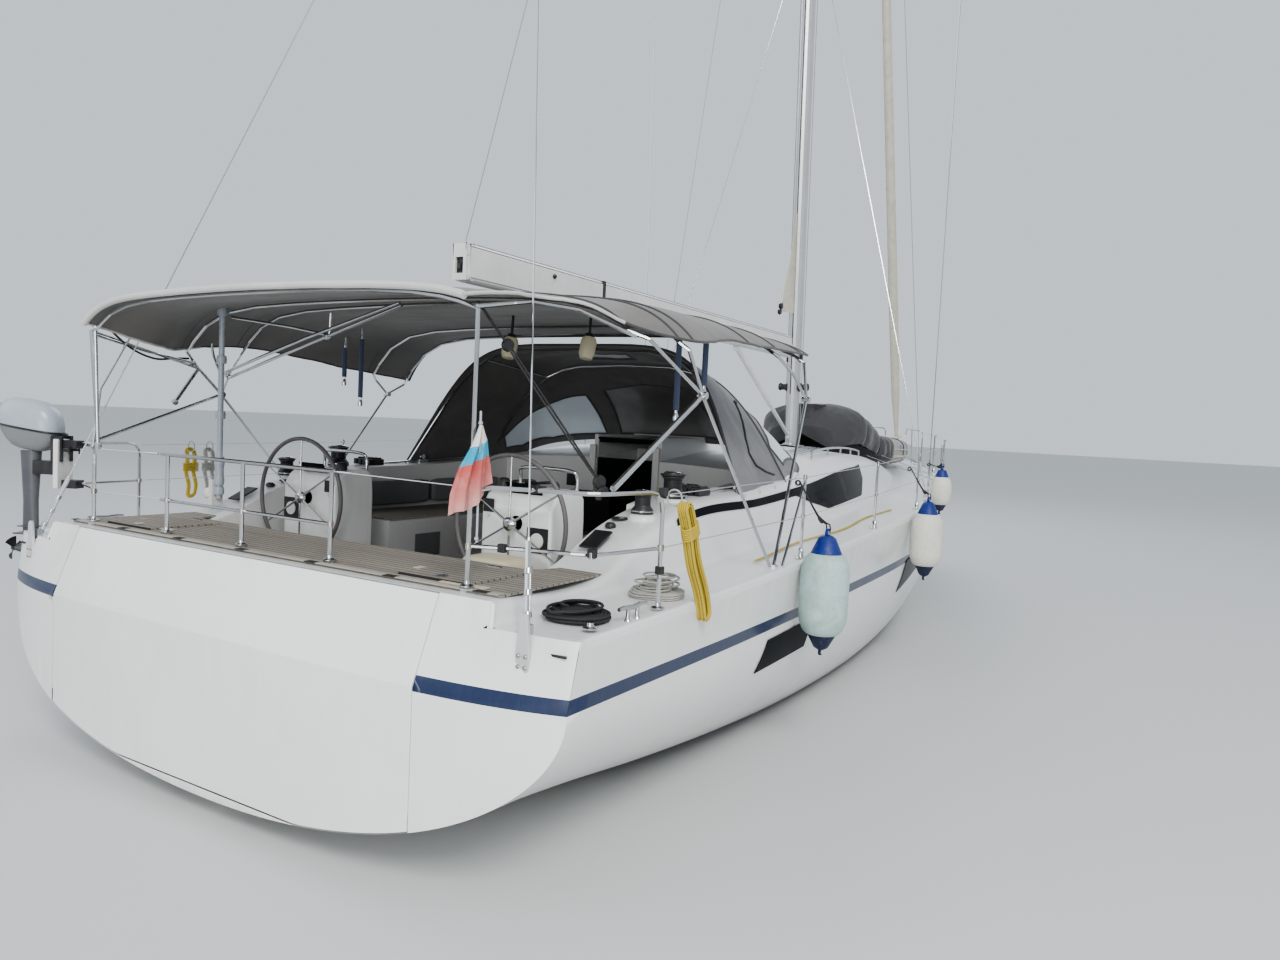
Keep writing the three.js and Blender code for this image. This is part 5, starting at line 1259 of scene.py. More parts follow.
@dataclass
class Hull:
    """Hull shell, transom and the platform that folds down from it."""

    length: float = 14.55
    hole_half: float = 1.638
    hole_low: float = 0.1735
    platform_half: float = 1.630
    platform_low: float = 0.178
    platform_top: float = 1.508
    thickness: float = 0.095

    def build(self) -> None:
        """Make every part of the hull."""
        self.shell()
        self.platform()
        self.windows()

    def shell(self) -> None:
        """Make the hull's skin with its transom and the recess behind the platform."""
        shell = Piece("hull_shell", Skin.HULL)
        places = [self.length * (i / 90) for i in range(91)]
        rings = []
        for x in places:
            half = hull_half(x)
            if x == 0:
                for p in half:
                    p.x = transom_x(p.y, p.z)
            other = [Vector((p.x, -p.y, p.z)) for p in half[-2::-1]]
            rings.append(half + other)
        shell.rings(rings, caps=False, around=False)
        for side in SIDES.values():
            self.quarter(shell, side)
        low_half = max(y for y in np.linspace(0, self.hole_half, 200) if hull_low(y) < self.hole_low)
        across = np.linspace(-low_half, low_half, 41)
        rows = []
        for t in (0.0, 0.5, 1.0):
            rows.append(
                [(transom_x(y, 0), y, hull_low(y) + (self.hole_low - hull_low(y)) * t) for y in across]
            )
        shell.cloth(rows)
        self.recess(shell)
        self.sills()
        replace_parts(shell.done(crease=28), "hull")

    def quarter(self, shell: Piece, side: float) -> None:
        """Add the transom's part outboard of the platform.

        Args:
            shell: The hull's skin.
            side: 1 to port, -1 to starboard.
        """
        edge_y, edge_z, chine_y, chine_z, keel_z = HULL_LINES(0)
        full = BILGE(0)[0]
        reach = math.acos((self.hole_half / chine_y) ** (full / 2))
        columns = []
        for i in range(25):
            angle = reach * i / 24
            y = chine_y * math.cos(angle) ** (2 / full)
            low = chine_z - (chine_z - keel_z) * math.sin(angle) ** (2 / full)
            column = []
            for t in np.linspace(0, 1, 15):
                z = low + (KNUCKLE_Z - low) * t
                column.append((transom_x(y, z), side * y, z))
            for t in np.linspace(0, 1, 7)[1:]:
                z = KNUCKLE_Z + (edge_z + TOE_HEIGHT * 0.9 - KNUCKLE_Z) * t
                out = y + (edge_y - chine_y) * t * (y / chine_y) ** 8
                column.append((transom_x(out, z), side * out, z))
            columns.append(column)
        shell.cloth(columns)
        side_y, _, wall_y, wall_z = DECK_LINES(0)[:4]
        top = edge_z + TOE_HEIGHT * 0.9
        inner = np.linspace(self.hole_half, wall_y, 8)
        rows = [[(transom_x(y, z), side * y, z) for y in inner] for z in np.linspace(top, wall_z + 0.004, 5)]
        shell.cloth(rows)
        shell.put(
            [(transom_x(y, z), side * y, z) for y, z in ((wall_y, top), (side_y, top), (wall_y, wall_z))],
            [(0, 1, 2)],
        )

    def sills(self) -> None:
        """Round off the transom's upper edge beside the after deck."""
        sill = Piece("quarter_sills", Skin.GELCOAT)
        top = HULL_LINES(0)[1] + 0.9 * TOE_HEIGHT
        for side in SIDES.values():
            rings = []
            for y in np.linspace(1.900, 2.462, 15):
                face = transom_x(y, top)
                ring = (
                    (face - 0.001, top - 0.03), (face + 0.001, top + 0.004), (face + 0.05, top + 0.004),
                    (face + 0.05, top - 0.03),
                )
                rings.append([(x, side * y, z) for x, z in ring])
            sill.rings(rings)
            side_y, _, wall_y, wall_z = DECK_LINES(0)[:4]
            ends = ((wall_y, wall_z - 0.006), (side_y, top))
            sill.tube([(transom_x(y, z) + 0.008, side * y, z) for y, z in ends], 0.013, 12)
        sill.done(bevel=0.002, crease=35)

    def recess(self, shell: Piece) -> None:
        """Add the wall behind the platform and the recess's rim.

        Args:
            shell: The hull's skin.
        """
        behind = 0.112
        across = np.linspace(-self.hole_half, self.hole_half, 31)
        heights = [*np.linspace(self.hole_low, KNUCKLE_Z, 8), 1.3, 1.51]
        rows = []
        for z in heights:
            rows.append([(transom_x(y, z) + behind, y, max(z, hull_low(y) + 0.03)) for y in across])
        shell.cloth(rows)
        for side in SIDES.values():
            y = side * self.hole_half
            rows = [[(transom_x(y, z) + d, y, z) for d in (0.0, behind)] for z in heights if z > hull_low(y)]
            shell.cloth(rows)
        top = [[(transom_x(y, 1.51) + d, y, 1.51) for y in across] for d in (0.0, behind)]
        shell.cloth(top)

    def platform(self) -> None:
        """Make the folding platform."""
        platform = Piece("swim_platform", Skin.GELCOAT, "transom_platform_body")
        columns = []
        for y in np.linspace(-self.platform_half, self.platform_half, 49):
            low = max(self.platform_low, hull_low(y) + 0.004)
            heights = [*np.linspace(low, KNUCKLE_Z, 12), *np.linspace(KNUCKLE_Z, self.platform_top, 6)[1:]]
            outer = [Vector((transom_x(y, z), y, z)) for z in heights]
            inner = [p + Vector((self.thickness, 0, 0)) for p in outer[::-1]]
            columns.append(outer + inner)
        platform.rings(columns)
        made = platform.done(bevel=0.006, crease=9, segments=2)
        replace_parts(made, "transom_platform")

    def side_patch(
        self, piece: Piece, outline: Sequence[tuple[float, float]], side: float, off: float
    ) -> None:
        """Add a thin patch that follows the hull's side.

        Args:
            piece: The piece it belongs to.
            outline: Four corners along and up, from the lower aft one round.
            side: 1 to port, -1 to starboard.
            off: How far it stands off the hull.
        """
        low_aft, low_fore, high_fore, high_aft = (Vector(p) for p in outline)
        rows = []
        for t in np.linspace(0, 1, 9):
            start, stop = low_aft.lerp(high_aft, t), low_fore.lerp(high_fore, t)
            row = []
            for s in np.linspace(0, 1, 13):
                spot = start.lerp(stop, s)
                row.append((spot.x, side * (self.side_y(spot.x, spot.y) + off), spot.y))
            rows.append(row)
        piece.cloth(rows, thick=0.004)

    @staticmethod
    def side_y(x: float, z: float) -> float:
        """Half width of the hull's side.

        Args:
            x: Place along.
            z: Height.

        Returns:
            The half width there.
        """
        half = hull_half(x, 60)
        for above, below in zip(half, half[1:]):
            if below.z <= z <= above.z:
                share = (above.z - z) / max(above.z - below.z, 1e-6)
                return above.y + (below.y - above.y) * share
        return half[0].y

    def windows(self) -> None:
        """Make the smoked windows of both sides, and the slots in the transom."""
        for name, side in SIDES.items():
            glass = Piece(f"hull_windows_{name}", Skin.SMOKED)
            self.side_patch(glass, [(2.19, 0.775), (3.12, 0.785), (3.17, 1.0), (2.30, 0.988)], side, 0.004)
            self.side_patch(glass, [(6.12, 0.765), (7.24, 0.90), (7.22, 1.145), (6.40, 1.07)], side, 0.004)
            glass.done(crease=60)
            slot = Piece(f"transom_slot_{name}", Skin.BLACK)
            y, z = side * 2.365, 1.318
            slot.box((-0.006, -0.048, -0.006), (0.006, 0.048, 0.006), at=(transom_x(y, z), y, z))
            slot.done()


def roof_patch(
    piece: Piece, outline: Sequence[tuple[float, float]], side: float, off: float, steps: int = 14
) -> None:
    """Add a thin dark strip to the coachroof's side.

    Args:
        piece: The piece it belongs to.
        outline: Place along, and the shares of the wall's height where the strip starts and ends.
        side: 1 to port, -1 to starboard.
        off: How far it stands off.
        steps: Stretches between two places.
    """
    rows = []
    known = np.array(outline, float)
    for x in np.linspace(known[0, 0], known[-1, 0], steps * (len(outline) - 1)):
        low = float(np.interp(x, known[:, 0], known[:, 1]))
        high = float(np.interp(x, known[:, 0], known[:, 2]))
        side_y, side_z, wall_y, wall_z = DECK_LINES(x)[:4]
        row = []
        for t in (low, (low + high) / 2, high):
            y, z = side_y + (wall_y - side_y) * t, side_z + (wall_z - side_z) * t
            row.append((x, side * (y + off), z))
        rows.append(row)
    piece.cloth(rows, thick=0.004)


# Cockpit gear
@dataclass
class Helm:
    """One steering position: console, wheel and its instruments."""

    name: str
    side: float
    x: float = 1.300
    y: float = 1.020
    z: float = 1.700
    radius: float = 0.450
    spokes: int = 6
    stitches: int = 96
    pod_aft: float = 1.372
    pod_fore: float = 1.760
    pod_low: float = 1.064
    pod_high: float = 1.930
    pod_inner: float = 0.720
    pod_outer: float = 1.300

    def build(self) -> None:
        """Make the helm."""
        self.wheel()
        self.console()

    def wheel(self) -> None:
        """Make the wheel with its leather rim, spokes and hub."""
        body, centre = f"wheel_{self.name}_body", Vector((self.x, self.side * self.y, self.z))
        rim = Piece(f"wheel_rim_{self.name}", Skin.WHEEL, body)
        circle = [(centre.x, centre.y + self.radius * math.cos(a), centre.z + self.radius * math.sin(a))
                  for a in np.linspace(0, math.tau, 73)]
        rim.tube(circle, 0.0155, 12)
        made = rim.done(crease=60)
        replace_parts(made, f"wheel_{self.name}")
        spokes = Piece(f"wheel_spokes_{self.name}", Skin.STEEL, body)
        for k in range(self.spokes):
            angle = math.pi / 2 + math.tau * k / self.spokes
            out = Vector((0, math.cos(angle), math.sin(angle)))
            spokes.tube([centre + 0.03 * out, centre + (self.radius - 0.004) * out], (0.0085, 0.0065), 10)
        spokes.turned(
            [
                (0.0, -0.026), (0.026, -0.026), (0.034, -0.02), (0.046, -0.012), (0.046, 0.012),
                (0.030, 0.03), (0.022, 0.066), (0.0, 0.066),
            ],
            centre, (1, 0, 0),
        )
        spokes.turned([(0.0, -0.034), (0.016, -0.034), (0.02, -0.026), (0.0, -0.026)], centre, (1, 0, 0))
        spokes.done(crease=40)
        stitch = Piece(f"wheel_stitching_{self.name}", Skin.ROPE_GREY, body)
        for k in range(self.stitches):
            angle = math.tau * k / self.stitches
            out = Vector((0, math.cos(angle), math.sin(angle)))
            spot = centre + (self.radius - 0.0152) * out
            stitch.tube([spot + Vector((-0.003, 0, 0)), spot + Vector((0.003, 0, 0))], 0.0009, 5)
        stitch.done()

    def console(self) -> None:
        """Make the console with its panels."""
        aft, fore, low, high = self.pod_aft, self.pod_fore, self.pod_low, self.pod_high
        inner, outer = self.pod_inner, self.pod_outer
        console = Piece(f"helm_pod_{self.name}", Skin.GELCOAT)
        outline = [
            (aft, low), (aft, 1.80), (aft + 0.05, 1.875), (aft + 0.15, high - 0.004),
            (fore - 0.06, high - 0.004), (fore - 0.01, 1.87), (fore, 1.72), (fore, low),
        ]
        console.plate(outline, "y", self.side * inner, self.side * outer)
        made = console.done(bevel=0.022, crease=28, segments=3)
        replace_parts(made, f"helm_console_{self.name}")
        face = aft - 0.003
        dials = Piece(f"helm_panels_{self.name}", Skin.BLACK)
        keypad = self.side * (inner + 0.065)
        dials.box((face - 0.004, keypad - 0.045, 1.755), (face + 0.002, keypad + 0.045, 1.845))
        gauge = self.side * (outer - 0.10)
        dials.box((face - 0.006, gauge - 0.085, 1.52), (face + 0.002, gauge + 0.085, 1.685))
        dials.turned([(0.05, 0), (0.052, 0.008), (0.0, 0.008)], (aft + 0.25, self.side * 1.01, high - 0.006))
        dials.turned([(0.0, 0.0), (0.042, 0.0), (0.040, 0.045), (0.030, 0.062), (0.0, 0.066)],
                     (aft + 0.13, self.side * 0.80, high - 0.012))
        dials.done(bevel=0.003, crease=40)
        ring = Piece(f"helm_gauge_{self.name}", Skin.WHITE)
        ring.turned(
            [(0.036, 0), (0.052, 0.0), (0.050, 0.007), (0.038, 0.007)], (face - 0.006, gauge, 1.60),
            (-1, 0, 0),
        )
        ring.turned(
            [(0, 0), (0.012, 0), (0.010, 0.012), (0, 0.012)], (face - 0.004, keypad, 1.735), (-1, 0, 0), 16
        )
        ring.turned(
            [(0.0, -0.0055), (0.045, -0.0055), (0.05, 0.0), (0.0, 0.0)], (aft, self.side * self.y, self.z),
            (-1, 0, 0),
        )
        ring.done(crease=40)
        screen = Piece(f"helm_screen_{self.name}", Skin.SMOKED)
        tilt = Matrix.Rotation(math.radians(-38), 3, "Y")
        screen.box((-0.006, -0.135, -0.085), (0.006, 0.135, 0.085), tilt, (1.452, self.side * 1.03, 1.895))
        screen.done(bevel=0.004)
        rail = Piece(f"helm_rail_{self.name}", Skin.STEEL)
        low_y, high_y = self.side * (inner + 0.05), self.side * (outer - 0.05)
        path = [(1.72, low_y, 1.90), (1.72, low_y, 2.0), (1.70, low_y + 0.05 * self.side, 2.05),
                (1.70, high_y - 0.05 * self.side, 2.05), (1.72, high_y, 2.0), (1.72, high_y, 1.90)]
        rail.tube(smooth_path(path, 0.02), 0.0125, 12)
        rail.done()


@dataclass
class Winch:
    """One coaming winch with a plinth."""

    name: str
    radius: float
    base: float = 0.16
    steps: int = 40

    def build(self) -> None:
        """Make the winch."""
        node = f"winch_{self.name}"
        low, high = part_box(node)
        at = ((low.x + high.x) / 2, (low.y + high.y) / 2, low.z)
        r, h = self.radius, high.z - low.z
        drum = Piece(f"drum_{self.name}", Skin.BLACK, f"{node}_body")
        grooves: list[tuple[float, float]] = []
        for k in range(7):
            height = 0.36 * h + 0.30 * h * k / 6
            grooves += [(0.70 * r, height), (0.73 * r, height + 0.012 * h), (0.70 * r, height + 0.024 * h)]
        profile = [(0, 0.001), (0.98 * r, 0.001), (r, 0.02 * h), (0.99 * r, 0.14 * h), (0.90 * r, 0.22 * h),
                   (0.76 * r, 0.30 * h), *grooves, (0.74 * r, 0.72 * h), (0.86 * r, 0.76 * h)]
        drum.turned(
            [*profile, (0.86 * r, 0.80 * h), (0.5 * r, 0.80 * h), (0, 0.80 * h)], at, steps=self.steps
        )
        drum.turned([(0.5 * r, 0.80 * h), (0.84 * r, 0.805 * h), (0.98 * r, 0.84 * h), (0.99 * r, 0.88 * h),
                     (0.84 * r, 0.90 * h), (0.5 * r, 0.90 * h)], at, steps=self.steps)
        made = drum.done(crease=32)
        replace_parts(made, node)
        cap = Piece(f"winch_cap_{self.name}", Skin.STEEL, f"{node}_body")
        top = [
            (0.0, 0.905 * h), (0.70 * r, 0.905 * h), (0.72 * r, 0.94 * h), (0.58 * r, 0.985 * h),
            (0.28 * r, h - 0.001),
        ]
        cap.turned([*top, (0.14 * r, h - 0.001), (0.13 * r, 0.95 * h), (0, 0.95 * h)], at, steps=32)
        cap.turned(
            [(0.985 * r, 0.08 * h), (r, 0.10 * h), (r, 0.12 * h), (0.985 * r, 0.14 * h)], at,
            steps=self.steps,
        )
        cap.done(crease=35)
        base = Piece(f"winch_plinth_{self.name}", Skin.DECK)
        base.turned(
            [
                (0, -self.base), (r + 0.04, -self.base), (r + 0.024, -0.03), (r + 0.012, -0.008),
                (r, -0.001), (0, -0.001),
            ],
            at, steps=self.steps,
        )
        base.done(crease=40)


@dataclass
class Cockpit:
    """Table top gear, bench panels, instruments and companionway."""

    tube: float = 0.0125
    vents: tuple[float, ...] = (2.30, 3.35)
    vent_length: float = 0.30
    slats: int = 6
    pads: tuple[tuple[float, float], ...] = ((2.12, 3.12), (3.16, 4.16))
    drawers: tuple[float, ...] = (2.66, 3.08, 3.42)
    way_half: float = 0.405
    dials: tuple[float, ...] = (-0.62, -0.78, 0.62)
    speakers: tuple[float, ...] = (-1.15, 1.15)
    panel_x: float = 1.30
    clutch_count: int = 4
    knobs: tuple[float, ...] = (1.12, 1.44)
    car_x: float = 3.30

    def build(self) -> None:
        """Make all of it."""
        self.table()
        self.benches()
        self.companionway()
        self.coaming_panels()
        self.quarter_seat()

    def table(self) -> None:
        """Put fiddles, grab bars and drawer lines on the table."""
        bars = Piece("table_grab_bars", Skin.STEEL)
        for side in SIDES.values():
            y = side * 0.12
            path = [
                (2.70, y, 1.738), (2.70, y, 1.81), (2.76, y, 1.845), (3.02, y, 1.845), (3.08, y, 1.81),
                (3.08, y, 1.738),
            ]
            bars.tube(smooth_path(path, 0.02), self.tube, 12)
        bars.tube(
            smooth_path(
                [
                    (2.53, -0.15, 1.35), (2.49, -0.15, 1.42), (2.49, -0.15, 1.72), (2.52, -0.12, 1.79),
                    (2.52, 0.12, 1.79), (2.49, 0.15, 1.72), (2.49, 0.15, 1.42), (2.53, 0.15, 1.35),
                ],
                0.03,
            ),
            0.014, 12,
        )
        bars.done()
        foot = Piece("table_panels", Skin.TEAK_JOINERY)
        for side in SIDES.values():
            for start in self.drawers:
                foot.box((start, side * 0.171, 1.12), (start + 0.28, side * 0.178, 1.38))
        foot.box((2.612, -0.14, 1.14), (2.621, 0.14, 1.42))
        foot.done(bevel=0.004)

    def benches(self) -> None:
        """Put vents and cushions on the benches."""
        vents = Piece("bench_vents", Skin.GREY)
        for side in SIDES.values():
            y = side * (BENCH_EDGE - 0.003)
            for start in self.vents:
                vents.box((start, y - 0.004, 1.16), (start + self.vent_length, y + 0.004, 1.36))
                for k in range(self.slats):
                    z = 1.18 + 0.028 * k
                    stop = start + self.vent_length - 0.02
                    vents.box((start + 0.02, y - 0.008, z), (stop, y + 0.008, z + 0.008))
        vents.done(bevel=0.002)
        backs = Piece("bench_back_pads", Skin.GREY)
        for side in SIDES.values():
            for start, stop in self.pads:
                self.cushion(backs, (start, 1.41, 1.54), (stop, 1.47, 1.76), side)
        backs.done(crease=60)

    @staticmethod
    def cushion(piece: Piece, low: Point, high: Point, side: float) -> None:
        """Add one softly filled pad.

        Args:
            piece: The piece it belongs to.
            low: Its lowest corner, to port.
            high: Its highest corner, to port.
            side: 1 to port, -1 to starboard.
        """
        centre = (vec(low) + vec(high)) / 2
        half = (vec(high) - vec(low)) / 2
        rings = []
        for level in np.linspace(-1, 1, 11):
            shrink = (1 - abs(level) ** 6) ** (1 / 3) if abs(level) < 1 else 0.12
            ring = []
            for k in range(40):
                a = math.tau * k / 40
                c, s = math.cos(a), math.sin(a)
                px = math.copysign(abs(c) ** 0.25, c) * half.x * (0.90 + 0.10 * shrink)
                pz = math.copysign(abs(s) ** 0.25, s) * half.z * (0.80 + 0.20 * shrink)
                ring.append((centre.x + px, side * (centre.y + half.y * level), centre.z + pz))
            rings.append(ring)
        piece.rings(rings)

    def companionway(self) -> None:
        """Make the washboard, steps and instruments round the way below."""
        board = Piece("washboard", Skin.SMOKED)
        board.box((4.360, -0.322, 0.98), (4.372, 0.322, 2.03))
        board.done(bevel=0.003)
        frame = Piece("companionway_frame", Skin.LINER)
        for side in SIDES.values():
            frame.box((4.318, side * 0.332, 1.07), (4.350, side * self.way_half, 2.16))
        frame.box((4.318, -self.way_half, 1.066), (4.350, self.way_half, 1.10))
        frame.done(bevel=0.012, segments=3)
        dials = Piece("bulkhead_instruments", Skin.BLACK)
        for y in self.dials:
            dials.box((4.335, y - 0.06, 1.72), (4.349, y + 0.06, 1.84))
            dials.turned([(0.0, 0), (0.045, 0), (0.043, 0.008), (0, 0.008)], (4.335, y, 1.78), (-1, 0, 0), 24)
        for y in self.speakers:
            dials.turned(
                [(0.0, 0), (0.085, 0), (0.085, 0.01), (0.07, 0.016), (0.0, 0.012)], (4.349, y, 1.66),
                (-1, 0, 0), 32,
            )
        dials.done(bevel=0.003, crease=40)
        steps = Piece("companion_steps", Skin.TEAK_JOINERY)
        for k in range(2):
            steps.box((4.42 + 0.26 * k, -0.28, 0.98 - 0.13 * k), (4.62 + 0.26 * k, 0.28, 1.01 - 0.13 * k))
        steps.done(bevel=0.004)
        slats = Piece("garage_cover", Skin.DECK)
        slats.box((5.185, -0.41, 2.262), (5.975, 0.41, 2.276))
        for side in SIDES.values():
            slats.box((4.395, side * 0.345, 2.0), (5.965, side * 0.395, 2.262))
        slats.box((5.93, -0.40, 2.12), (5.965, 0.40, 2.27))
        slats.done(bevel=0.01, segments=3)

    def coaming_panels(self) -> None:
        """Put switch panels, knobs, clutches and cup holders on the coamings."""
        dark = Piece("coaming_panels", Skin.BLACK)
        tilt = Matrix.Rotation(math.radians(-26), 3, "Y")
        for side in SIDES.values():
            top = Deck.roof(self.panel_x, 1.66) + 0.02
            dark.box((-0.10, -0.065, 0), (0.10, 0.065, 0.014), tilt, (self.panel_x, side * 1.70, top + 0.02))
            dark.turned([(0.0, 0), (0.036, 0), (0.036, 0.018), (0.024, 0.034), (0, 0.036)],
                        (1.52, side * 1.66, Deck.roof(1.52, 1.66) + 0.004), (0, 0, 1), 24)
            dark.turned([(0.0, 0), (0.055, 0), (0.06, 0.012), (0.044, 0.016), (0.04, 0.006), (0, 0.006)],
                        (1.66, side * 1.64, Deck.roof(1.66, 1.64) + 0.004), (0, 0, 1), 28)
            for k in range(self.clutch_count):
                y = side * (1.60 + 0.055 * k)
                z = Deck.roof(2.56, 1.68) + 0.006
                dark.box((2.50, y - 0.020, z), (2.68, y + 0.020, z + 0.052))
                dark.box((2.54, y - 0.010, z + 0.05), (2.66, y + 0.010, z + 0.066))
        dark.done(bevel=0.006, crease=40)
        steel = Piece("coaming_fittings", Skin.STEEL)
        for side in SIDES.values():
            for x in self.knobs:
                z = Deck.roof(x, 1.75)
                steel.turned(
                    stub(0.03, 0.006), (x, side * 1.88, z - 0.05),
                    (0, side, 0.4), 20,
                )
            z = Deck.roof(3.1, 1.7) + 0.006
            track = [(2.80, side * 1.72, z), (4.05, side * 1.68, Deck.roof(4.05, 1.66) + 0.008)]
            steel.tube(track, 0.011, 8)
            x = self.car_x
            z = Deck.roof(x, 1.7)
            steel.box((x - 0.06, side * 1.70 - 0.022, z), (x + 0.06, side * 1.70 + 0.022, z + 0.035))
            steel.turned(
                sheave(0.028, 0.02, 0.014),
                (x, side * 1.70, z + 0.06), (0, 1, 0), 20,
            )
        steel.done(bevel=0.003, crease=40)

    def quarter_seat(self) -> None:
        """Put a folded cream cover beside the starboard helm."""
        cover = Piece("quarter_cushion", Skin.CREAM)
        self.cushion(cover, (0.94, 0.90, 1.09), (1.22, 1.30, 1.52), -1)
        cover.done(crease=70)


@dataclass
class Deckwork:
    """Windows, rails and fittings of the deck."""

    hatches: tuple[tuple[float, float, float], ...] = (
        (8.35, 0.26, 0.0), (5.9, 0.16, 0.85), (5.9, 0.16, -0.85), (9.35, 0.2, 0.0)
    )
    rail_start: float = 5.75
    rail_stop: float = 8.95
    rail_rise: float = 0.085
    rail_radius: float = 0.0125
    margin_half: float = 1.93
    margin_width: float = 0.045
    drains: tuple[tuple[float, float], ...] = ((0.20, -1.62), (0.42, -1.22), (0.30, 1.2), (0.48, 1.55))
    cleats: tuple[tuple[float, str], ...] = ((0.60, "cleat_aft"), (13.35, "cleat_bow"))
    horn_half: float = 0.135
    fairlead_x: float = 7.15
    line_count: int = 4
    strap_start: float = 2.55
    strap_stop: float = 6.4

    def build(self) -> None:
        """Make all of it."""
        self.side_windows()
        self.handrails()
        self.teak_edge()
        self.chocks()
        self.halyard_organisers()
        self.deck_lines()

    def side_windows(self) -> None:
        """Make the dark bands of the coachroof, and its small hatches."""
        band = [
            (1.92, 0.86, 1.0), (3.0, 0.83, 0.99), (4.30, 0.80, 0.98), (4.75, 0.50, 0.96), (5.2, 0.25, 0.95),
            (6.70, 0.22, 0.94), (7.02, 0.60, 0.98),
        ]
        for name, side in SIDES.items():
            glass = Piece(f"coachroof_window_{name}", Skin.SMOKED)
            roof_patch(glass, band, side, 0.007)
            glass.done(crease=60)
        ports = Piece("deck_hatches", Skin.SMOKED)
        for x, half, y in self.hatches:
            z = Deck.roof(x, y) - 0.006
            tilt = facing((-(Deck.roof(x + 0.2, y) - Deck.roof(x - 0.2, y)) / 0.4,
                           -(Deck.roof(x, y + 0.2) - Deck.roof(x, y - 0.2)) / 0.4, 1), (0, 1, 0))
            ports.box((-half, -half, 0), (half, half, 0.028), tilt, (x, y, z))
        ports.done(bevel=0.012, segments=3)

    def handrails(self) -> None:
        """Make the grab rails on the coachroof."""
        rails = Piece("coachroof_grab_rails", Skin.STEEL)
        for side in SIDES.values():
            line = []
            for x in np.linspace(self.rail_start, self.rail_stop, 9):
                roof_y, roof_z = DECK_LINES(x)[4:6]
                line.append(Vector((x, side * (roof_y - 0.08), roof_z + self.rail_rise)))
            rails.tube(smooth_path(line, 0.08), self.rail_radius, 12)
            for p in line[::2]:
                rails.tube([p, (p.x + 0.004, p.y, p.z - 0.09)], 0.011, 10)
        rails.done()

    def teak_edge(self) -> None:
        """Lay the pale margin, plates and drains along the after deck."""
        margin = Piece("teak_margin", Skin.TEAK_PALE)
        rows = []
        for y in np.linspace(-self.margin_half, self.margin_half, 41):
            x = transom_x(y, 1.52) + 0.085
            rows.append([(x, y, 1.5235), (x + self.margin_width, y, 1.5235)])
        margin.cloth(rows, thick=0.004)
        margin.done()
        plates = Piece("teak_plates", Skin.CREAM)
        for x, y in self.drains:
            plates.box((x - 0.03, y - 0.15, 1.5205), (x + 0.03, y + 0.15, 1.5262))
        plates.done(bevel=0.002)

    def chocks(self) -> None:
        """Make cleats and fairleads along the toe rail."""
        steel = Piece("mooring_cleats", Skin.STEEL)
        for side in SIDES.values():
            for x, node in self.cleats:
                name = f"{node}_{'port' if side > 0 else 'starboard'}"
                low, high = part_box(name)
                y = (low.y + high.y) / 2
                reach = self.horn_half
                horn = [(x - reach, y, high.z - 0.012), (x - 0.08, y, high.z - 0.010), (x, y, high.z - 0.016),
                        (x + 0.08, y, high.z - 0.010), (x + reach, y, high.z - 0.012)]
                path = smooth_path(horn, 0.015)
                radii = [0.0095 + 0.004 * math.cos(math.pi * (p.x - x) / 0.30) for p in path]
                steel.tube(path, radii, 12)
                for dx in (-0.045, 0.045):
                    steel.turned([(0.020, 0), (0.013, 0.012), (0.010, 0.04), (0.012, high.z - low.z - 0.012)],
                                 (x + dx, y, low.z + 0.001), (0, 0, 1), 16)
            x = self.fairlead_x
            y = HULL_LINES(x)[0] - 0.026
            z = HULL_LINES(x)[1] + TOE_HEIGHT
            steel.tube(
                smooth_path(
                    [
                        (x - 0.13, side * y, z + 0.05), (x, side * y, z + 0.045),
                        (x + 0.13, side * y, z + 0.05),
                    ],
                    0.02,
                ),
                0.011,
            )
            for dx in (-0.04, 0.04):
                steel.tube([(x + dx, side * y, z - 0.002), (x + dx, side * y, z + 0.045)], 0.010)
        made = steel.done(crease=50)
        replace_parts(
                made, "cleat_aft_port", "cleat_aft_starboard", "cleat_bow_port", "cleat_bow_starboard"
            )

    def halyard_organisers(self) -> None:
        """Make the blocks at the mast foot and the lines that lead aft from it."""
        blocks = Piece("mast_foot_blocks", Skin.BLACK)
        lines = Piece("control_lines", Skin.ROPE_GREY)
        for side in SIDES.values():
            for k in range(self.line_count):
                y0, y1 = side * (0.17 + 0.05 * k), side * (0.75 + 0.055 * k)
                x0, x1 = 8.55, 7.6
                z0, z1 = Deck.roof(x0, abs(y0)) + 0.03, Deck.roof(x1, abs(y1)) + 0.03
                blocks.turned(
                    disc(0.03, 0.012), (x1, y1, z1), (0, 0, 1), 16
                )
                x2 = 5.9
                y2 = side * (1.08 + 0.055 * k)
                lines.tube(
                    [
                        (x0, y0, z0), (x1, y1, z1 + 0.006),
                        (6.8, (y1 + y2) / 2, Deck.roof(6.8, abs(y1 + y2) / 2) + 0.03),
                        (x2, y2, Deck.roof(x2, abs(y2)) + 0.028),
                    ],
                    0.0055, 8,
                )
        blocks.done(crease=40)
        lines.done()

    def deck_lines(self) -> None:
        """Lay the yellow line along the starboard side deck."""
        line = Piece("side_deck_strap", Skin.ROPE_YELLOW)
        path = []
        for x in np.linspace(self.strap_start, self.strap_stop, 16):
            edge_y, edge_z = HULL_LINES(x)[:2]
            path.append((x, -(edge_y - 0.30 + 0.03 * math.sin(3.1 * x)), edge_z + 0.047 + 0.012))
        rows = [
            [(x, y - 0.012, z - 0.006), (x, y + 0.012, z - 0.005)]
            for x, y, z in map(tuple, smooth_path(path, 0.06))
        ]
        line.cloth(rows, thick=0.003)
        line.done()


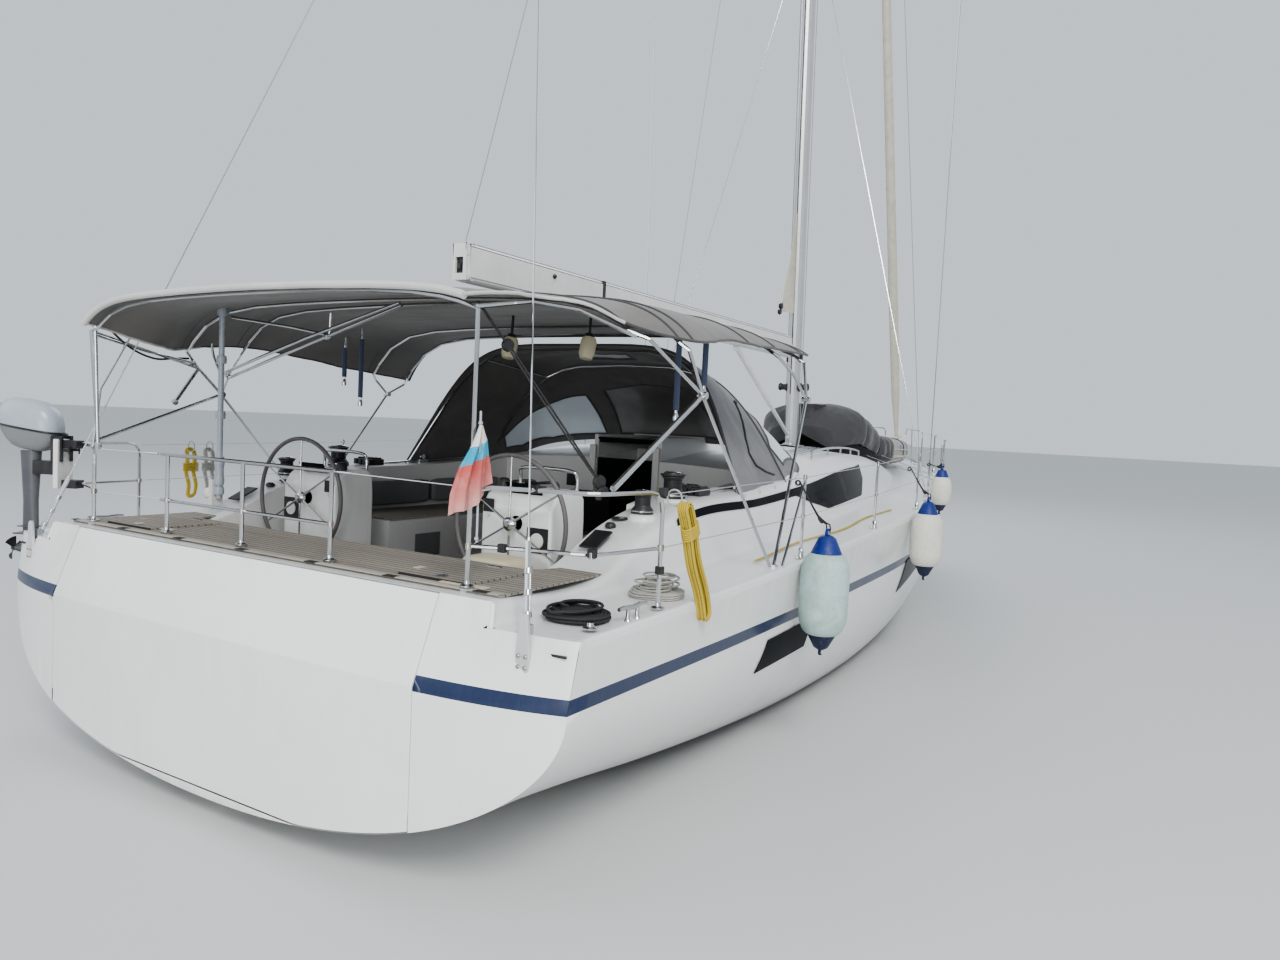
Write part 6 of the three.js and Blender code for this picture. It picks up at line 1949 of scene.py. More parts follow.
# Cloth
# Crown's height, then half width and drop of the edge to port and to starboard
CANOPY_LINES = Table(
    (40, 3078, 1690, 190, 1690, 95), (300, 3104, 1705, 265, 1678, 72), (620, 3135, 1760, 345, 1668, 68),
    (900, 3160, 2000, 375, 1790, 100), (1200, 3185, 2080, 350, 1960, 230),
    (1450, 3202, 2110, 345, 2160, 300), (2000, 3225, 2130, 375, 2190, 262),
    (2800, 3215, 2120, 450, 2160, 235), (3520, 3178, 2130, 470, 2165, 185),
)
# Where each bow crosses, to port and to starboard
BOWS = ((0.11, 0.11), (1.00, 1.20), (1.55, 1.47), (3.00, 2.93), (3.44, 3.44))


def canopy_half(x: float, side: float) -> float:
    """Half width of the canopy.

    Args:
        x: Place along.
        side: Above zero for port.

    Returns:
        The half width.
    """
    return CANOPY_LINES(x)[1 if side > 0 else 3]


def canopy_z(x: float, share: float) -> float:
    """Height of the canopy.

    Args:
        x: Place along.
        share: Place across, as a share of the half width there.

    Returns:
        The height.
    """
    line = CANOPY_LINES(x)
    drop = line[2] if share > 0 else line[4]
    return line[0] - 0.05 * share**2 - (drop - 0.05) * abs(share) ** 9


def ripple(x: float, y: float, z: float, scale: float, seed: float = 0.0) -> float:
    """A smooth uneven value between about -1 and 1.

    Args:
        x: Place along.
        y: Place across.
        z: Height.
        scale: Features per metre.
        seed: Sets one pattern apart from another.

    Returns:
        The value.
    """
    return noise.noise(Vector((x * scale + seed, y * scale - seed, z * scale)))


@dataclass
class Canopy:
    """Cockpit canopy with its seams, edge tapes and lamps."""

    aft: float = 0.04
    fore: float = 3.52
    thickness: float = 0.004
    sag: float = 0.020
    flat_length: float = 4.9
    flat_width: float = 3.55
    area: float = 14.7
    seams: tuple[tuple[float, float, float], ...] = (
        (0.62, 0.62, 0.005), (0.95, 1.13, 0.008), (1.50, 1.42, 0.008), (1.60, 1.52, 0.008),
        (2.30, 2.34, 0.006), (2.94, 2.87, 0.007), (3.38, 3.38, 0.006),
    )
    lamp_x: float = 2.41
    lamp_places: tuple[float, ...] = (-0.08, -0.83)

    def spot(self, x: float, share: float, lift: float = 0.0) -> Vector:
        """A point of the cloth.

        Args:
            x: Place along.
            share: Place across, as a share of the half width.
            lift: Height over the cloth.

        Returns:
            The point.
        """
        half = canopy_half(x, share)
        gap = min(
            abs(x - (port + starboard) / 2 - (port - starboard) / 2 * share) for port, starboard in BOWS
        )
        sag = self.sag * min(gap / 0.45, 1.0) ** 2 * (1 - 0.5 * abs(share))
        y = half * share
        pull = 0.006 * ripple(x * 1.4, y * 0.5, 0, 2.6, 3.0) + 0.0035 * ripple(x * 2.2, y * 0.6, 0, 6.0, 9.0)
        edge = 0.010 * ripple(x * 2.0, 0, 0, 2.2, share) * abs(share) ** 10
        return Vector((x, y + edge, canopy_z(x, share) - sag + pull * min(gap / 0.15, 1.0) + lift))

    def build(self) -> None:
        """Make the canopy."""
        shares = [math.sin(math.pi / 2 * t) for t in np.linspace(-1, 1, 91)]
        places = np.linspace(self.aft, self.fore, 111)
        cloth = Piece("canopy_cloth", Skin.CANVAS)
        cloth.cloth([[self.spot(x, s) for s in shares] for x in places], thick=self.thickness)
        made = cloth.done(crease=70)
        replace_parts(made, "bimini_canopy")
        self.trim(shares)
        self.lamps()

    def trim(self, shares: Sequence[float]) -> None:
        """Sew piping and zips along the bows and edges.

        Args:
            shares: Places across for the seams.
        """
        piping = Piece("canopy_piping", Skin.PIPING)
        for port, starboard, radius in self.seams:
            piping.tube(
                [self.spot((port + starboard) / 2 + (port - starboard) / 2 * s, s, 0.003) for s in shares],
                radius, 6,
            )
        for share in (-0.62, 0.62):
            piping.tube([self.spot(x, share, 0.003) for x in np.linspace(0.06, 3.5, 60)], 0.004, 6)
        piping.done()
        tape = Piece("canopy_binding", Skin.TAPE)
        tape.tube([self.spot(0.045, s, -0.006) for s in shares], 0.021, 10)
        for side in (-1, 1):
            tape.tube([self.spot(x, side * 0.999) for x in np.linspace(self.aft, 1.15, 30)], 0.010, 8)
        tape.done()
        hem = Piece("canopy_hem", Skin.PIPING)
        for side in (-1, 1):
            hem.tube([self.spot(x, side * 0.998) for x in np.linspace(1.15, 3.51, 60)], 0.009, 8)
        hem.tube([self.spot(3.512, s) for s in shares], 0.009, 8)
        hem.done()

    def lamps(self) -> None:
        """Hang the two pale lamps under the second bow."""
        lamps = Piece("canopy_lamps", Skin.CREAM)
        stems = Piece("canopy_lamp_stems", Skin.BLACK)
        x = self.lamp_x
        for y in self.lamp_places:
            lamps.turned([(0, 0), (0.05, 0), (0.062, -0.03), (0.06, -0.13), (0.045, -0.165), (0, -0.17)],
                         (x, y, 3.02), (0.25, 0, 1), 24)
            stems.tube([(x, y, 3.01), (2.42, y, canopy_z(2.42, y / 2.1) - 0.01)], 0.011, 8)
            stems.turned(
                disc(0.034, 0.02), (x, y, 3.03), (0.25, 0, 1), 18
            )
        lamps.done(crease=40)
        stems.done(crease=40)


# Foot's place, half width and height, top's place and height, lean, fullness and crown of each bow
HOOD_BOWS = (
    (3.14, 1.83, 1.86, 3.45, 3.075, 0.60, 6.0, 0.05),
    (3.70, 1.80, 1.89, 3.85, 3.055, 0.62, 5.0, 0.05),
    (4.30, 1.75, 1.93, 4.22, 2.985, 0.62, 4.0, 0.04),
    (4.62, 1.70, 1.97, 4.86, 2.68, 0.42, 3.2, 0.03),
    (4.76, 1.66, 2.00, 5.38, 2.215, 0.05, 2.6, 0.0),
)


@dataclass(frozen=True)
class Opening:
    """A clear panel of the hood.

    Its corners go round, each as a place along the hood and an angle in degrees from the port foot.
    """

    name: str
    skin: Skin
    corners: tuple[tuple[float, float], ...]

    def holds(self, along: float, angle: float) -> bool:
        """Whether a place is inside.

        Args:
            along: Place along the hood.
            angle: Angle from the port foot.

        Returns:
            True inside the outline.
        """
        inside = False
        for (a, b), (c, d) in zip(self.corners, (*self.corners[1:], self.corners[0])):
            if (b > angle) != (d > angle) and along < a + (c - a) * (angle - b) / (d - b):
                inside = not inside
        return inside


@dataclass
class Hood:
    """Sprayhood that leans in towards its top, with clear windows and a zipped side."""

    rows: int = 150
    columns: int = 220
    slide_half: float = 0.385
    slide_top: float = 2.268
    flat_length: float = 2.3
    flat_width: float = 4.9
    area: float = 6.5
    straps: tuple[float, ...] = (0.12, 0.70, 1.35, 2.10, 2.80, 3.40)
    openings: tuple[Opening, ...] = (
        Opening(
            "port", Skin.CLEAR,
            ((2.20, 15), (2.64, 38), (2.86, 57), (3.88, 61), (3.80, 34), (3.30, 12), (2.50, 8)),
        ),
        Opening("middle", Skin.HAZE, ((2.80, 66), (2.66, 90), (2.68, 114), (3.88, 112), (3.88, 67))),
        Opening(
            "starboard", Skin.CLEAR,
            ((2.84, 123), (2.64, 142), (2.30, 162), (2.60, 170), (3.60, 160), (3.86, 119)),
        ),
        Opening("roof", Skin.CLEAR, ((1.10, 78), (1.10, 102), (1.62, 102), (1.62, 78))),
    )

    @staticmethod
    def bow(along: float) -> list[float]:
        """The bow at a place along the hood.

        Args:
            along: 0 at the aft edge, 2 at the middle bow and 4 at the front edge.

        Returns:
            The same eight values as a row of HOOD_BOWS.
        """
        first = 0 if along <= 2 else 2
        t = along - first
        weights = ((t - 1) * (t - 2) / 2, t * (2 - t), t * (t - 1) / 2)
        return [sum(w * row[k] for w, row in zip(weights, HOOD_BOWS[first : first + 3])) for k in range(8)]

    def spot(self, along: float, turn: float, out: float = 0.0) -> Vector:
        """A point of the hood.

        Args:
            along: Place along the hood.
            turn: Angle round the bow, 0 at the port foot and pi at the starboard foot.
            out: How far outside the cloth.

        Returns:
            The point.
        """
        foot_x, half, foot_z, top_x, top_z, lean, power, crown = self.bow(along)
        c, s = math.cos(turn), abs(math.sin(turn))
        reach = (abs(c) ** power + s**power) ** (-1 / power)
        rise = reach * s
        y = reach * c * (half - lean * rise)
        low = foot_z - 0.03
        z = low + (top_z - low) * rise - crown * (y / half) ** 2 * rise
        point = Vector((foot_x + (top_x - foot_x) * rise, y, z))
        return point + self.outward(point) * out

    @staticmethod
    def outward(point: Vector) -> Vector:
        """The way out of the hood at a point.

        Args:
            point: A point of the hood.

        Returns:
            A unit vector.
        """
        return (point - Vector((4.0, point.y * 0.2, 1.9))).normalized()

    def creased(self, along: float, turn: float, out: float = 0.0) -> Vector:
        """A point of the hood with its wrinkles.

        Args:
            along: Place along the hood.
            turn: Angle round the bow.
            out: How far outside the cloth.

        Returns:
            The point.
        """
        p = self.spot(along, turn)
        low = max(0.0, 1 - abs(math.sin(turn)) * 1.5)
        fold = 0.011 * ripple(p.x * 1.8, p.y, p.z * 0.9, 3.0, 2.0) + 0.005 * ripple(p.x, p.y, p.z, 9.0, 5.0)
        diagonal = 0.010 * ripple((p.x + p.z) * 2.2, 0, (p.x - p.z) * 0.6, 2.4, 7.0) * low
        hold = min(1.0, abs(along - 2.0) / 0.25, along / 0.2 + 0.2)
        p += self.outward(p) * (out - (0.012 + 0.014 * low) * hold + (fold + diagonal) * hold)
        if abs(p.y) < self.slide_half:
            p.z = max(p.z, self.slide_top)
        return p

    def pane_at(self, along: float, turn: float) -> Opening | None:
        """Which clear panel a place is in.

        Args:
            along: Place along the hood.
            turn: Angle round the bow.

        Returns:
            The panel, or None.
        """
        for opening in self.openings:
            if opening.holds(along, math.degrees(turn)):
                return opening
        return None

    def faces(self, out: float, ends: tuple[float, float]) -> Iterable[tuple[Opening | None, list[Vector]]]:
        """The cloth's faces, each with the clear panel it lies in.

        Args:
            out: How far outside the cloth.
            ends: First and last place along.

        Yields:
            The panel or None, and the face's four corners.
        """
        places = np.linspace(*ends, self.rows + 1)
        turns = np.linspace(0, math.pi, self.columns + 1)
        grid = [[self.creased(a, t, out) for t in turns] for a in places]
        for i in range(self.rows):
            for j in range(self.columns):
                opening = self.pane_at((places[i] + places[i + 1]) / 2, (turns[j] + turns[j + 1]) / 2)
                yield opening, [grid[i][j], grid[i][j + 1], grid[i + 1][j + 1], grid[i + 1][j]]

    def build(self) -> None:
        """Make the hood."""
        cloth = Piece("hood_cloth", Skin.CANVAS_SIDE)
        panes = {opening.name: Piece(f"hood_pane_{opening.name}", opening.skin) for opening in self.openings}
        for opening, corners in self.faces(0.0, (0.0, 4.0)):
            (panes[opening.name] if opening else cloth).put(corners, [(0, 1, 2, 3)])
        made = cloth.done(crease=80)
        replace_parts(made, "sprayhood")
        for piece in panes.values():
            piece.done(crease=80)
        lining = Piece("hood_lining", Skin.CANVAS_DARK)
        for opening, corners in self.faces(-0.012, (0.02, 3.98)):
            if opening is None:
                lining.put(corners, [(0, 1, 2, 3)])
        lining.done(crease=80)
        self.binding()
        self.zips()

    def run(self, places: Sequence[tuple[float, float]], out: float, step: float = 0.05) -> list[Vector]:
        """A line drawn over the cloth.

        Args:
            places: Its corners, as in an opening.
            out: How far outside the cloth.
            step: Spacing of the points.

        Returns:
            Points along it.
        """
        line = []
        for (a, b), (c, d) in zip(places, places[1:]):
            count = max(2, round(math.hypot(c - a, (d - b) / 40) / step))
            line += [
                self.creased(a + (c - a) * t / count, math.radians(b + (d - b) * t / count), out)
                for t in range(count)
            ]
        last = places[-1]
        return [*line, self.creased(last[0], math.radians(last[1]), out)]

    def binding(self) -> None:
        """Bind the panels and hems."""
        trim = Piece("hood_piping", Skin.PIPING)
        for opening in self.openings:
            trim.tube(self.run((*opening.corners, opening.corners[0]), -0.004), 0.015, 8)
        for along in (0.02, 2.0, 3.97):
            trim.tube([self.creased(along, t, 0.003) for t in np.linspace(0.0, math.pi, 121)], 0.010, 8)
        for turn in (0.0, math.pi):
            trim.tube([self.creased(a, turn, 0.002) for a in np.linspace(0.0, 4.0, 60)], 0.009, 8)
        for degrees in (52, 128):
            trim.tube(
                [self.creased(a, math.radians(degrees), 0.003) for a in np.linspace(0.04, 1.98, 30)], 0.006,
                6,
            )
        trim.done()

    def zips(self) -> None:
        """Sew the curved zip on the starboard side, and the straps along the foot."""
        zipper = Piece("hood_zip", Skin.BLACK)
        route = ((1.70, 144.5), (1.36, 152), (1.10, 159), (0.98, 164), (1.12, 169), (1.40, 172), (1.73, 174))
        zipper.tube(self.run(route, 0.006), 0.009, 6)
        zipper.tube(self.run(route, 0.006)[:2], 0.016, 6)
        zipper.done()
        straps = Piece("hood_straps", Skin.TAPE)
        for side in (0.0, math.pi):
            for along in self.straps:
                p = self.spot(along, side, 0.012)
                straps.box((p.x - 0.012, p.y - 0.004, p.z - 0.055), (p.x + 0.012, p.y + 0.004, p.z + 0.050))
        straps.done(bevel=0.003)


# Ropes
def strand(
    name: str, skin: Skin, points: Sequence[Point], diameter: float, body: str = BOAT
) -> bpy.types.Object:
    """Make a rope as a curve of one spline.

    Args:
        name: The piece's name.
        skin: Its finish.
        points: Its centre line.
        diameter: Its diameter.
        body: The body it rides on.

    Returns:
        The curve object.
    """
    data = bpy.data.curves.new(name, "CURVE")
    data.dimensions = "3D"
    data.bevel_depth = diameter / 2
    data.bevel_resolution = 3
    data.use_fill_caps = True
    spline = data.splines.new("POLY")
    spline.points.add(len(points) - 1)
    for slot, point in zip(spline.points, points):
        slot.co = (*point, 1.0)
    data.materials.append(skin.material())
    obj = bpy.data.objects.new(name, data)
    bpy.context.scene.collection.objects.link(obj)
    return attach(obj, body)


def length_of(points: Sequence[Point]) -> float:
    """Length of a line through points."""
    return sum((vec(b) - vec(a)).length for a, b in zip(points, points[1:]))


@dataclass(frozen=True)
class Coil:
    """A round coil of layered turns lying on the deck."""

    x: float
    y: float
    z: float
    inner: float
    outer: float
    diameter: float
    layers: int
    wobble: float = 0.0
    tilt: tuple[float, float] = (0.0, 0.0)
    per_turn: int = 30

    def points(self) -> list[Vector]:
        """The rope's centre line, layer by layer.

        Returns:
            Points along it.
        """
        pitch = 1.1 * self.diameter
        turns = int((self.outer - self.inner) / pitch)
        way: list[Vector] = []
        angle = 0.0
        for layer in range(self.layers):
            outward = layer % 2 == 0
            for i in range(turns * self.per_turn):
                share = i / (turns * self.per_turn)
                radius = self.inner + turns * pitch * (share if outward else 1 - share)
                level = self.z + layer * pitch
                way.append(self.spot(radius, angle, level))
                angle += math.tau / self.per_turn
            if layer == self.layers - 1:
                break
            radius = self.inner + (turns * pitch if outward else 0.0)
            climb = self.per_turn // 2
            for i in range(climb):
                ease = 0.5 - 0.5 * math.cos(math.pi * i / climb)
                spread = 0.35 * pitch * math.sin(math.pi * i / climb) * (1 if outward else -1)
                way.append(self.spot(radius + spread, angle, self.z + (layer + ease) * pitch))
                angle += math.tau / self.per_turn
        return way

    def loose(self, places: Sequence[Point]) -> list[Vector]:
        """Lay looser turns over the neat ones, each off the middle.

        Args:
            places: Middle's shift along and across, and radius, of each turn.

        Returns:
            The turns' centre line, which goes on from the neat ones.
        """
        pitch = 1.1 * self.diameter
        turns = int((self.outer - self.inner) / pitch)
        spread = self.layers % 2 == 1
        start = (0.0, 0.0, self.inner + (turns * pitch if spread else 0.0))
        steps = turns * self.per_turn * self.layers + (self.per_turn // 2) * (self.layers - 1)
        angle = math.tau * steps / self.per_turn
        stations = [start, *places]
        way = []
        for i in range(len(places) * self.per_turn):
            t = i / self.per_turn
            k = int(t)
            ease = 0.5 - 0.5 * math.cos(math.pi * (t - k))
            dx, dy, radius = (a + (b - a) * ease for a, b in zip(stations[k], stations[k + 1]))
            rise = min(t, 1.0) * pitch + max(t - 1.0, 0.0) * 0.8 * pitch
            level = self.z + (self.layers - 1) * pitch + rise
            lump = 1 + 0.10 * math.sin(2 * angle + 1.3 * k) * min(t, 1.0)
            x, y = dx + radius * lump * math.cos(angle), dy + radius * lump * math.sin(angle)
            droop = max(math.hypot(x, y) - self.outer, 0.0) * 0.6
            way.append(Vector((self.x + x, self.y + y, level - droop + self.tilt[0] * x + self.tilt[1] * y)))
            angle += math.tau / self.per_turn
        return way

    def spot(self, radius: float, angle: float, level: float) -> Vector:
        """A point of the coil.

        Args:
            radius: Distance from the middle.
            angle: Angle round it.
            level: Height.

        Returns:
            The point.
        """
        bent = radius * (
            1 + self.wobble * math.sin(3 * angle + 0.6) + 0.5 * self.wobble * math.sin(5 * angle)
        )
        dx, dy = bent * math.cos(angle), bent * math.sin(angle)
        return Vector((self.x + dx, self.y + dy, level + self.tilt[0] * dx + self.tilt[1] * dy))


@dataclass
class Ropes:
    """Coils and hanks that lie on the deck and hang from the rail."""

    thin: float = 0.011
    small: float = 0.010
    starboard_y: float = -2.484
    port_y: float = 2.468
    port_places: tuple[float, float] = (1.33, 1.50)
    top: float = 1.955

    def build(self) -> None:
        """Make all of them."""
        self.black_coil()
        self.white_heap()
        self.yellow_hank()
        self.port_hanks()
        self.loose_ends()

    def black_coil(self) -> None:
        """Coil the thick black rope beside the after cleat."""
        coil = Coil(0.420, -2.185, 1.412, 0.062, 0.168, 0.016, 2, 0.035)
        points = coil.points() + coil.loose(
            ((0.018, 0.030, 0.125), (-0.040, 0.008, 0.130), (0.030, -0.026, 0.112))
        )
        rope = strand("rope_black", Skin.ROPE_BLACK, points, coil.diameter)
        start = tuple(points[0])
        length_of(points)
        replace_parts(rope, "rope_coil_black")

    def white_heap(self) -> None:
        """Coil the white flecked rope on the side deck."""
        coil = Coil(1.180, -2.215, 1.420, 0.048, 0.160, 0.011, 3, 0.07, (0.03, 0.0))
        places = (
            (0.020, 0.035, 0.100), (-0.045, -0.010, 0.095), (0.050, -0.015, 0.085), (-0.020, 0.030, 0.110),
            (0.030, 0.010, 0.075), (-0.050, 0.000, 0.080), (0.020, -0.030, 0.095), (0.045, 0.025, 0.070),
            (-0.010, 0.000, 0.100),
        )
        points = coil.points() + coil.loose(places)
        rope = strand("rope_white", Skin.ROPE_WHITE, points, coil.diameter)
        tuple(points[0])
        length_of(points)
        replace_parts(rope, "rope_coil_white")

    @staticmethod
    def hank_line(
        top: Point, foot: Point, y: float, diameter: float, turns: int, layers: int
    ) -> list[Vector]:
        """The line of a hank: long ovals round each other, layer beside layer.

        Args:
            top: The upper end's middle, along and up.
            foot: The lower end's middle, along and up.
            y: Place across of the first layer.
            diameter: The rope's diameter.
            turns: Ovals in each layer.
            layers: Layers across.

        Returns:
            The centre line.
        """
        high, low = Vector((top[0], 0, top[1])), Vector((foot[0], 0, foot[1]))
        down = (low - high).normalized()
        side = Vector((-down.z, 0, down.x))
        pitch, inner = 1.15 * diameter, 2.2 * diameter
        straight = (high - low).length
        way: list[Vector] = []
        for layer in range(layers):
            order = range(turns) if layer % 2 == 0 else range(turns - 1, -1, -1)
            for count, turn in enumerate(order):
                step = (1 if layer % 2 == 0 else -1) if count < turns - 1 else 0
                for i in range(48):
                    t = i / 48
                    radius = inner + (turn + step * t) * pitch
                    across = layer * pitch
                    if not step and layer < layers - 1:
                        across += pitch * (0.5 - 0.5 * math.cos(math.pi * t))
                    spot = Ropes.oval(high, low, down, side, radius, t, straight)
                    spot += side * (0.9 * diameter * math.sin(9.0 * (spot - high).dot(down) / straight + 0.5))
                    spot.y = y - across
                    way.append(spot)
        return way

    @staticmethod
    def oval(
        high: Vector, low: Vector, down: Vector, side: Vector, radius: float, share: float, straight: float
    ) -> Vector:
        """A point of an oval with two straight runs.

        Args:
            high: Middle of its upper end.
            low: Middle of its lower end.
            down: The way from the first to the second.
            side: The way across it.
            radius: Radius of its ends.
            share: How far round it.
            straight: Length of its straight runs.

        Returns:
            The point.
        """
        bend = math.pi * radius
        way = share * 2 * (straight + bend)
        if way < straight:
            return high + down * way + side * radius
        way -= straight
        if way < bend:
            angle = way / radius
            return low + side * (radius * math.cos(angle)) + down * (radius * math.sin(angle))
        way -= bend
        if way < straight:
            return low - down * way - side * radius
        angle = (way - straight) / radius
        return high - side * (radius * math.cos(angle)) - down * (radius * math.sin(angle))

    def hank(self, name: str, skin: Skin, line: list[Vector], diameter: float, node: str = "") -> None:
        """Make one hank with the turns that hold it.

        Args:
            name: The piece's name.
            skin: Its finish.
            line: Its centre line.
            diameter: The rope's diameter.
            node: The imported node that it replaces.
        """
        rope = strand(name, skin, line, diameter)
        tuple(line[0])
        length_of(line)
        if node:
            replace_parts(rope, node)
        array = np.array([tuple(p) for p in line])
        top, low = array[array[:, 2].argmax()], array[array[:, 2].argmin()]
        down = Vector((low[0] - top[0], 0, low[2] - top[2])).normalized()
        side = Vector((-down.z, 0, down.x))
        ahead = (array - top) @ np.array(side)
        across = (array[:, 1].min() + array[:, 1].max()) / 2
        middle = Vector((top[0], across, top[2])) + side * float(ahead.mean())
        half = float(ahead.max() - ahead.min()) / 2 + diameter
        depth = float(array[:, 1].max() - array[:, 1].min()) / 2 + diameter
        turns = []
        for i in range(145):
            angle = math.tau * i / 24
            spot = middle + down * (0.13 + 1.15 * diameter * i / 24) + side * (half * math.cos(angle))
            spot.y = middle.y + depth * math.sin(angle)
            turns.append(spot)
        wrap = Piece(f"{name}_wrap", skin)
        wrap.tube(turns, diameter * 0.48, 8)
        wrap.done()

    def yellow_hank(self) -> None:
        """Hang the yellow hank on the starboard rail."""
        line = self.hank_line((0.905, self.top), (1.200, 1.350), self.starboard_y, self.thin, 2, 5)
        self.hank("rope_yellow", Skin.ROPE_YELLOW, line, self.thin, "rope_hank_yellow")

    def port_hanks(self) -> None:
        """Hang two small hanks on the port rail."""
        ropes = (("rope_port_yellow", Skin.ROPE_YELLOW), ("rope_port_white", Skin.ROPE_WHITE))
        for (name, skin), x in zip(ropes, self.port_places):
            line = self.hank_line((x, self.top), (x + 0.02, 1.62), self.port_y, self.small, 3, 2)
            self.hank(name, skin, line, self.small)

    def loose_ends(self) -> None:
        """Pass short lines round the rails."""
        ties = Piece("rail_ties", Skin.ROPE_WHITE)
        for x, side in ((0.905, -1.0), *((place, 1.0) for place in self.port_places)):
            ties.tube(arc((x, side * 2.444, 2.010), 0.044, 0, 360, 24, "yz"), 0.005, 8)
        ties.done()


# Fenders
@dataclass
class Fender:
    """One inflated fender with blue ends and its lanyard."""

    node: str
    skin: Skin
    top: Point
    shoulder: float = 0.16
    cone_share: float = 0.26
    longest_cone: float = 0.200
    cord: float = 0.0055

    def build(self) -> None:
        """Make the fender."""
        low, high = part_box(self.node)
        radius = (high.x - low.x) / 2
        x, y = (low.x + high.x) / 2, (low.y + high.y) / 2
        length = high.z - low.z
        cone = min(self.longest_cone, self.cone_share * length)
        name = self.node
        body = Piece(f"{name}_body", self.skin)
        bottom, top = low.z + 0.75 * cone, high.z - 0.85 * cone
        profile = [(0.0, bottom)]
        for k in range(41):
            z = bottom + (top - bottom) * (0.5 - 0.5 * math.cos(math.pi * k / 40))
            near = min(min(z - bottom, top - z) / self.shoulder, 1.0)
            full = 0.5 + 0.5 * math.sqrt(1 - (1 - near) ** 2)
            dent = 0.002 * math.exp(-(((z - bottom) / (top - bottom) - 0.35) / 0.02) ** 2)
            profile.append((radius * full - dent, z))
        profile.append((0.0, top))
        body.turned(profile, (x, y, 0), steps=48)
        made = body.done(crease=70)
        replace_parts(made, name)
        self.ends(name, x, y, low.z, high.z, radius, cone)
        self.line(name, x, y, high.z)

    def ends(
        self, name: str, x: float, y: float, low: float, high: float, radius: float, cone: float
    ) -> None:
        """Make the coloured end cones and their eyes.

        Args:
            name: The fender's name.
            x: Place along.
            y: Place across.
            low: Lowest point.
            high: Highest point.
            radius: The fender's radius.
            cone: Length of a cone.
        """
        upper = Piece(f"{name}_top", Skin.FENDER_BLUE)
        profile = [
            (0.0, high - cone - 0.03), (0.71 * radius, high - cone - 0.03),
            (0.66 * radius, high - cone + 0.015), (0.36 * radius, high - 0.35 * cone),
            (0.20 * radius, high - 0.05), (0.0, high - 0.045),
        ]
        upper.turned(profile, (x, y, 0), steps=40)
        upper.plate(
            [(p.x, p.z) for p in arc((x, y, high - 0.032), 0.031, 0, 345, 23, "xz")], "y", y - 0.011,
            y + 0.011,
        )
        upper.done(bevel=0.004, crease=45)
        lower = Piece(f"{name}_foot", Skin.FENDER_NAVY)
        profile = [
            (0.0, low + cone), (0.62 * radius, low + cone), (0.56 * radius, low + 0.72 * cone),
            (0.30 * radius, low + 0.3 * cone), (0.16 * radius, low + 0.045), (0.0, low + 0.04),
        ]
        lower.turned(profile, (x, y, 0), steps=40)
        lower.plate(
            [(p.x, p.z) for p in arc((x, y, low + 0.028), 0.027, 0, 345, 23, "xz")], "y", y - 0.010,
            y + 0.010,
        )
        lower.done(bevel=0.004, crease=45)
        eyes = Piece(f"{name}_eyes", Skin.WHITE)
        for z in (high - 0.030, low + 0.026):
            eyes.turned(
                [(0.010, -0.0125), (0.014, -0.0125), (0.014, 0.0125), (0.010, 0.0125)], (x, y, z),
                (0, 1, 0), 20,
            )
        eyes.done(crease=40)

    def line(self, name: str, x: float, y: float, high: float) -> None:
        """Tie the fender to the lifeline.

        Args:
            name: The fender's name.
            x: Place along.
            y: Place across.
            high: Highest point.
        """
        top = vec(self.top)
        lanyard = Piece(f"{name}_lanyard", Skin.ROPE_BLACK)
        eye = Vector((x, y, high - 0.024))
        for side in (-1, 1):
            way = [
                eye + Vector((0, 0.014 * side, -0.01)), eye + Vector((0, 0.012 * side, 0.05)),
                eye.lerp(top, 0.3) + Vector((0.004 * side, 0.006 * side, 0)),
                top + Vector((0.006 * side, -0.016, 0.004)),
            ]
            lanyard.tube(smooth_path(way, 0.04), self.cord, 8)
        knot = [(0, -0.03), (0.012, -0.022), (0.015, 0), (0.012, 0.022), (0, 0.03)]
        lanyard.turned(knot, eye.lerp(top, 0.24), tuple(top - eye), 12)
        for shift in (-0.008, 0.0, 0.008):
            lanyard.tube(arc(top + Vector((shift, 0, 0)), 0.016, 0, 360, 16, "yz"), 0.005, 6)
        lanyard.done()


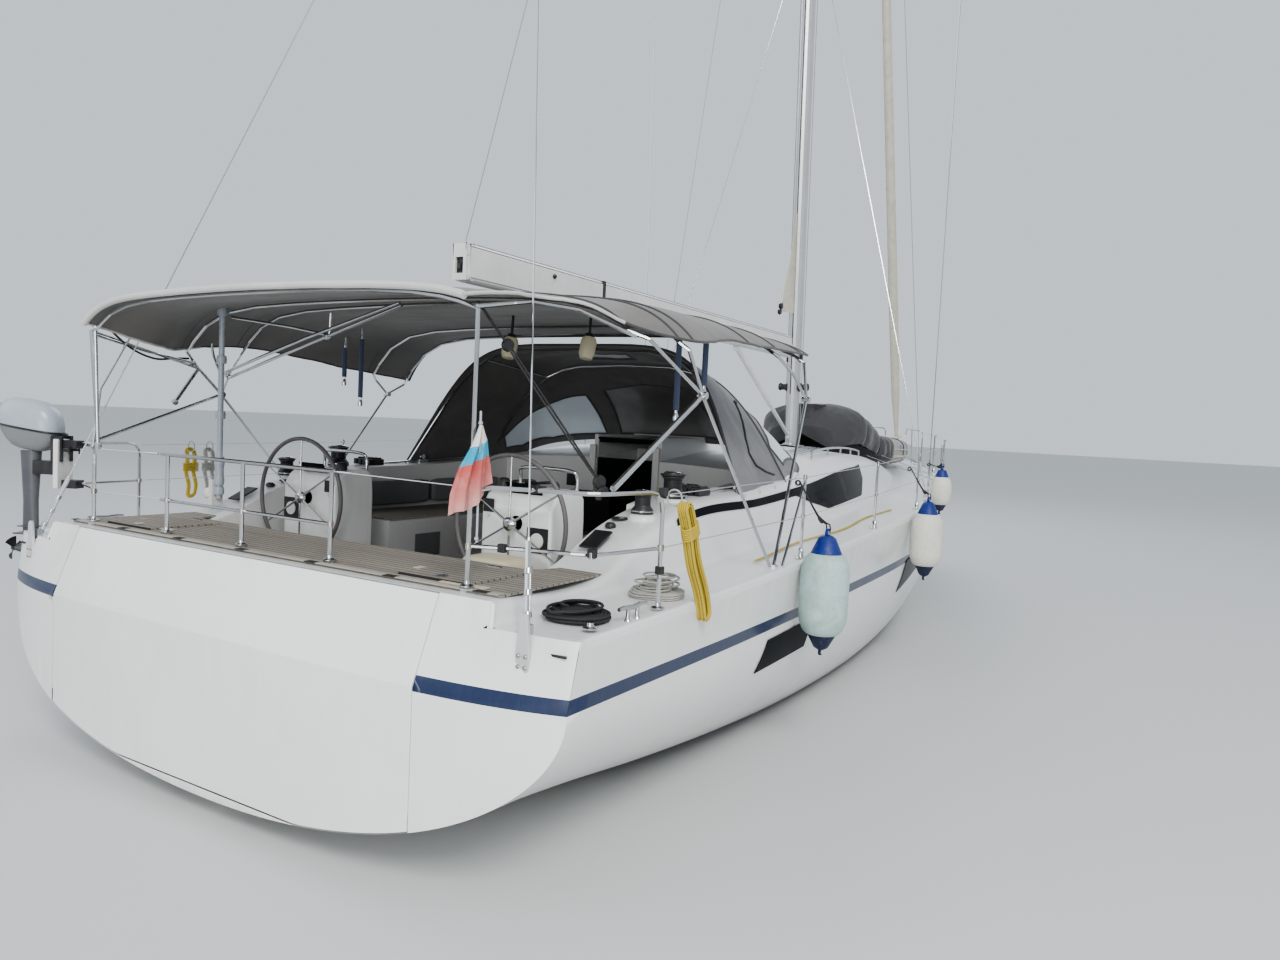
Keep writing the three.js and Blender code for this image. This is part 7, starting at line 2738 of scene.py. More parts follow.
@dataclass
class Ensign:
    """The faded flag by the starboard quarter.

    Each edge is a share of the drop, then the place along and height of the aft and the fore edge.
    """

    edges: tuple[tuple[float, tuple[float, float], tuple[float, float]], ...] = (
        (0.00, (0.134, 2.350), (0.156, 2.349)), (0.12, (0.112, 2.300), (0.178, 2.318)),
        (0.30, (0.078, 2.237), (0.203, 2.273)), (0.50, (0.010, 2.144), (0.215, 2.197)),
        (0.75, (-0.045, 2.010), (0.232, 2.118)), (1.00, (-0.055, 1.906), (0.246, 2.058)),
    )
    drop: float = 0.48
    y: float = -1.742
    staff_y: float = -1.735
    clips: tuple[float, ...] = (2.36, 2.04, 1.78)

    def build(self) -> None:
        """Make the flag and its staff clips."""
        edges = self.edges
        at = [row[0] for row in edges]
        rows = []
        for t in np.linspace(0, 1, 48):
            left, right = (
                [np.interp(t, at, [row[k][axis] for row in edges]) for axis in (0, 1)] for k in (1, 2)
            )
            row = []
            for s in np.linspace(0, 1, 40):
                wave = 0.017 * math.sin(4.6 * math.pi * s + 1.4 * t)
                wave += 0.006 * math.sin(11 * math.pi * s + 3 * t)
                hem = -0.035 * math.sin(math.pi * s) * t**3 + 0.012 * math.sin(3 * math.pi * s) * t**3
                row.append((left[0] + (right[0] - left[0]) * s, self.y + wave * min(1.0, 0.3 + 1.2 * t),
                            left[1] + (right[1] - left[1]) * s + hem))
            rows.append(row)
        flag = Piece("flag_sheet", Skin.FLAG)
        flag.cloth(rows)
        made = flag.done(crease=180)
        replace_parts(made, "ensign")
        staff = Piece("flag_staff", Skin.SILVER)
        staff.tube([(0.150, self.staff_y, 1.76), (0.145, self.staff_y, 2.42)], 0.006, 10)
        for z in self.clips:
            staff.turned(
                [(0.009, -0.008), (0.011, -0.006), (0.011, 0.006), (0.009, 0.008)], (0.147, self.staff_y, z),
                (0, 0, 1), 16,
            )
        staff.done()


# Foredeck load
COVER_LINES = Table(
    (9180, 520, 2060, 2480, 3000), (9520, 760, 2050, 2800, 2600), (10150, 820, 1990, 2720, 2800),
    (10700, 830, 1940, 2470, 3200), (11379, 810, 1900, 2400, 4000),
)
TENDER_LINES = Table(
    (11380, 780, 1905, 2360, 4000), (12300, 740, 1905, 2350, 4000), (12800, 560, 1930, 2330, 3200),
    (13120, 260, 1980, 2300, 2600),
)


@dataclass
class Foredeck:
    """Tender with its cover, lashings and deck lids."""

    cover_aft: float = 9.185
    cover_fore: float = 11.378
    cover_girth: float = 3.4
    heart: float = 2.2
    tucks: tuple[float, float] = (9.86, 10.62)
    bands: tuple[float, float] = (11.9, 12.55)
    patches: tuple[float, ...] = (11.75, 12.35)
    strakes: tuple[tuple[float, float], ...] = ((-0.35, 0.020), (0.15, 0.012))
    rim_half: float = 0.284
    rim_fore: float = 6.844
    rim_width: float = 0.022

    def build(self) -> None:
        """Make all of it."""
        self.cover()
        self.tender()
        self.lashings()
        self.lids()

    @staticmethod
    def ring_spot(lines: Table, x: float, turn: float) -> Vector:
        """A point of a rounded form.

        Args:
            lines: Its half width, low and high edges and fullness.
            x: Place along.
            turn: Angle round the section.

        Returns:
            The point.
        """
        half, low, high, power = lines(x)
        c, s = math.cos(turn), math.sin(turn)
        y = math.copysign(abs(c) ** (2 / power), c) * half
        middle, reach = (low + high) / 2, (high - low) / 2
        return Vector((x, y, middle + reach * math.copysign(abs(s) ** (2 / power), s)))

    def cover(self) -> None:
        """Drape the black cover over the tender's after half and its engine."""
        length = self.cover_fore - self.cover_aft
        places = [self.cover_aft + length * t for t in np.linspace(0, 1, 84)]
        turns = np.linspace(-0.42, math.pi + 0.42, 120)
        rows = []
        for x in places:
            row = []
            for turn in turns:
                p = self.ring_spot(COVER_LINES, x, turn)
                away = Vector((0, p.y, p.z - self.heart)).normalized()
                low = min(1.0, max(0.0, (2.45 - p.z) / 0.45))
                gather = 0.030 * ripple(p.x * 2.6, p.y * 0.7, p.z * 0.8, 2.0, 4.0)
                pleat = 0.020 * ripple(p.x * 4.5, 0, p.z * 0.5, 2.4, 8.0) * (0.4 + low)
                fine = 0.007 * ripple(p.x, p.y, p.z, 11.0, 1.0)
                tuck = 0.05 * math.exp(-((x - self.tucks[1]) / 0.07) ** 2)
                tuck += 0.03 * math.exp(-((x - self.tucks[0]) / 0.05) ** 2)
                row.append(p + away * (gather + pleat + fine - 0.035 - tuck))
            rows.append(row)
        cloth = Piece("tender_cover_cloth", Skin.COVER)
        cloth.cloth(rows)
        for end, x in ((0, places[0]), (-1, places[-1])):
            centre = Vector((x, 0, sum(p.z for p in rows[end]) / len(rows[end])))
            inner = [p.lerp(centre, 0.55) for p in rows[end]]
            core = [p.lerp(centre, 0.97) for p in rows[end]]
            cloth.cloth([rows[end], inner, core])
        made = cloth.done(crease=70)
        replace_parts(made, "tender_cover")
        mast_cap = Piece("cover_hump", Skin.COVER)
        rings = []
        for level, (rx, ry, z, dx) in enumerate(
            (
                (0.21, 0.24, 2.56, 0), (0.19, 0.20, 2.64, 0.01), (0.155, 0.15, 2.70, 0.0),
                (0.15, 0.16, 2.745, -0.02), (0.20, 0.22, 2.785, -0.01), (0.19, 0.2, 2.797, 0),
            )
        ):
            ring = []
            for k in range(48):
                a = math.tau * k / 48
                fold = 1 + 0.07 * math.sin(7 * a + level) + 0.05 * math.sin(11 * a + 2 * level)
                ring.append((9.50 + dx + rx * fold * math.cos(a), ry * fold * math.sin(a), z))
            rings.append(ring)
        mast_cap.rings(rings)
        mast_cap.done(crease=60)

    def tender(self) -> None:
        """Make the inflated tubes with their strakes."""
        tube = Piece("tender_tubes", Skin.TENDER)
        places = np.linspace(11.38, 13.118, 40)
        rings = []
        for x in places:
            rings.append([self.ring_spot(TENDER_LINES, x, math.tau * k / 64) for k in range(64)])
        tube.rings(rings)
        made = tube.done(crease=50)
        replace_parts(made, "tender")
        strake = Piece("tender_strakes", Skin.CREAM)
        for side in SIDES.values():
            for height, depth in self.strakes:
                way = []
                for x in np.linspace(11.40, 13.10, 40):
                    half, low, high, power = TENDER_LINES(x)
                    level = (low + high) / 2 + (high - low) / 2 * height
                    share = (1 - abs(height) ** power) ** (1 / power)
                    way.append((x, side * (half * share + 0.003), level))
                strake.tube(way, depth, 8)
        strake.done()
        patches = Piece("tender_patches", Skin.GREY)
        for side in SIDES.values():
            for x in self.patches:
                half = TENDER_LINES(x)[0]
                patches.turned(
                    [(0, 0), (0.055, 0), (0.05, 0.006), (0.02, 0.010), (0.0, 0.010)],
                    (x, side * (half - 0.003), 2.18), (0, side, 0.05), 24,
                )
        patches.done()

    def lashings(self) -> None:
        """Lash the load down."""
        straps = Piece("tender_lashings", Skin.ROPE_BLACK)
        over_cover = [(x, COVER_LINES) for x in self.tucks]
        over_tubes = [(x, TENDER_LINES) for x in self.bands]
        for x, lines in over_cover + over_tubes:
            way = []
            for turn in np.linspace(-0.35, math.pi + 0.35, 60):
                p = self.ring_spot(lines, x, turn)
                tight = 0.075 if lines is COVER_LINES else -0.006
                away = Vector((0, p.y, p.z - self.heart)).normalized()
                way.append(p - away * tight)
            straps.tube(way, 0.007, 8)
        straps.done()
        ties = Piece("tender_deck_ties", Skin.ROPE_GREY)
        for x, half in zip((*self.tucks, *self.bands), (0.80, 0.80, 0.76, 0.64)):
            for side in SIDES.values():
                edge_y, edge_z = HULL_LINES(x)[:2]
                ties.tube(
                    [(x, side * half * 0.98, 2.08), (x + 0.05, side * (edge_y - 0.10), edge_z + 0.06)],
                    0.005, 8,
                )
        ties.done()

    def lids(self) -> None:
        """Put a top, a latch, a seal and pulls on the deck's lids."""
        lid = Piece("anchor_lid_top", Skin.DECK, "anchor_locker_lid_body")
        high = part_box("anchor_locker_lid")[1]
        lid.box((13.262, -0.178, high.z - 0.006), (13.888, 0.178, high.z + 0.002))
        lid.done(bevel=0.002)
        latch = Piece("anchor_lid_latch", Skin.STEEL, "anchor_locker_lid_body")
        latch.turned(
            [(0, 0), (0.028, 0), (0.028, 0.004), (0.018, 0.007), (0, 0.007)], (13.82, 0, high.z + 0.001),
            (0, 0, 1), 24,
        )
        latch.done()
        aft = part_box("saloon_hatch")[0].x + 0.006
        rim = Piece("saloon_hatch_rim", Skin.BLACK, "saloon_hatch_body")
        fore, half = self.rim_fore, self.rim_half
        outer = [(aft, -half), (fore, -half), (fore, half), (aft, half)]
        for (x0, y0), (x1, y1) in zip(outer, outer[1:] + outer[:1]):
            span = Vector((x1 - x0, y1 - y0, 0))
            out = Vector((span.y, -span.x, 0)).normalized() * self.rim_width
            rim.put(
                [
                    (x0, y0, 2.2445), (x1, y1, 2.2445), (x1 - out.x, y1 - out.y, 2.2455),
                    (x0 - out.x, y0 - out.y, 2.2455),
                ],
                [(0, 1, 2, 3)],
            )
        rim.done()
        for name, side in SIDES.items():
            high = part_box(f"locker_lid_{name}")[1]
            pull = Piece(f"locker_pull_{name}", Skin.STEEL, f"locker_lid_{name}_body")
            y = side * 1.40
            pull.turned(
                [(0, 0), (0.034, 0), (0.034, 0.003), (0.02, 0.006), (0, 0.006)], (0.27, y, high.z - 0.010),
                (0, 0, 1), 28,
            )
            pull.done()


# Outboard motor
@dataclass
class Outboard:
    """Small motor clamped to the port pushpit."""

    angle: float = 28.0
    place: tuple[float, float, float] = (0.335, 2.270, 0.0)
    blades: int = 3
    screw_z: float = 1.235

    @property
    def turn(self) -> Matrix:
        """The turn from the motor's own axes to the boat's."""
        return Matrix.Rotation(math.radians(self.angle), 3, "Z")

    @property
    def outward(self) -> tuple[float, float, float]:
        """The way out from the rail."""
        return tuple(self.at((0, 1, 0)) - vec(self.place))

    def at(self, point: Point) -> Vector:
        """A point given in the motor's own axes.

        Args:
            point: Across the motor, out from the rail, and up.

        Returns:
            The point on the boat.
        """
        return vec(self.place) + self.turn @ vec(point)

    def build(self) -> None:
        """Make the motor."""
        self.cowl()
        self.leg()
        self.bracket()

    def cowl(self) -> None:
        """Make the two halves of the cowl."""
        upper = (
            (2.150, 1.0), (2.185, 1.02), (2.24, 0.98), (2.29, 0.89), (2.325, 0.74), (2.350, 0.50),
            (2.358, 0.15),
        )
        lower = ((1.985, 0.40), (2.00, 0.58), (2.04, 0.76), (2.09, 0.90), (2.135, 0.97))
        for name, skin, levels in (("cowl_top", Skin.SILVER, upper), ("cowl_low", Skin.GREY, lower)):
            piece = Piece(f"outboard_{name}", skin)
            piece.rings([self.cowl_ring(z, size) for z, size in levels])
            made = piece.done(crease=50)
            if name == "cowl_top":
                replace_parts(made, "outboard")
        band = Piece("outboard_cowl_seal", Skin.BLACK)
        ring = self.cowl_ring(2.143, 1.005)
        band.tube([*ring, ring[0]], 0.006, 8)
        band.tube([self.at((0.0, 0.18, 2.06)), self.at((0.0, 0.10, 2.10))], 0.012, 10)
        band.done()

    def cowl_ring(self, z: float, size: float) -> list[Vector]:
        """One level of the cowl, which slopes down towards the rail.

        Args:
            z: Its height.
            size: Its size as a share of the widest level.

        Returns:
            The ring's points.
        """
        ring = []
        for k in range(44):
            a = math.tau * k / 44
            c, s = math.cos(a), math.sin(a)
            across = 0.125 * size * math.copysign(abs(c) ** 0.7, c)
            out = 0.375 + 0.225 * size * math.copysign(abs(s) ** 0.8, s)
            ring.append(self.at((across, out, z + 0.14 * (out - 0.42))))
        return ring

    def leg(self) -> None:
        """Make the leg, gearcase, plates and propeller."""
        leg = Piece("outboard_leg", Skin.LEG)
        rings = []
        for z, along, wide in (
            (1.97, 0.075, 0.055), (1.80, 0.065, 0.048), (1.60, 0.055, 0.036), (1.40, 0.06, 0.030),
            (1.22, 0.055, 0.024),
        ):
            ring = []
            for k in range(24):
                a = math.tau * k / 24
                ring.append(self.at((wide * math.cos(a), 0.375 + along * math.sin(a), z)))
            rings.append(ring)
        leg.rings(rings)
        leg.box((-0.055, 0.29, 1.345), (0.055, 0.475, 1.355), self.turn, self.place)
        leg.box((-0.045, 0.31, 1.40), (0.045, 0.45, 1.407), self.turn, self.place)
        gear = [
            (0.0, 0.0), (0.016, 0.01), (0.034, 0.05), (0.038, 0.10), (0.032, 0.16), (0.022, 0.19),
            (0.0, 0.19),
        ]
        leg.turned(gear, self.at((0, 0.295, self.screw_z)), self.outward, 24)
        fin = [
            self.at(p)
            for p in (
                (-0.006, 0.36, 1.21), (0.006, 0.36, 1.21), (0.006, 0.42, 1.21), (-0.006, 0.42, 1.21),
                (-0.004, 0.40, 1.125), (0.004, 0.40, 1.125), (0.004, 0.425, 1.125), (-0.004, 0.425, 1.125),
            )
        ]
        leg.put(fin, [(0, 1, 2, 3), (4, 5, 6, 7), (0, 1, 5, 4), (1, 2, 6, 5), (2, 3, 7, 6), (3, 0, 4, 7)])
        leg.done(crease=40)
        blades = Piece("outboard_propeller", Skin.BLACK)
        for k in range(self.blades):
            a0 = math.tau * k / self.blades
            rows = []
            for r in np.linspace(0.02, 0.088, 6):
                row = []
                for s in np.linspace(-0.5, 0.5, 5):
                    a = a0 + s * 1.0
                    up = self.screw_z + r * math.sin(a)
                    row.append(self.at((r * math.cos(a), 0.500 + 0.030 * s, up)))
                rows.append(row)
            blades.cloth(rows, thick=0.003)
        blades.turned(
            [(0, 0), (0.022, 0), (0.018, 0.03), (0, 0.036)], self.at((0, 0.485, self.screw_z)),
            self.outward, 20,
        )
        blades.done(crease=50)

    def bracket(self) -> None:
        """Make the clamp and the board it holds on to."""
        turn = self.turn
        board = Piece("outboard_board", Skin.WHITE)
        board.box((-0.088, 0.112, 1.702), (0.088, 0.150, 2.068), turn, self.place)
        board.done(bevel=0.008)
        clamp = Piece("outboard_clamp", Skin.BLACK)
        for x in (-0.055, 0.055):
            clamp.box((x - 0.012, 0.098, 1.90), (x + 0.012, 0.182, 2.09), turn, self.place)
            clamp.turned(
                stub(0.009, 0.07), self.at((x, 0.04, 1.985)),
                self.outward, 14,
            )
            clamp.tube([self.at((x, 0.045, 1.955)), self.at((x, 0.045, 2.015))], 0.006, 8)
        clamp.box((-0.05, 0.17, 1.80), (0.05, 0.33, 1.90), turn, self.place)
        for z in (2.03, 1.735):
            clamp.box((-0.048, 0.0, z - 0.03), (0.048, 0.111, z + 0.03), turn, self.place)
        clamp.done(bevel=0.005)


# Spars and rigging
@dataclass
class Rig:
    """Details on mast, boom, stays and canopy struts."""

    mast_foot: float = 8.850
    mast_low: float = 2.1
    rake: float = 0.0545
    boom_tip: float = 1.858
    boom_half: float = 0.062
    cap_length: float = 0.047
    stay_foot: tuple[float, float, float] = (0.012, 2.18, 1.39)
    stay_split: tuple[float, float, float] = (2.51, 0.04, 9.03)
    post: tuple[float, float] = (1.0, 1.58)
    post_clamps: tuple[float, ...] = (1.72, 1.80, 1.94, 2.30, 2.72, 3.08)
    knees: tuple[tuple[float, float, float], ...] = (
        (1.43, 2.20, 2.46), (1.79, -2.13, 2.59), (3.27, 2.185, 2.56), (3.33, -2.24, 2.64)
    )

    def build(self) -> None:
        """Make all of it."""
        self.boom_end()
        self.sail_clew()
        self.mast_gear()
        self.backstay_feet()
        self.canopy_tackle()
        self.canopy_struts()
        self.halyards()

    def mast_x(self, z: float) -> float:
        """Where the raked mast's middle is at a height."""
        return self.mast_foot - self.rake * (z - self.mast_low)

    def boom_end(self) -> None:
        """Make the boom's end casting, sheave, padeye and seams."""
        cap = Piece("boom_end_cap", Skin.WHITE, "boom_body")
        aft, fore, half = self.boom_tip, self.boom_tip + self.cap_length, self.boom_half
        cap.box((aft, -half, 3.405), (fore, -0.041, 3.668))
        cap.box((aft, 0.041, 3.405), (fore, half, 3.668))
        cap.box((aft, -half, 3.58), (fore, half, 3.668))
        cap.box((aft, -half, 3.405), (fore, half, 3.448))
        cap.done(bevel=0.008)
        dark = Piece("boom_sheave", Skin.BLACK, "boom_body")
        dark.box((1.874, -0.040, 3.452), (1.885, 0.040, 3.576))
        dark.turned(
            sheave(0.05, 0.04, 0.018), (1.905, 0, 3.50),
            (0, 1, 0), 28,
        )
        dark.turned(
            [(0, 0), (0.018, 0), (0.020, 0.012), (0.008, 0.026), (0, 0.026)], (2.96, -0.066, 3.60),
            (0, -1, 0), 18,
        )
        dark.box((3.72, -0.068, 3.385), (3.77, 0.068, 3.684))
        dark.done(bevel=0.003, crease=40)
        seam = Piece("boom_seams", Skin.GREY, "boom_body")
        for z in (3.655, 3.425):
            for side in (-1, 1):
                seam.tube([(1.92, side * 0.0655, z), (8.45, side * 0.0655, z)], 0.0022, 6)
        seam.tube([(2.0, 0.0, 3.684), (8.4, 0.0, 3.684)], 0.012, 8)
        seam.done()

    def sail_clew(self) -> None:
        """Show the mainsail's clew at the mast's slot, with its outhaul block."""
        clew = Piece("mainsail_clew", Skin.SAIL)
        rows = []
        for t in np.linspace(0, 1, 14):
            z = 5.36 - 1.35 * t
            luff = self.mast_x(z) - 0.118
            leech = luff - 0.06 - 0.40 * t**1.3
            row = [
                (luff + (leech - luff) * s, 0.012 * math.sin(5 * t + 4 * s) * s, z - 0.03 * s)
                for s in np.linspace(0, 1, 9)
            ]
            rows.append(row)
        clew.cloth(rows, thick=0.004)
        clew.done(crease=60)
        block = Piece("outhaul_block", Skin.BLACK)
        block.turned(
            sheave(0.035, 0.042, 0.02), (8.17, 0.005, 4.05),
            (0, 1, 0), 20,
        )
        block.turned(
            sheave(0.03, 0.034, 0.02), (8.14, 0.005, 3.97),
            (0, 1, 0), 20,
        )
        block.tube([(8.22, 0.005, 4.10), (8.14, 0.005, 3.93)], 0.008, 8)
        block.done(crease=45)

    def mast_gear(self) -> None:
        """Put winches, lamp, slot and collar on the mast."""
        gear = Piece("mast_winches", Skin.BLACK)
        for side in SIDES.values():
            x = self.mast_x(3.0)
            gear.turned(
                [
                    (0, 0), (0.062, 0), (0.06, 0.02), (0.044, 0.04), (0.042, 0.09), (0.055, 0.11),
                    (0.05, 0.13), (0, 0.135),
                ],
                (x, side * 0.084, 3.0), (0, side, 0.05), 28,
            )
            gear.box((x - 0.05, side * 0.082, 3.35), (x - 0.01, side * 0.115, 3.50))
        gear.done(bevel=0.003, crease=40)
        lamp = Piece("mast_lamp", Skin.WHITE)
        x = self.mast_x(11.2) + 0.135
        lamp.box((x - 0.01, -0.05, 11.1), (x + 0.05, 0.05, 11.24))
        lamp.turned([(0, 0), (0.04, 0), (0.05, 0.05), (0, 0.055)], (x + 0.03, 0, 11.05), (0.2, 0, -1), 20)
        lamp.done(bevel=0.006)
        collar = Piece("mast_collar", Skin.STEEL)
        ring = [
            (self.mast_foot + 0.155 * math.cos(a), 0.105 * math.sin(a), 2.20)
            for a in np.linspace(0, math.tau, 41)
        ]
        collar.tube(ring, 0.014, 8)
        collar.done()

    def backstay_feet(self) -> None:
        """Make chainplates, toggles and turnbuckles of the backstay's legs."""
        steel = Piece("backstay_fittings", Skin.STEEL)
        bolts = Piece("backstay_bolts", Skin.STEEL_STAINED)
        plates = Piece("chainplates", Skin.PLATE)
        for side in SIDES.values():
            mirror = Vector((1, side, 1))
            foot, split = vec(self.stay_foot) * mirror, vec(self.stay_split) * mirror
            along = (split - foot).normalized()
            middle, face = side * 2.196, transom_x(self.stay_foot[1], 1.30)
            half = [
                (0.0, 1.218), (0.026, 1.220), (0.038, 1.234), (0.040, 1.300), (0.027, 1.430), (0.025, 1.462)
            ]
            half += [(0.021, 1.480), (0.012, 1.493), (0.0, 1.497)]
            plate = [(middle + across, z) for across, z in half]
            plate += [(middle - across, z) for across, z in half[-2:0:-1]]
            plates.plate(plate, "x", face - 0.012, face + 0.006)
            for across in (-0.020, 0.020):
                for z in (1.246, 1.298):
                    bolts.turned(
                        [(0, 0), (0.011, 0), (0.011, 0.006), (0.007, 0.009), (0, 0.009)],
                        (face - 0.012, middle + across, z), (-1, 0, 0), 8,
                    )
            toggle = foot + along * 0.03
            steel.turned(disc(0.012, 0.026), toggle, (0, 1, 0), 16)
            steel.tube([foot, foot + along * 0.09], 0.014, 12)
            for shift in (-0.013, 0.013):
                aside = Vector((0, shift, 0))
                steel.tube([foot + along * 0.09 + aside, foot + along * 0.30 + aside], 0.0065, 8)
            for t in (0.09, 0.195, 0.30):
                steel.turned(
                    disc(0.021, 0.014), foot + along * t,
                    tuple(along), 16,
                )
            steel.tube([foot + along * 0.12, foot + along * 0.27], 0.008, 8)
            steel.tube([foot + along * 0.30, foot + along * 0.47], (0.011, 0.007), 12)
        steel.done(bevel=0.002, crease=35)
        bolts.done(crease=30)
        plates.done(bevel=0.002, crease=35)

    def canopy_tackle(self) -> None:
        """Reeve the black tackle between the canopy and the starboard rail."""
        rope = Piece("canopy_tackle_line", Skin.ROPE_BLACK)
        top, block = Vector((0.30, -1.555, 2.985)), Vector((0.50, -1.60, 2.78))
        foot = Vector((0.83, -2.01, 2.065))
        rope.tube([top, block], 0.008, 8)
        for shift in (-0.012, 0.014):
            side = Vector((shift, 0, 0))
            rope.tube(
                smooth_path(
                    [
                        block + side, block.lerp(foot, 0.5) + side * 1.3 + Vector((0, 0, -0.006)),
                        foot + side * 0.6,
                    ],
                    0.05,
                ),
                0.0055, 8,
            )
        rope.done()
        gear = Piece("canopy_tackle_blocks", Skin.BLACK)
        for spot, size in ((block, 0.032), (foot, 0.036), (foot + Vector((0.01, -0.02, -0.05)), 0.028)):
            gear.turned(
                sheave(size, 1.15 * size, 0.016), spot,
                (0.3, 1, 0), 20,
            )
        gear.box((-0.012, -0.012, -0.10), (0.012, 0.012, 0.02), None, tuple(foot))
        gear.done(crease=45)

    def canopy_struts(self) -> None:
        """Sleeve the upright struts under the canopy and fit its joints."""
        sleeves = Piece("strut_sleeves", Skin.SLEEVE)
        silver = Piece("strut_ends", Skin.STEEL)
        for x, y, low, high in (
            (2.40, -1.612, 2.45, 3.15), (2.40, -1.826, 2.63, 3.10), (2.40, 1.612, 2.45, 3.12),
            (2.40, 1.826, 2.63, 3.04),
        ):
            sleeves.tube([(x, y, low + 0.05), (x, y, high - 0.10)], 0.021, 12)
            silver.tube([(x, y, low - 0.02), (x, y, high)], 0.012, 10)
            silver.turned(
                [(0, -0.03), (0.02, -0.026), (0.022, 0.0), (0.016, 0.03), (0, 0.03)], (x, y, low),
                (0, 0, 1), 16,
            )
        sleeves.done()
        for knee in self.knees:
            silver.turned(disc(0.024, 0.03), knee, (0, 1, 0), 20)
        silver.done(crease=45)
        self.port_tubes()
        post = Piece("port_davit_post", Skin.SILVER)
        for low, high, radius in ((1.66, 3.12, 0.021), (1.76, 1.98, 0.032)):
            post.tube([(*self.post, low), (*self.post, high)], radius, 14)
        for z in self.post_clamps:
            post.turned(
                [(0, -0.03), (0.036, -0.03), (0.038, 0.0), (0.034, 0.03), (0, 0.03)], (*self.post, z),
                (0, 0, 1), 18,
            )
        post.done(crease=45)
        lamp = Piece("port_post_lamp", Skin.WHITE)
        lamp.turned(
            [(0, 0), (0.055, 0.0), (0.065, 0.03), (0.05, 0.075), (0.0, 0.085)], (1.0, 1.655, 1.66),
            (0, 0.2, 1), 24,
        )
        lamp.box((0.95, 1.60, 1.60), (1.05, 1.64, 1.80))
        lamp.done(bevel=0.006, crease=45)

    def port_tubes(self) -> None:
        """Add the slimmer tubes that stiffen the canopy frame's port side."""
        tubes = Piece("port_frame_tubes", Skin.STEEL)
        for radius, *ends in (
            (0.0125, (1.44, 2.12, 2.60), (1.31, 0.98, 2.87), (1.19, -0.10, 3.12)),
            (0.0125, (1.41, 2.14, 2.64), (1.28, 0.98, 2.91), (1.15, -0.12, 3.13)),
            (0.0110, (1.37, 2.12, 2.62), (1.27, 2.08, 2.78), (1.24, 2.05, 2.92), (1.27, 1.97, 3.04)),
            (0.0110, (1.14, 1.67, 3.06), (1.24, 1.10, 2.99), (1.29, 0.74, 2.93)),
            (0.0110, (1.27, 0.70, 3.09), (1.28, 0.72, 2.93)),
            (0.0125, (0.12, 1.69, 2.88), (0.13, 1.66, 2.05)),
            (0.0090, (0.47, 1.72, 3.00), (0.22, 1.80, 2.45), (0.14, 1.74, 2.04)),
            (0.0160, (1.18, 2.15, 2.65), (0.96, 2.10, 2.38)),
            (0.0110, (0.12, 1.72, 2.82), (0.60, 1.92, 2.75), (1.10, 2.10, 2.70)),
        ):
            tubes.tube(ends if len(ends) < 4 else smooth_path(ends, 0.04), radius, 10)
        for spot in (
            (1.44, 2.13, 2.62), (1.29, 0.76, 2.92), (0.96, 2.10, 2.38), (0.13, 1.66, 2.06),
            (1.10, 2.10, 2.70),
        ):
            tubes.turned(
                [(0, -0.026), (0.021, -0.022), (0.023, 0.0), (0.021, 0.022), (0, 0.026)], spot,
                (0.3, 1, 0.2), 14,
            )
        tubes.done(crease=45)
        slack = Piece("port_slack_line", Skin.ROPE_BLACK)
        way = [
            (0.16, 1.72, 2.93), (0.42, 1.80, 2.76), (0.70, 1.95, 2.70), (0.92, 2.04, 2.72),
            (1.06, 2.09, 2.73),
        ]
        slack.tube(smooth_path(way, 0.04), 0.008, 8)
        slack.done()

    def halyards(self) -> None:
        """Run thin lines up beside the mast and down from the spreaders."""
        lines = Piece("halyards", Skin.ROPE_GREY)
        for y in (-0.11, 0.11):
            lines.tube(
                [(8.845, y, 2.4), (self.mast_x(11.1), y * 1.1, 11.1), (self.mast_x(22.1), y, 22.1)],
                0.005, 6,
            )
        for side in SIDES.values():
            lines.tube([(8.26, side * 1.95, 1.95), (8.42, side * 1.2, 9.12)], 0.004, 6)
        lines.tube([(1.92, 0.0, 3.70), (7.52, 0.0, 22.05)], 0.004, 6)
        lines.done()


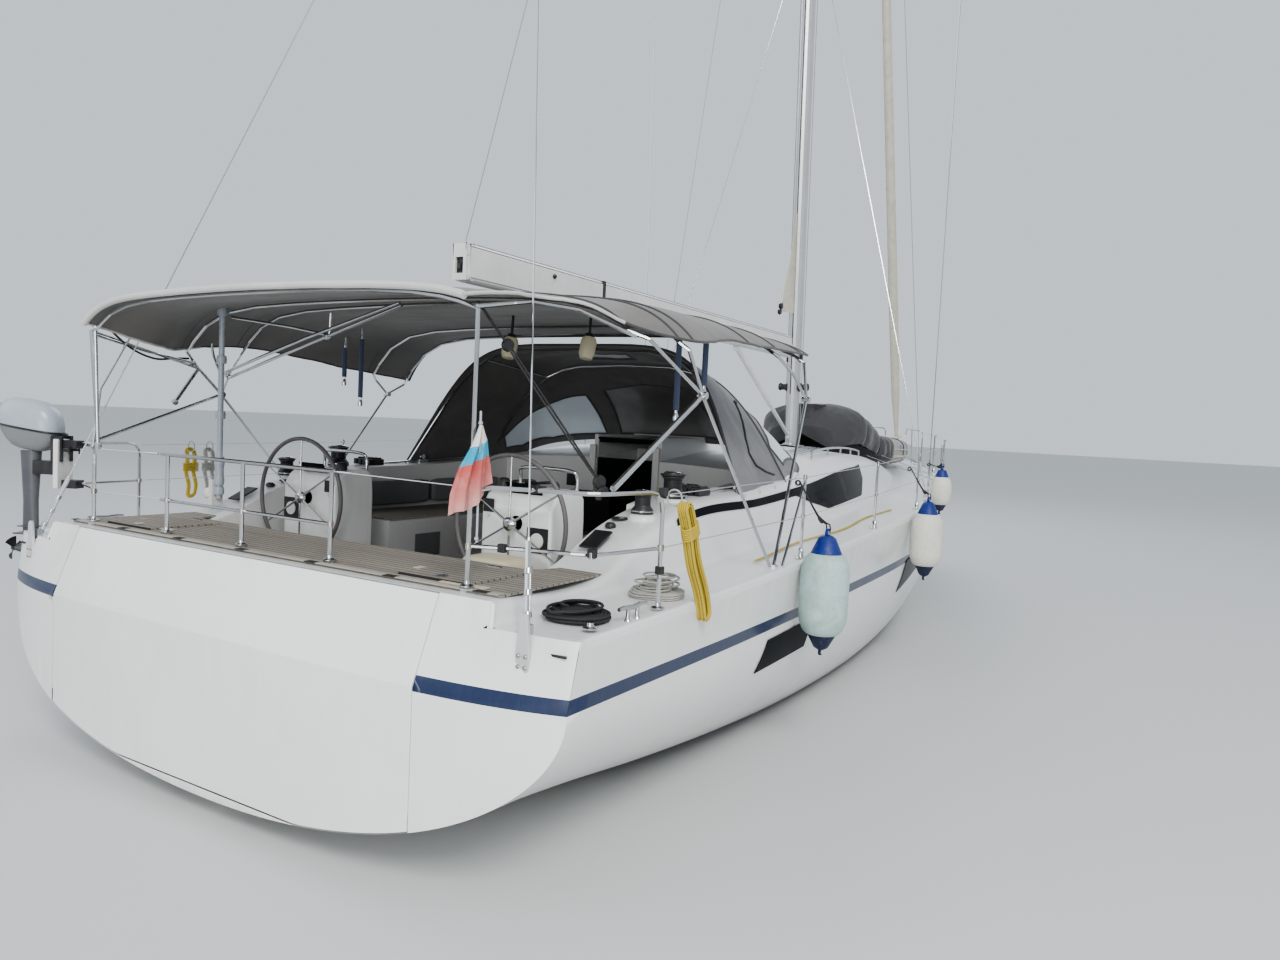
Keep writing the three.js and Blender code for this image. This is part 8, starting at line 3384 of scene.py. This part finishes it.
@dataclass
class RailGear:
    """Clamps, bases, gates and wires of the rails."""

    stanchions: tuple[float, ...] = (2.93, 4.90, 6.76, 8.75, 10.40, 11.90)
    inboard: float = 0.075
    wires: tuple[float, float] = (0.31, 0.59)
    screws: int = 3
    legs: tuple[tuple[float, float, float], ...] = (
        (0.13, 1.70, 1.535), (0.86, 2.40, 1.415), (0.25, 2.375, 1.405)
    )
    aft_posts: tuple[float, ...] = (-0.63, 0.16, 0.93)
    aft_x: float = 0.18
    wire_radius: float = 0.0035

    def build(self) -> None:
        """Make all of it."""
        bases = Piece("stanchion_bases", Skin.STEEL)
        collars = Piece("rail_collars", Skin.STEEL_STAINED)
        for side in SIDES.values():
            for x in self.stanchions:
                edge_y, edge_z = HULL_LINES(x)[:2]
                y, z = edge_y - self.inboard, edge_z + 0.039
                bases.turned(
                    [
                        (0, 0), (0.042, 0), (0.042, 0.006), (0.022, 0.012), (0.019, 0.07), (0.0145, 0.075),
                        (0, 0.075),
                    ],
                    (x, side * y, z), (0, 0, 1), 24,
                )
                for k in range(self.screws):
                    a = math.tau * k / self.screws
                    collars.turned(
                        [(0, 0), (0.006, 0), (0.005, 0.004), (0, 0.004)],
                        (x + 0.031 * math.cos(a), side * y + 0.031 * math.sin(a), z + 0.005), (0, 0, 1), 8,
                    )
                for rise in self.wires:
                    collars.turned(
                        disc(0.0155, 0.012),
                        (x, side * y, z + rise), (0, 0, 1), 14,
                    )
                collars.turned(
                    [(0, 0), (0.0145, 0), (0.012, 0.014), (0, 0.018)], (x, side * y, z + 0.600), (0, 0, 1),
                    14,
                )
            for x, y, z in self.legs:
                bases.turned(
                    [(0, 0), (0.038, 0), (0.038, 0.006), (0.018, 0.014), (0.016, 0.03), (0, 0.03)],
                    (x, side * y, z), (0, 0, 1), 24,
                )
            for x, y in ((0.13, 1.70), (0.345, 2.305), (0.86, 2.40)):
                collars.turned(
                    disc(0.018, 0.016), (x, side * y, 1.74),
                    (0, 0, 1), 16,
                )
        for y in self.aft_posts:
            bases.turned(
                [(0, 0), (0.038, 0), (0.038, 0.006), (0.018, 0.014), (0.016, 0.03), (0, 0.03)],
                (self.aft_x, y, 1.533), (0, 0, 1), 24,
            )
            collars.turned(
                disc(0.017, 0.014), (self.aft_x, y, 1.74), (0, 0, 1), 16
            )
        bases.done(crease=40)
        collars.done(crease=40)
        wires = Piece("stern_wires", Skin.STEEL)
        for y0, z0, y1, z1 in (
            (-0.65, 2.04, -1.69, 2.035), (1.0, 2.04, 1.69, 2.035), (1.0, 1.742, 1.69, 1.74)
        ):
            wires.tube([(self.aft_x, y0, z0), (0.135, y1, z1)], self.wire_radius, 8)
        for y0, y1 in ((-0.68, -0.80), (1.03, 1.15)):
            wires.tube([(0.178, y0, 2.04), (0.172, y1, 2.04)], 0.008, 10)
        wires.done()
        hooks = Piece("rail_fittings", Skin.BLACK)
        for x, y, z in (
            (0.20, -1.86, 1.74), (0.86, -2.40, 2.04), (0.27, -2.0, 2.045), (0.345, -2.305, 1.75),
            (0.86, -2.40, 1.62),
        ):
            hooks.box((x - 0.016, y - 0.022, z - 0.022), (x + 0.016, y + 0.022, z + 0.022))
        hooks.done(bevel=0.005)


# Stage
@dataclass(frozen=True)
class Studio:
    """Camera, floor and light."""

    place: tuple[float, float, float] = (-3.3509, -4.7364, 2.4041)
    yaw: float = 0.5332
    pitch: float = -0.0636
    roll: float = 0.0497
    lens: float = 25.57
    film: float = 36.0
    floor_tone: Colour = (0.60, 0.61, 0.61)
    sky_tone: Colour = (0.80, 0.86, 0.92)
    sky_power: float = 0.60
    exposure: float = 0.42

    def camera(self) -> None:
        """Set the camera where the photograph was taken from."""
        level_share = math.cos(self.pitch)
        ahead = Vector(
            (level_share * math.cos(self.yaw), level_share * math.sin(self.yaw), math.sin(self.pitch))
        )
        level = Vector((math.sin(self.yaw), -math.cos(self.yaw), 0))
        above = level.cross(ahead)
        right = math.cos(self.roll) * level + math.sin(self.roll) * above
        up = -math.sin(self.roll) * level + math.cos(self.roll) * above
        data = bpy.data.cameras.new("camera")
        data.sensor_width = self.film
        data.lens = self.lens
        data.clip_end = 500
        camera = bpy.data.objects.new("camera", data)
        axes = Matrix((right, up, -ahead)).transposed().to_4x4()
        camera.matrix_world = Matrix.Translation(self.place) @ axes
        bpy.context.scene.collection.objects.link(camera)
        bpy.context.scene.camera = camera

    def floor(self) -> None:
        """Lay a plain pale floor at the waterline."""
        bpy.ops.mesh.primitive_plane_add(size=400)
        floor = bpy.context.object
        floor.name = "floor"
        pale = Graph("floor")
        tone = pale.mix(pale.noise(0.3, 3), self.floor_tone, tuple(0.97 * c for c in self.floor_tone))
        pale.set(Base_Color=tone, Roughness=0.7)
        floor.data.materials.append(pale.material)

    def light(self) -> None:
        """Hang soft lamps and an even sky."""
        lamps = (
            ("key", (-14, -17, 20), (4, 0, 1), 9, 3700, (1.0, 0.98, 0.95)),
            ("fill", (-12, 14, 12), (3, 0, 1), 14, 520, (0.94, 0.97, 1.0)),
            ("rim", (24, 10, 18), (6, 0, 2), 12, 900, (0.97, 0.98, 1.0)),
            ("low", (-13, -7, 3.2), (3, 0, 1.3), 6, 520, (1.0, 0.99, 0.97)),
        )
        for name, place, aim, size, power, colour in lamps:
            data = bpy.data.lights.new(name, "AREA")
            data.size, data.energy, data.color = size, power, colour
            lamp = bpy.data.objects.new(name, data)
            lamp.location = place
            lamp.rotation_euler = (vec(aim) - vec(place)).to_track_quat("-Z", "Y").to_euler()
            bpy.context.scene.collection.objects.link(lamp)
        world = bpy.data.worlds.new("sky")
        world.use_nodes = True
        sky = world.node_tree.nodes["Background"]
        sky.inputs["Color"].default_value = (*self.sky_tone, 1)
        sky.inputs["Strength"].default_value = self.sky_power
        bpy.context.scene.world = world
        bpy.context.scene.view_settings.view_transform = "AgX"
        bpy.context.scene.view_settings.look = "AgX - Medium High Contrast"
        bpy.context.scene.view_settings.exposure = self.exposure


WINCHES = {"primary": 0.092, "secondary": 0.074}

FENDERS = (
    ("fender_aft", Skin.FENDER, (2.76, -2.43, 2.03)),
    ("fender_middle", Skin.FENDER_CREAM, (6.12, -2.36, 2.06)),
    ("fender_fore", Skin.FENDER_CREAM, (7.35, -2.27, 2.08)),
)

NODE_SKINS: dict[str, Skin] = {
    "hull": Skin.HULL,
    "deck": Skin.DECK,
    "transom_platform": Skin.GELCOAT,
    "keel": Skin.IRON,
    "rudder": Skin.IRON,
    "saildrive": Skin.IRON,
    "propeller": Skin.BRONZE,
    "aft_deck_teak": Skin.TEAK,
    "locker_lid_port": Skin.TEAK,
    "locker_lid_starboard": Skin.TEAK,
    "cockpit_sole_teak": Skin.TEAK_LONG,
    "bench_teak_port": Skin.TEAK_LONG,
    "bench_teak_starboard": Skin.TEAK_LONG,
    "mast": Skin.ALUMINIUM,
    "boom": Skin.SPAR_WHITE,
    "bimini_canopy": Skin.CANVAS,
    "sprayhood": Skin.CANVAS_SIDE,
    "tender": Skin.TENDER,
    "tender_cover": Skin.COVER,
    "ensign": Skin.FLAG,
    "fender_aft": Skin.FENDER,
    "fender_middle": Skin.FENDER_CREAM,
    "fender_fore": Skin.FENDER_CREAM,
    "genoa_furled": Skin.SAIL,
    "saloon_hatch": Skin.SMOKED,
}


def dress_frame(frame: dict) -> None:
    """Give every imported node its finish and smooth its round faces.
    """
    plain = {
        "teak": Skin.TEAK_JOINERY,
        "steel": Skin.STEEL,
        "aluminium": Skin.ALUMINIUM,
        "black_plastic": Skin.BLACK,
        "acrylic": Skin.SMOKED,
        "gelcoat": Skin.GELCOAT,
    }
    for name, node in frame["nodes"].items():
        slot = node.data.materials[0].name.split(".")[0] if node.data.materials else "gelcoat"
        skin = NODE_SKINS.get(name) or plain.get(slot, Skin.GELCOAT)
        node.data.materials.clear()
        node.data.materials.append(skin.material())
        node.data.shade_smooth()
        node.data.set_sharp_from_angle(angle=math.radians(50 if slot == "steel" else 30))


def report(name: str) -> None:
    """Say which piece is ready.

    Args:
        name: The piece.
    """
    LOG.info("built: %s", name)


def main() -> None:
    """Build the yacht piece by piece."""
    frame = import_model()
    studio = Studio()
    studio.camera()
    Ropes().build()
    report("ropes")
    studio.floor()
    studio.light()
    dress_frame(frame)
    report("finishes of the packed solids")
    for name, side in SIDES.items():
        Helm(name, side).build()
        report(f"helm {name}")
        for node, radius in WINCHES.items():
            Winch(f"{node}_{name}", radius).build()
            report(f"winch {node} {name}")
    for node, skin, top in FENDERS:
        Fender(node, skin, top).build()
        report(node)
    for part in (Hull, Deck, Cockpit, Deckwork, Canopy, Hood, Ensign, Foredeck, Outboard, Rig, RailGear):
        part().build()
        report(part.__name__.lower())


if __name__ == "__main__":
    logging.basicConfig(level=logging.INFO, format="%(message)s")
    main()
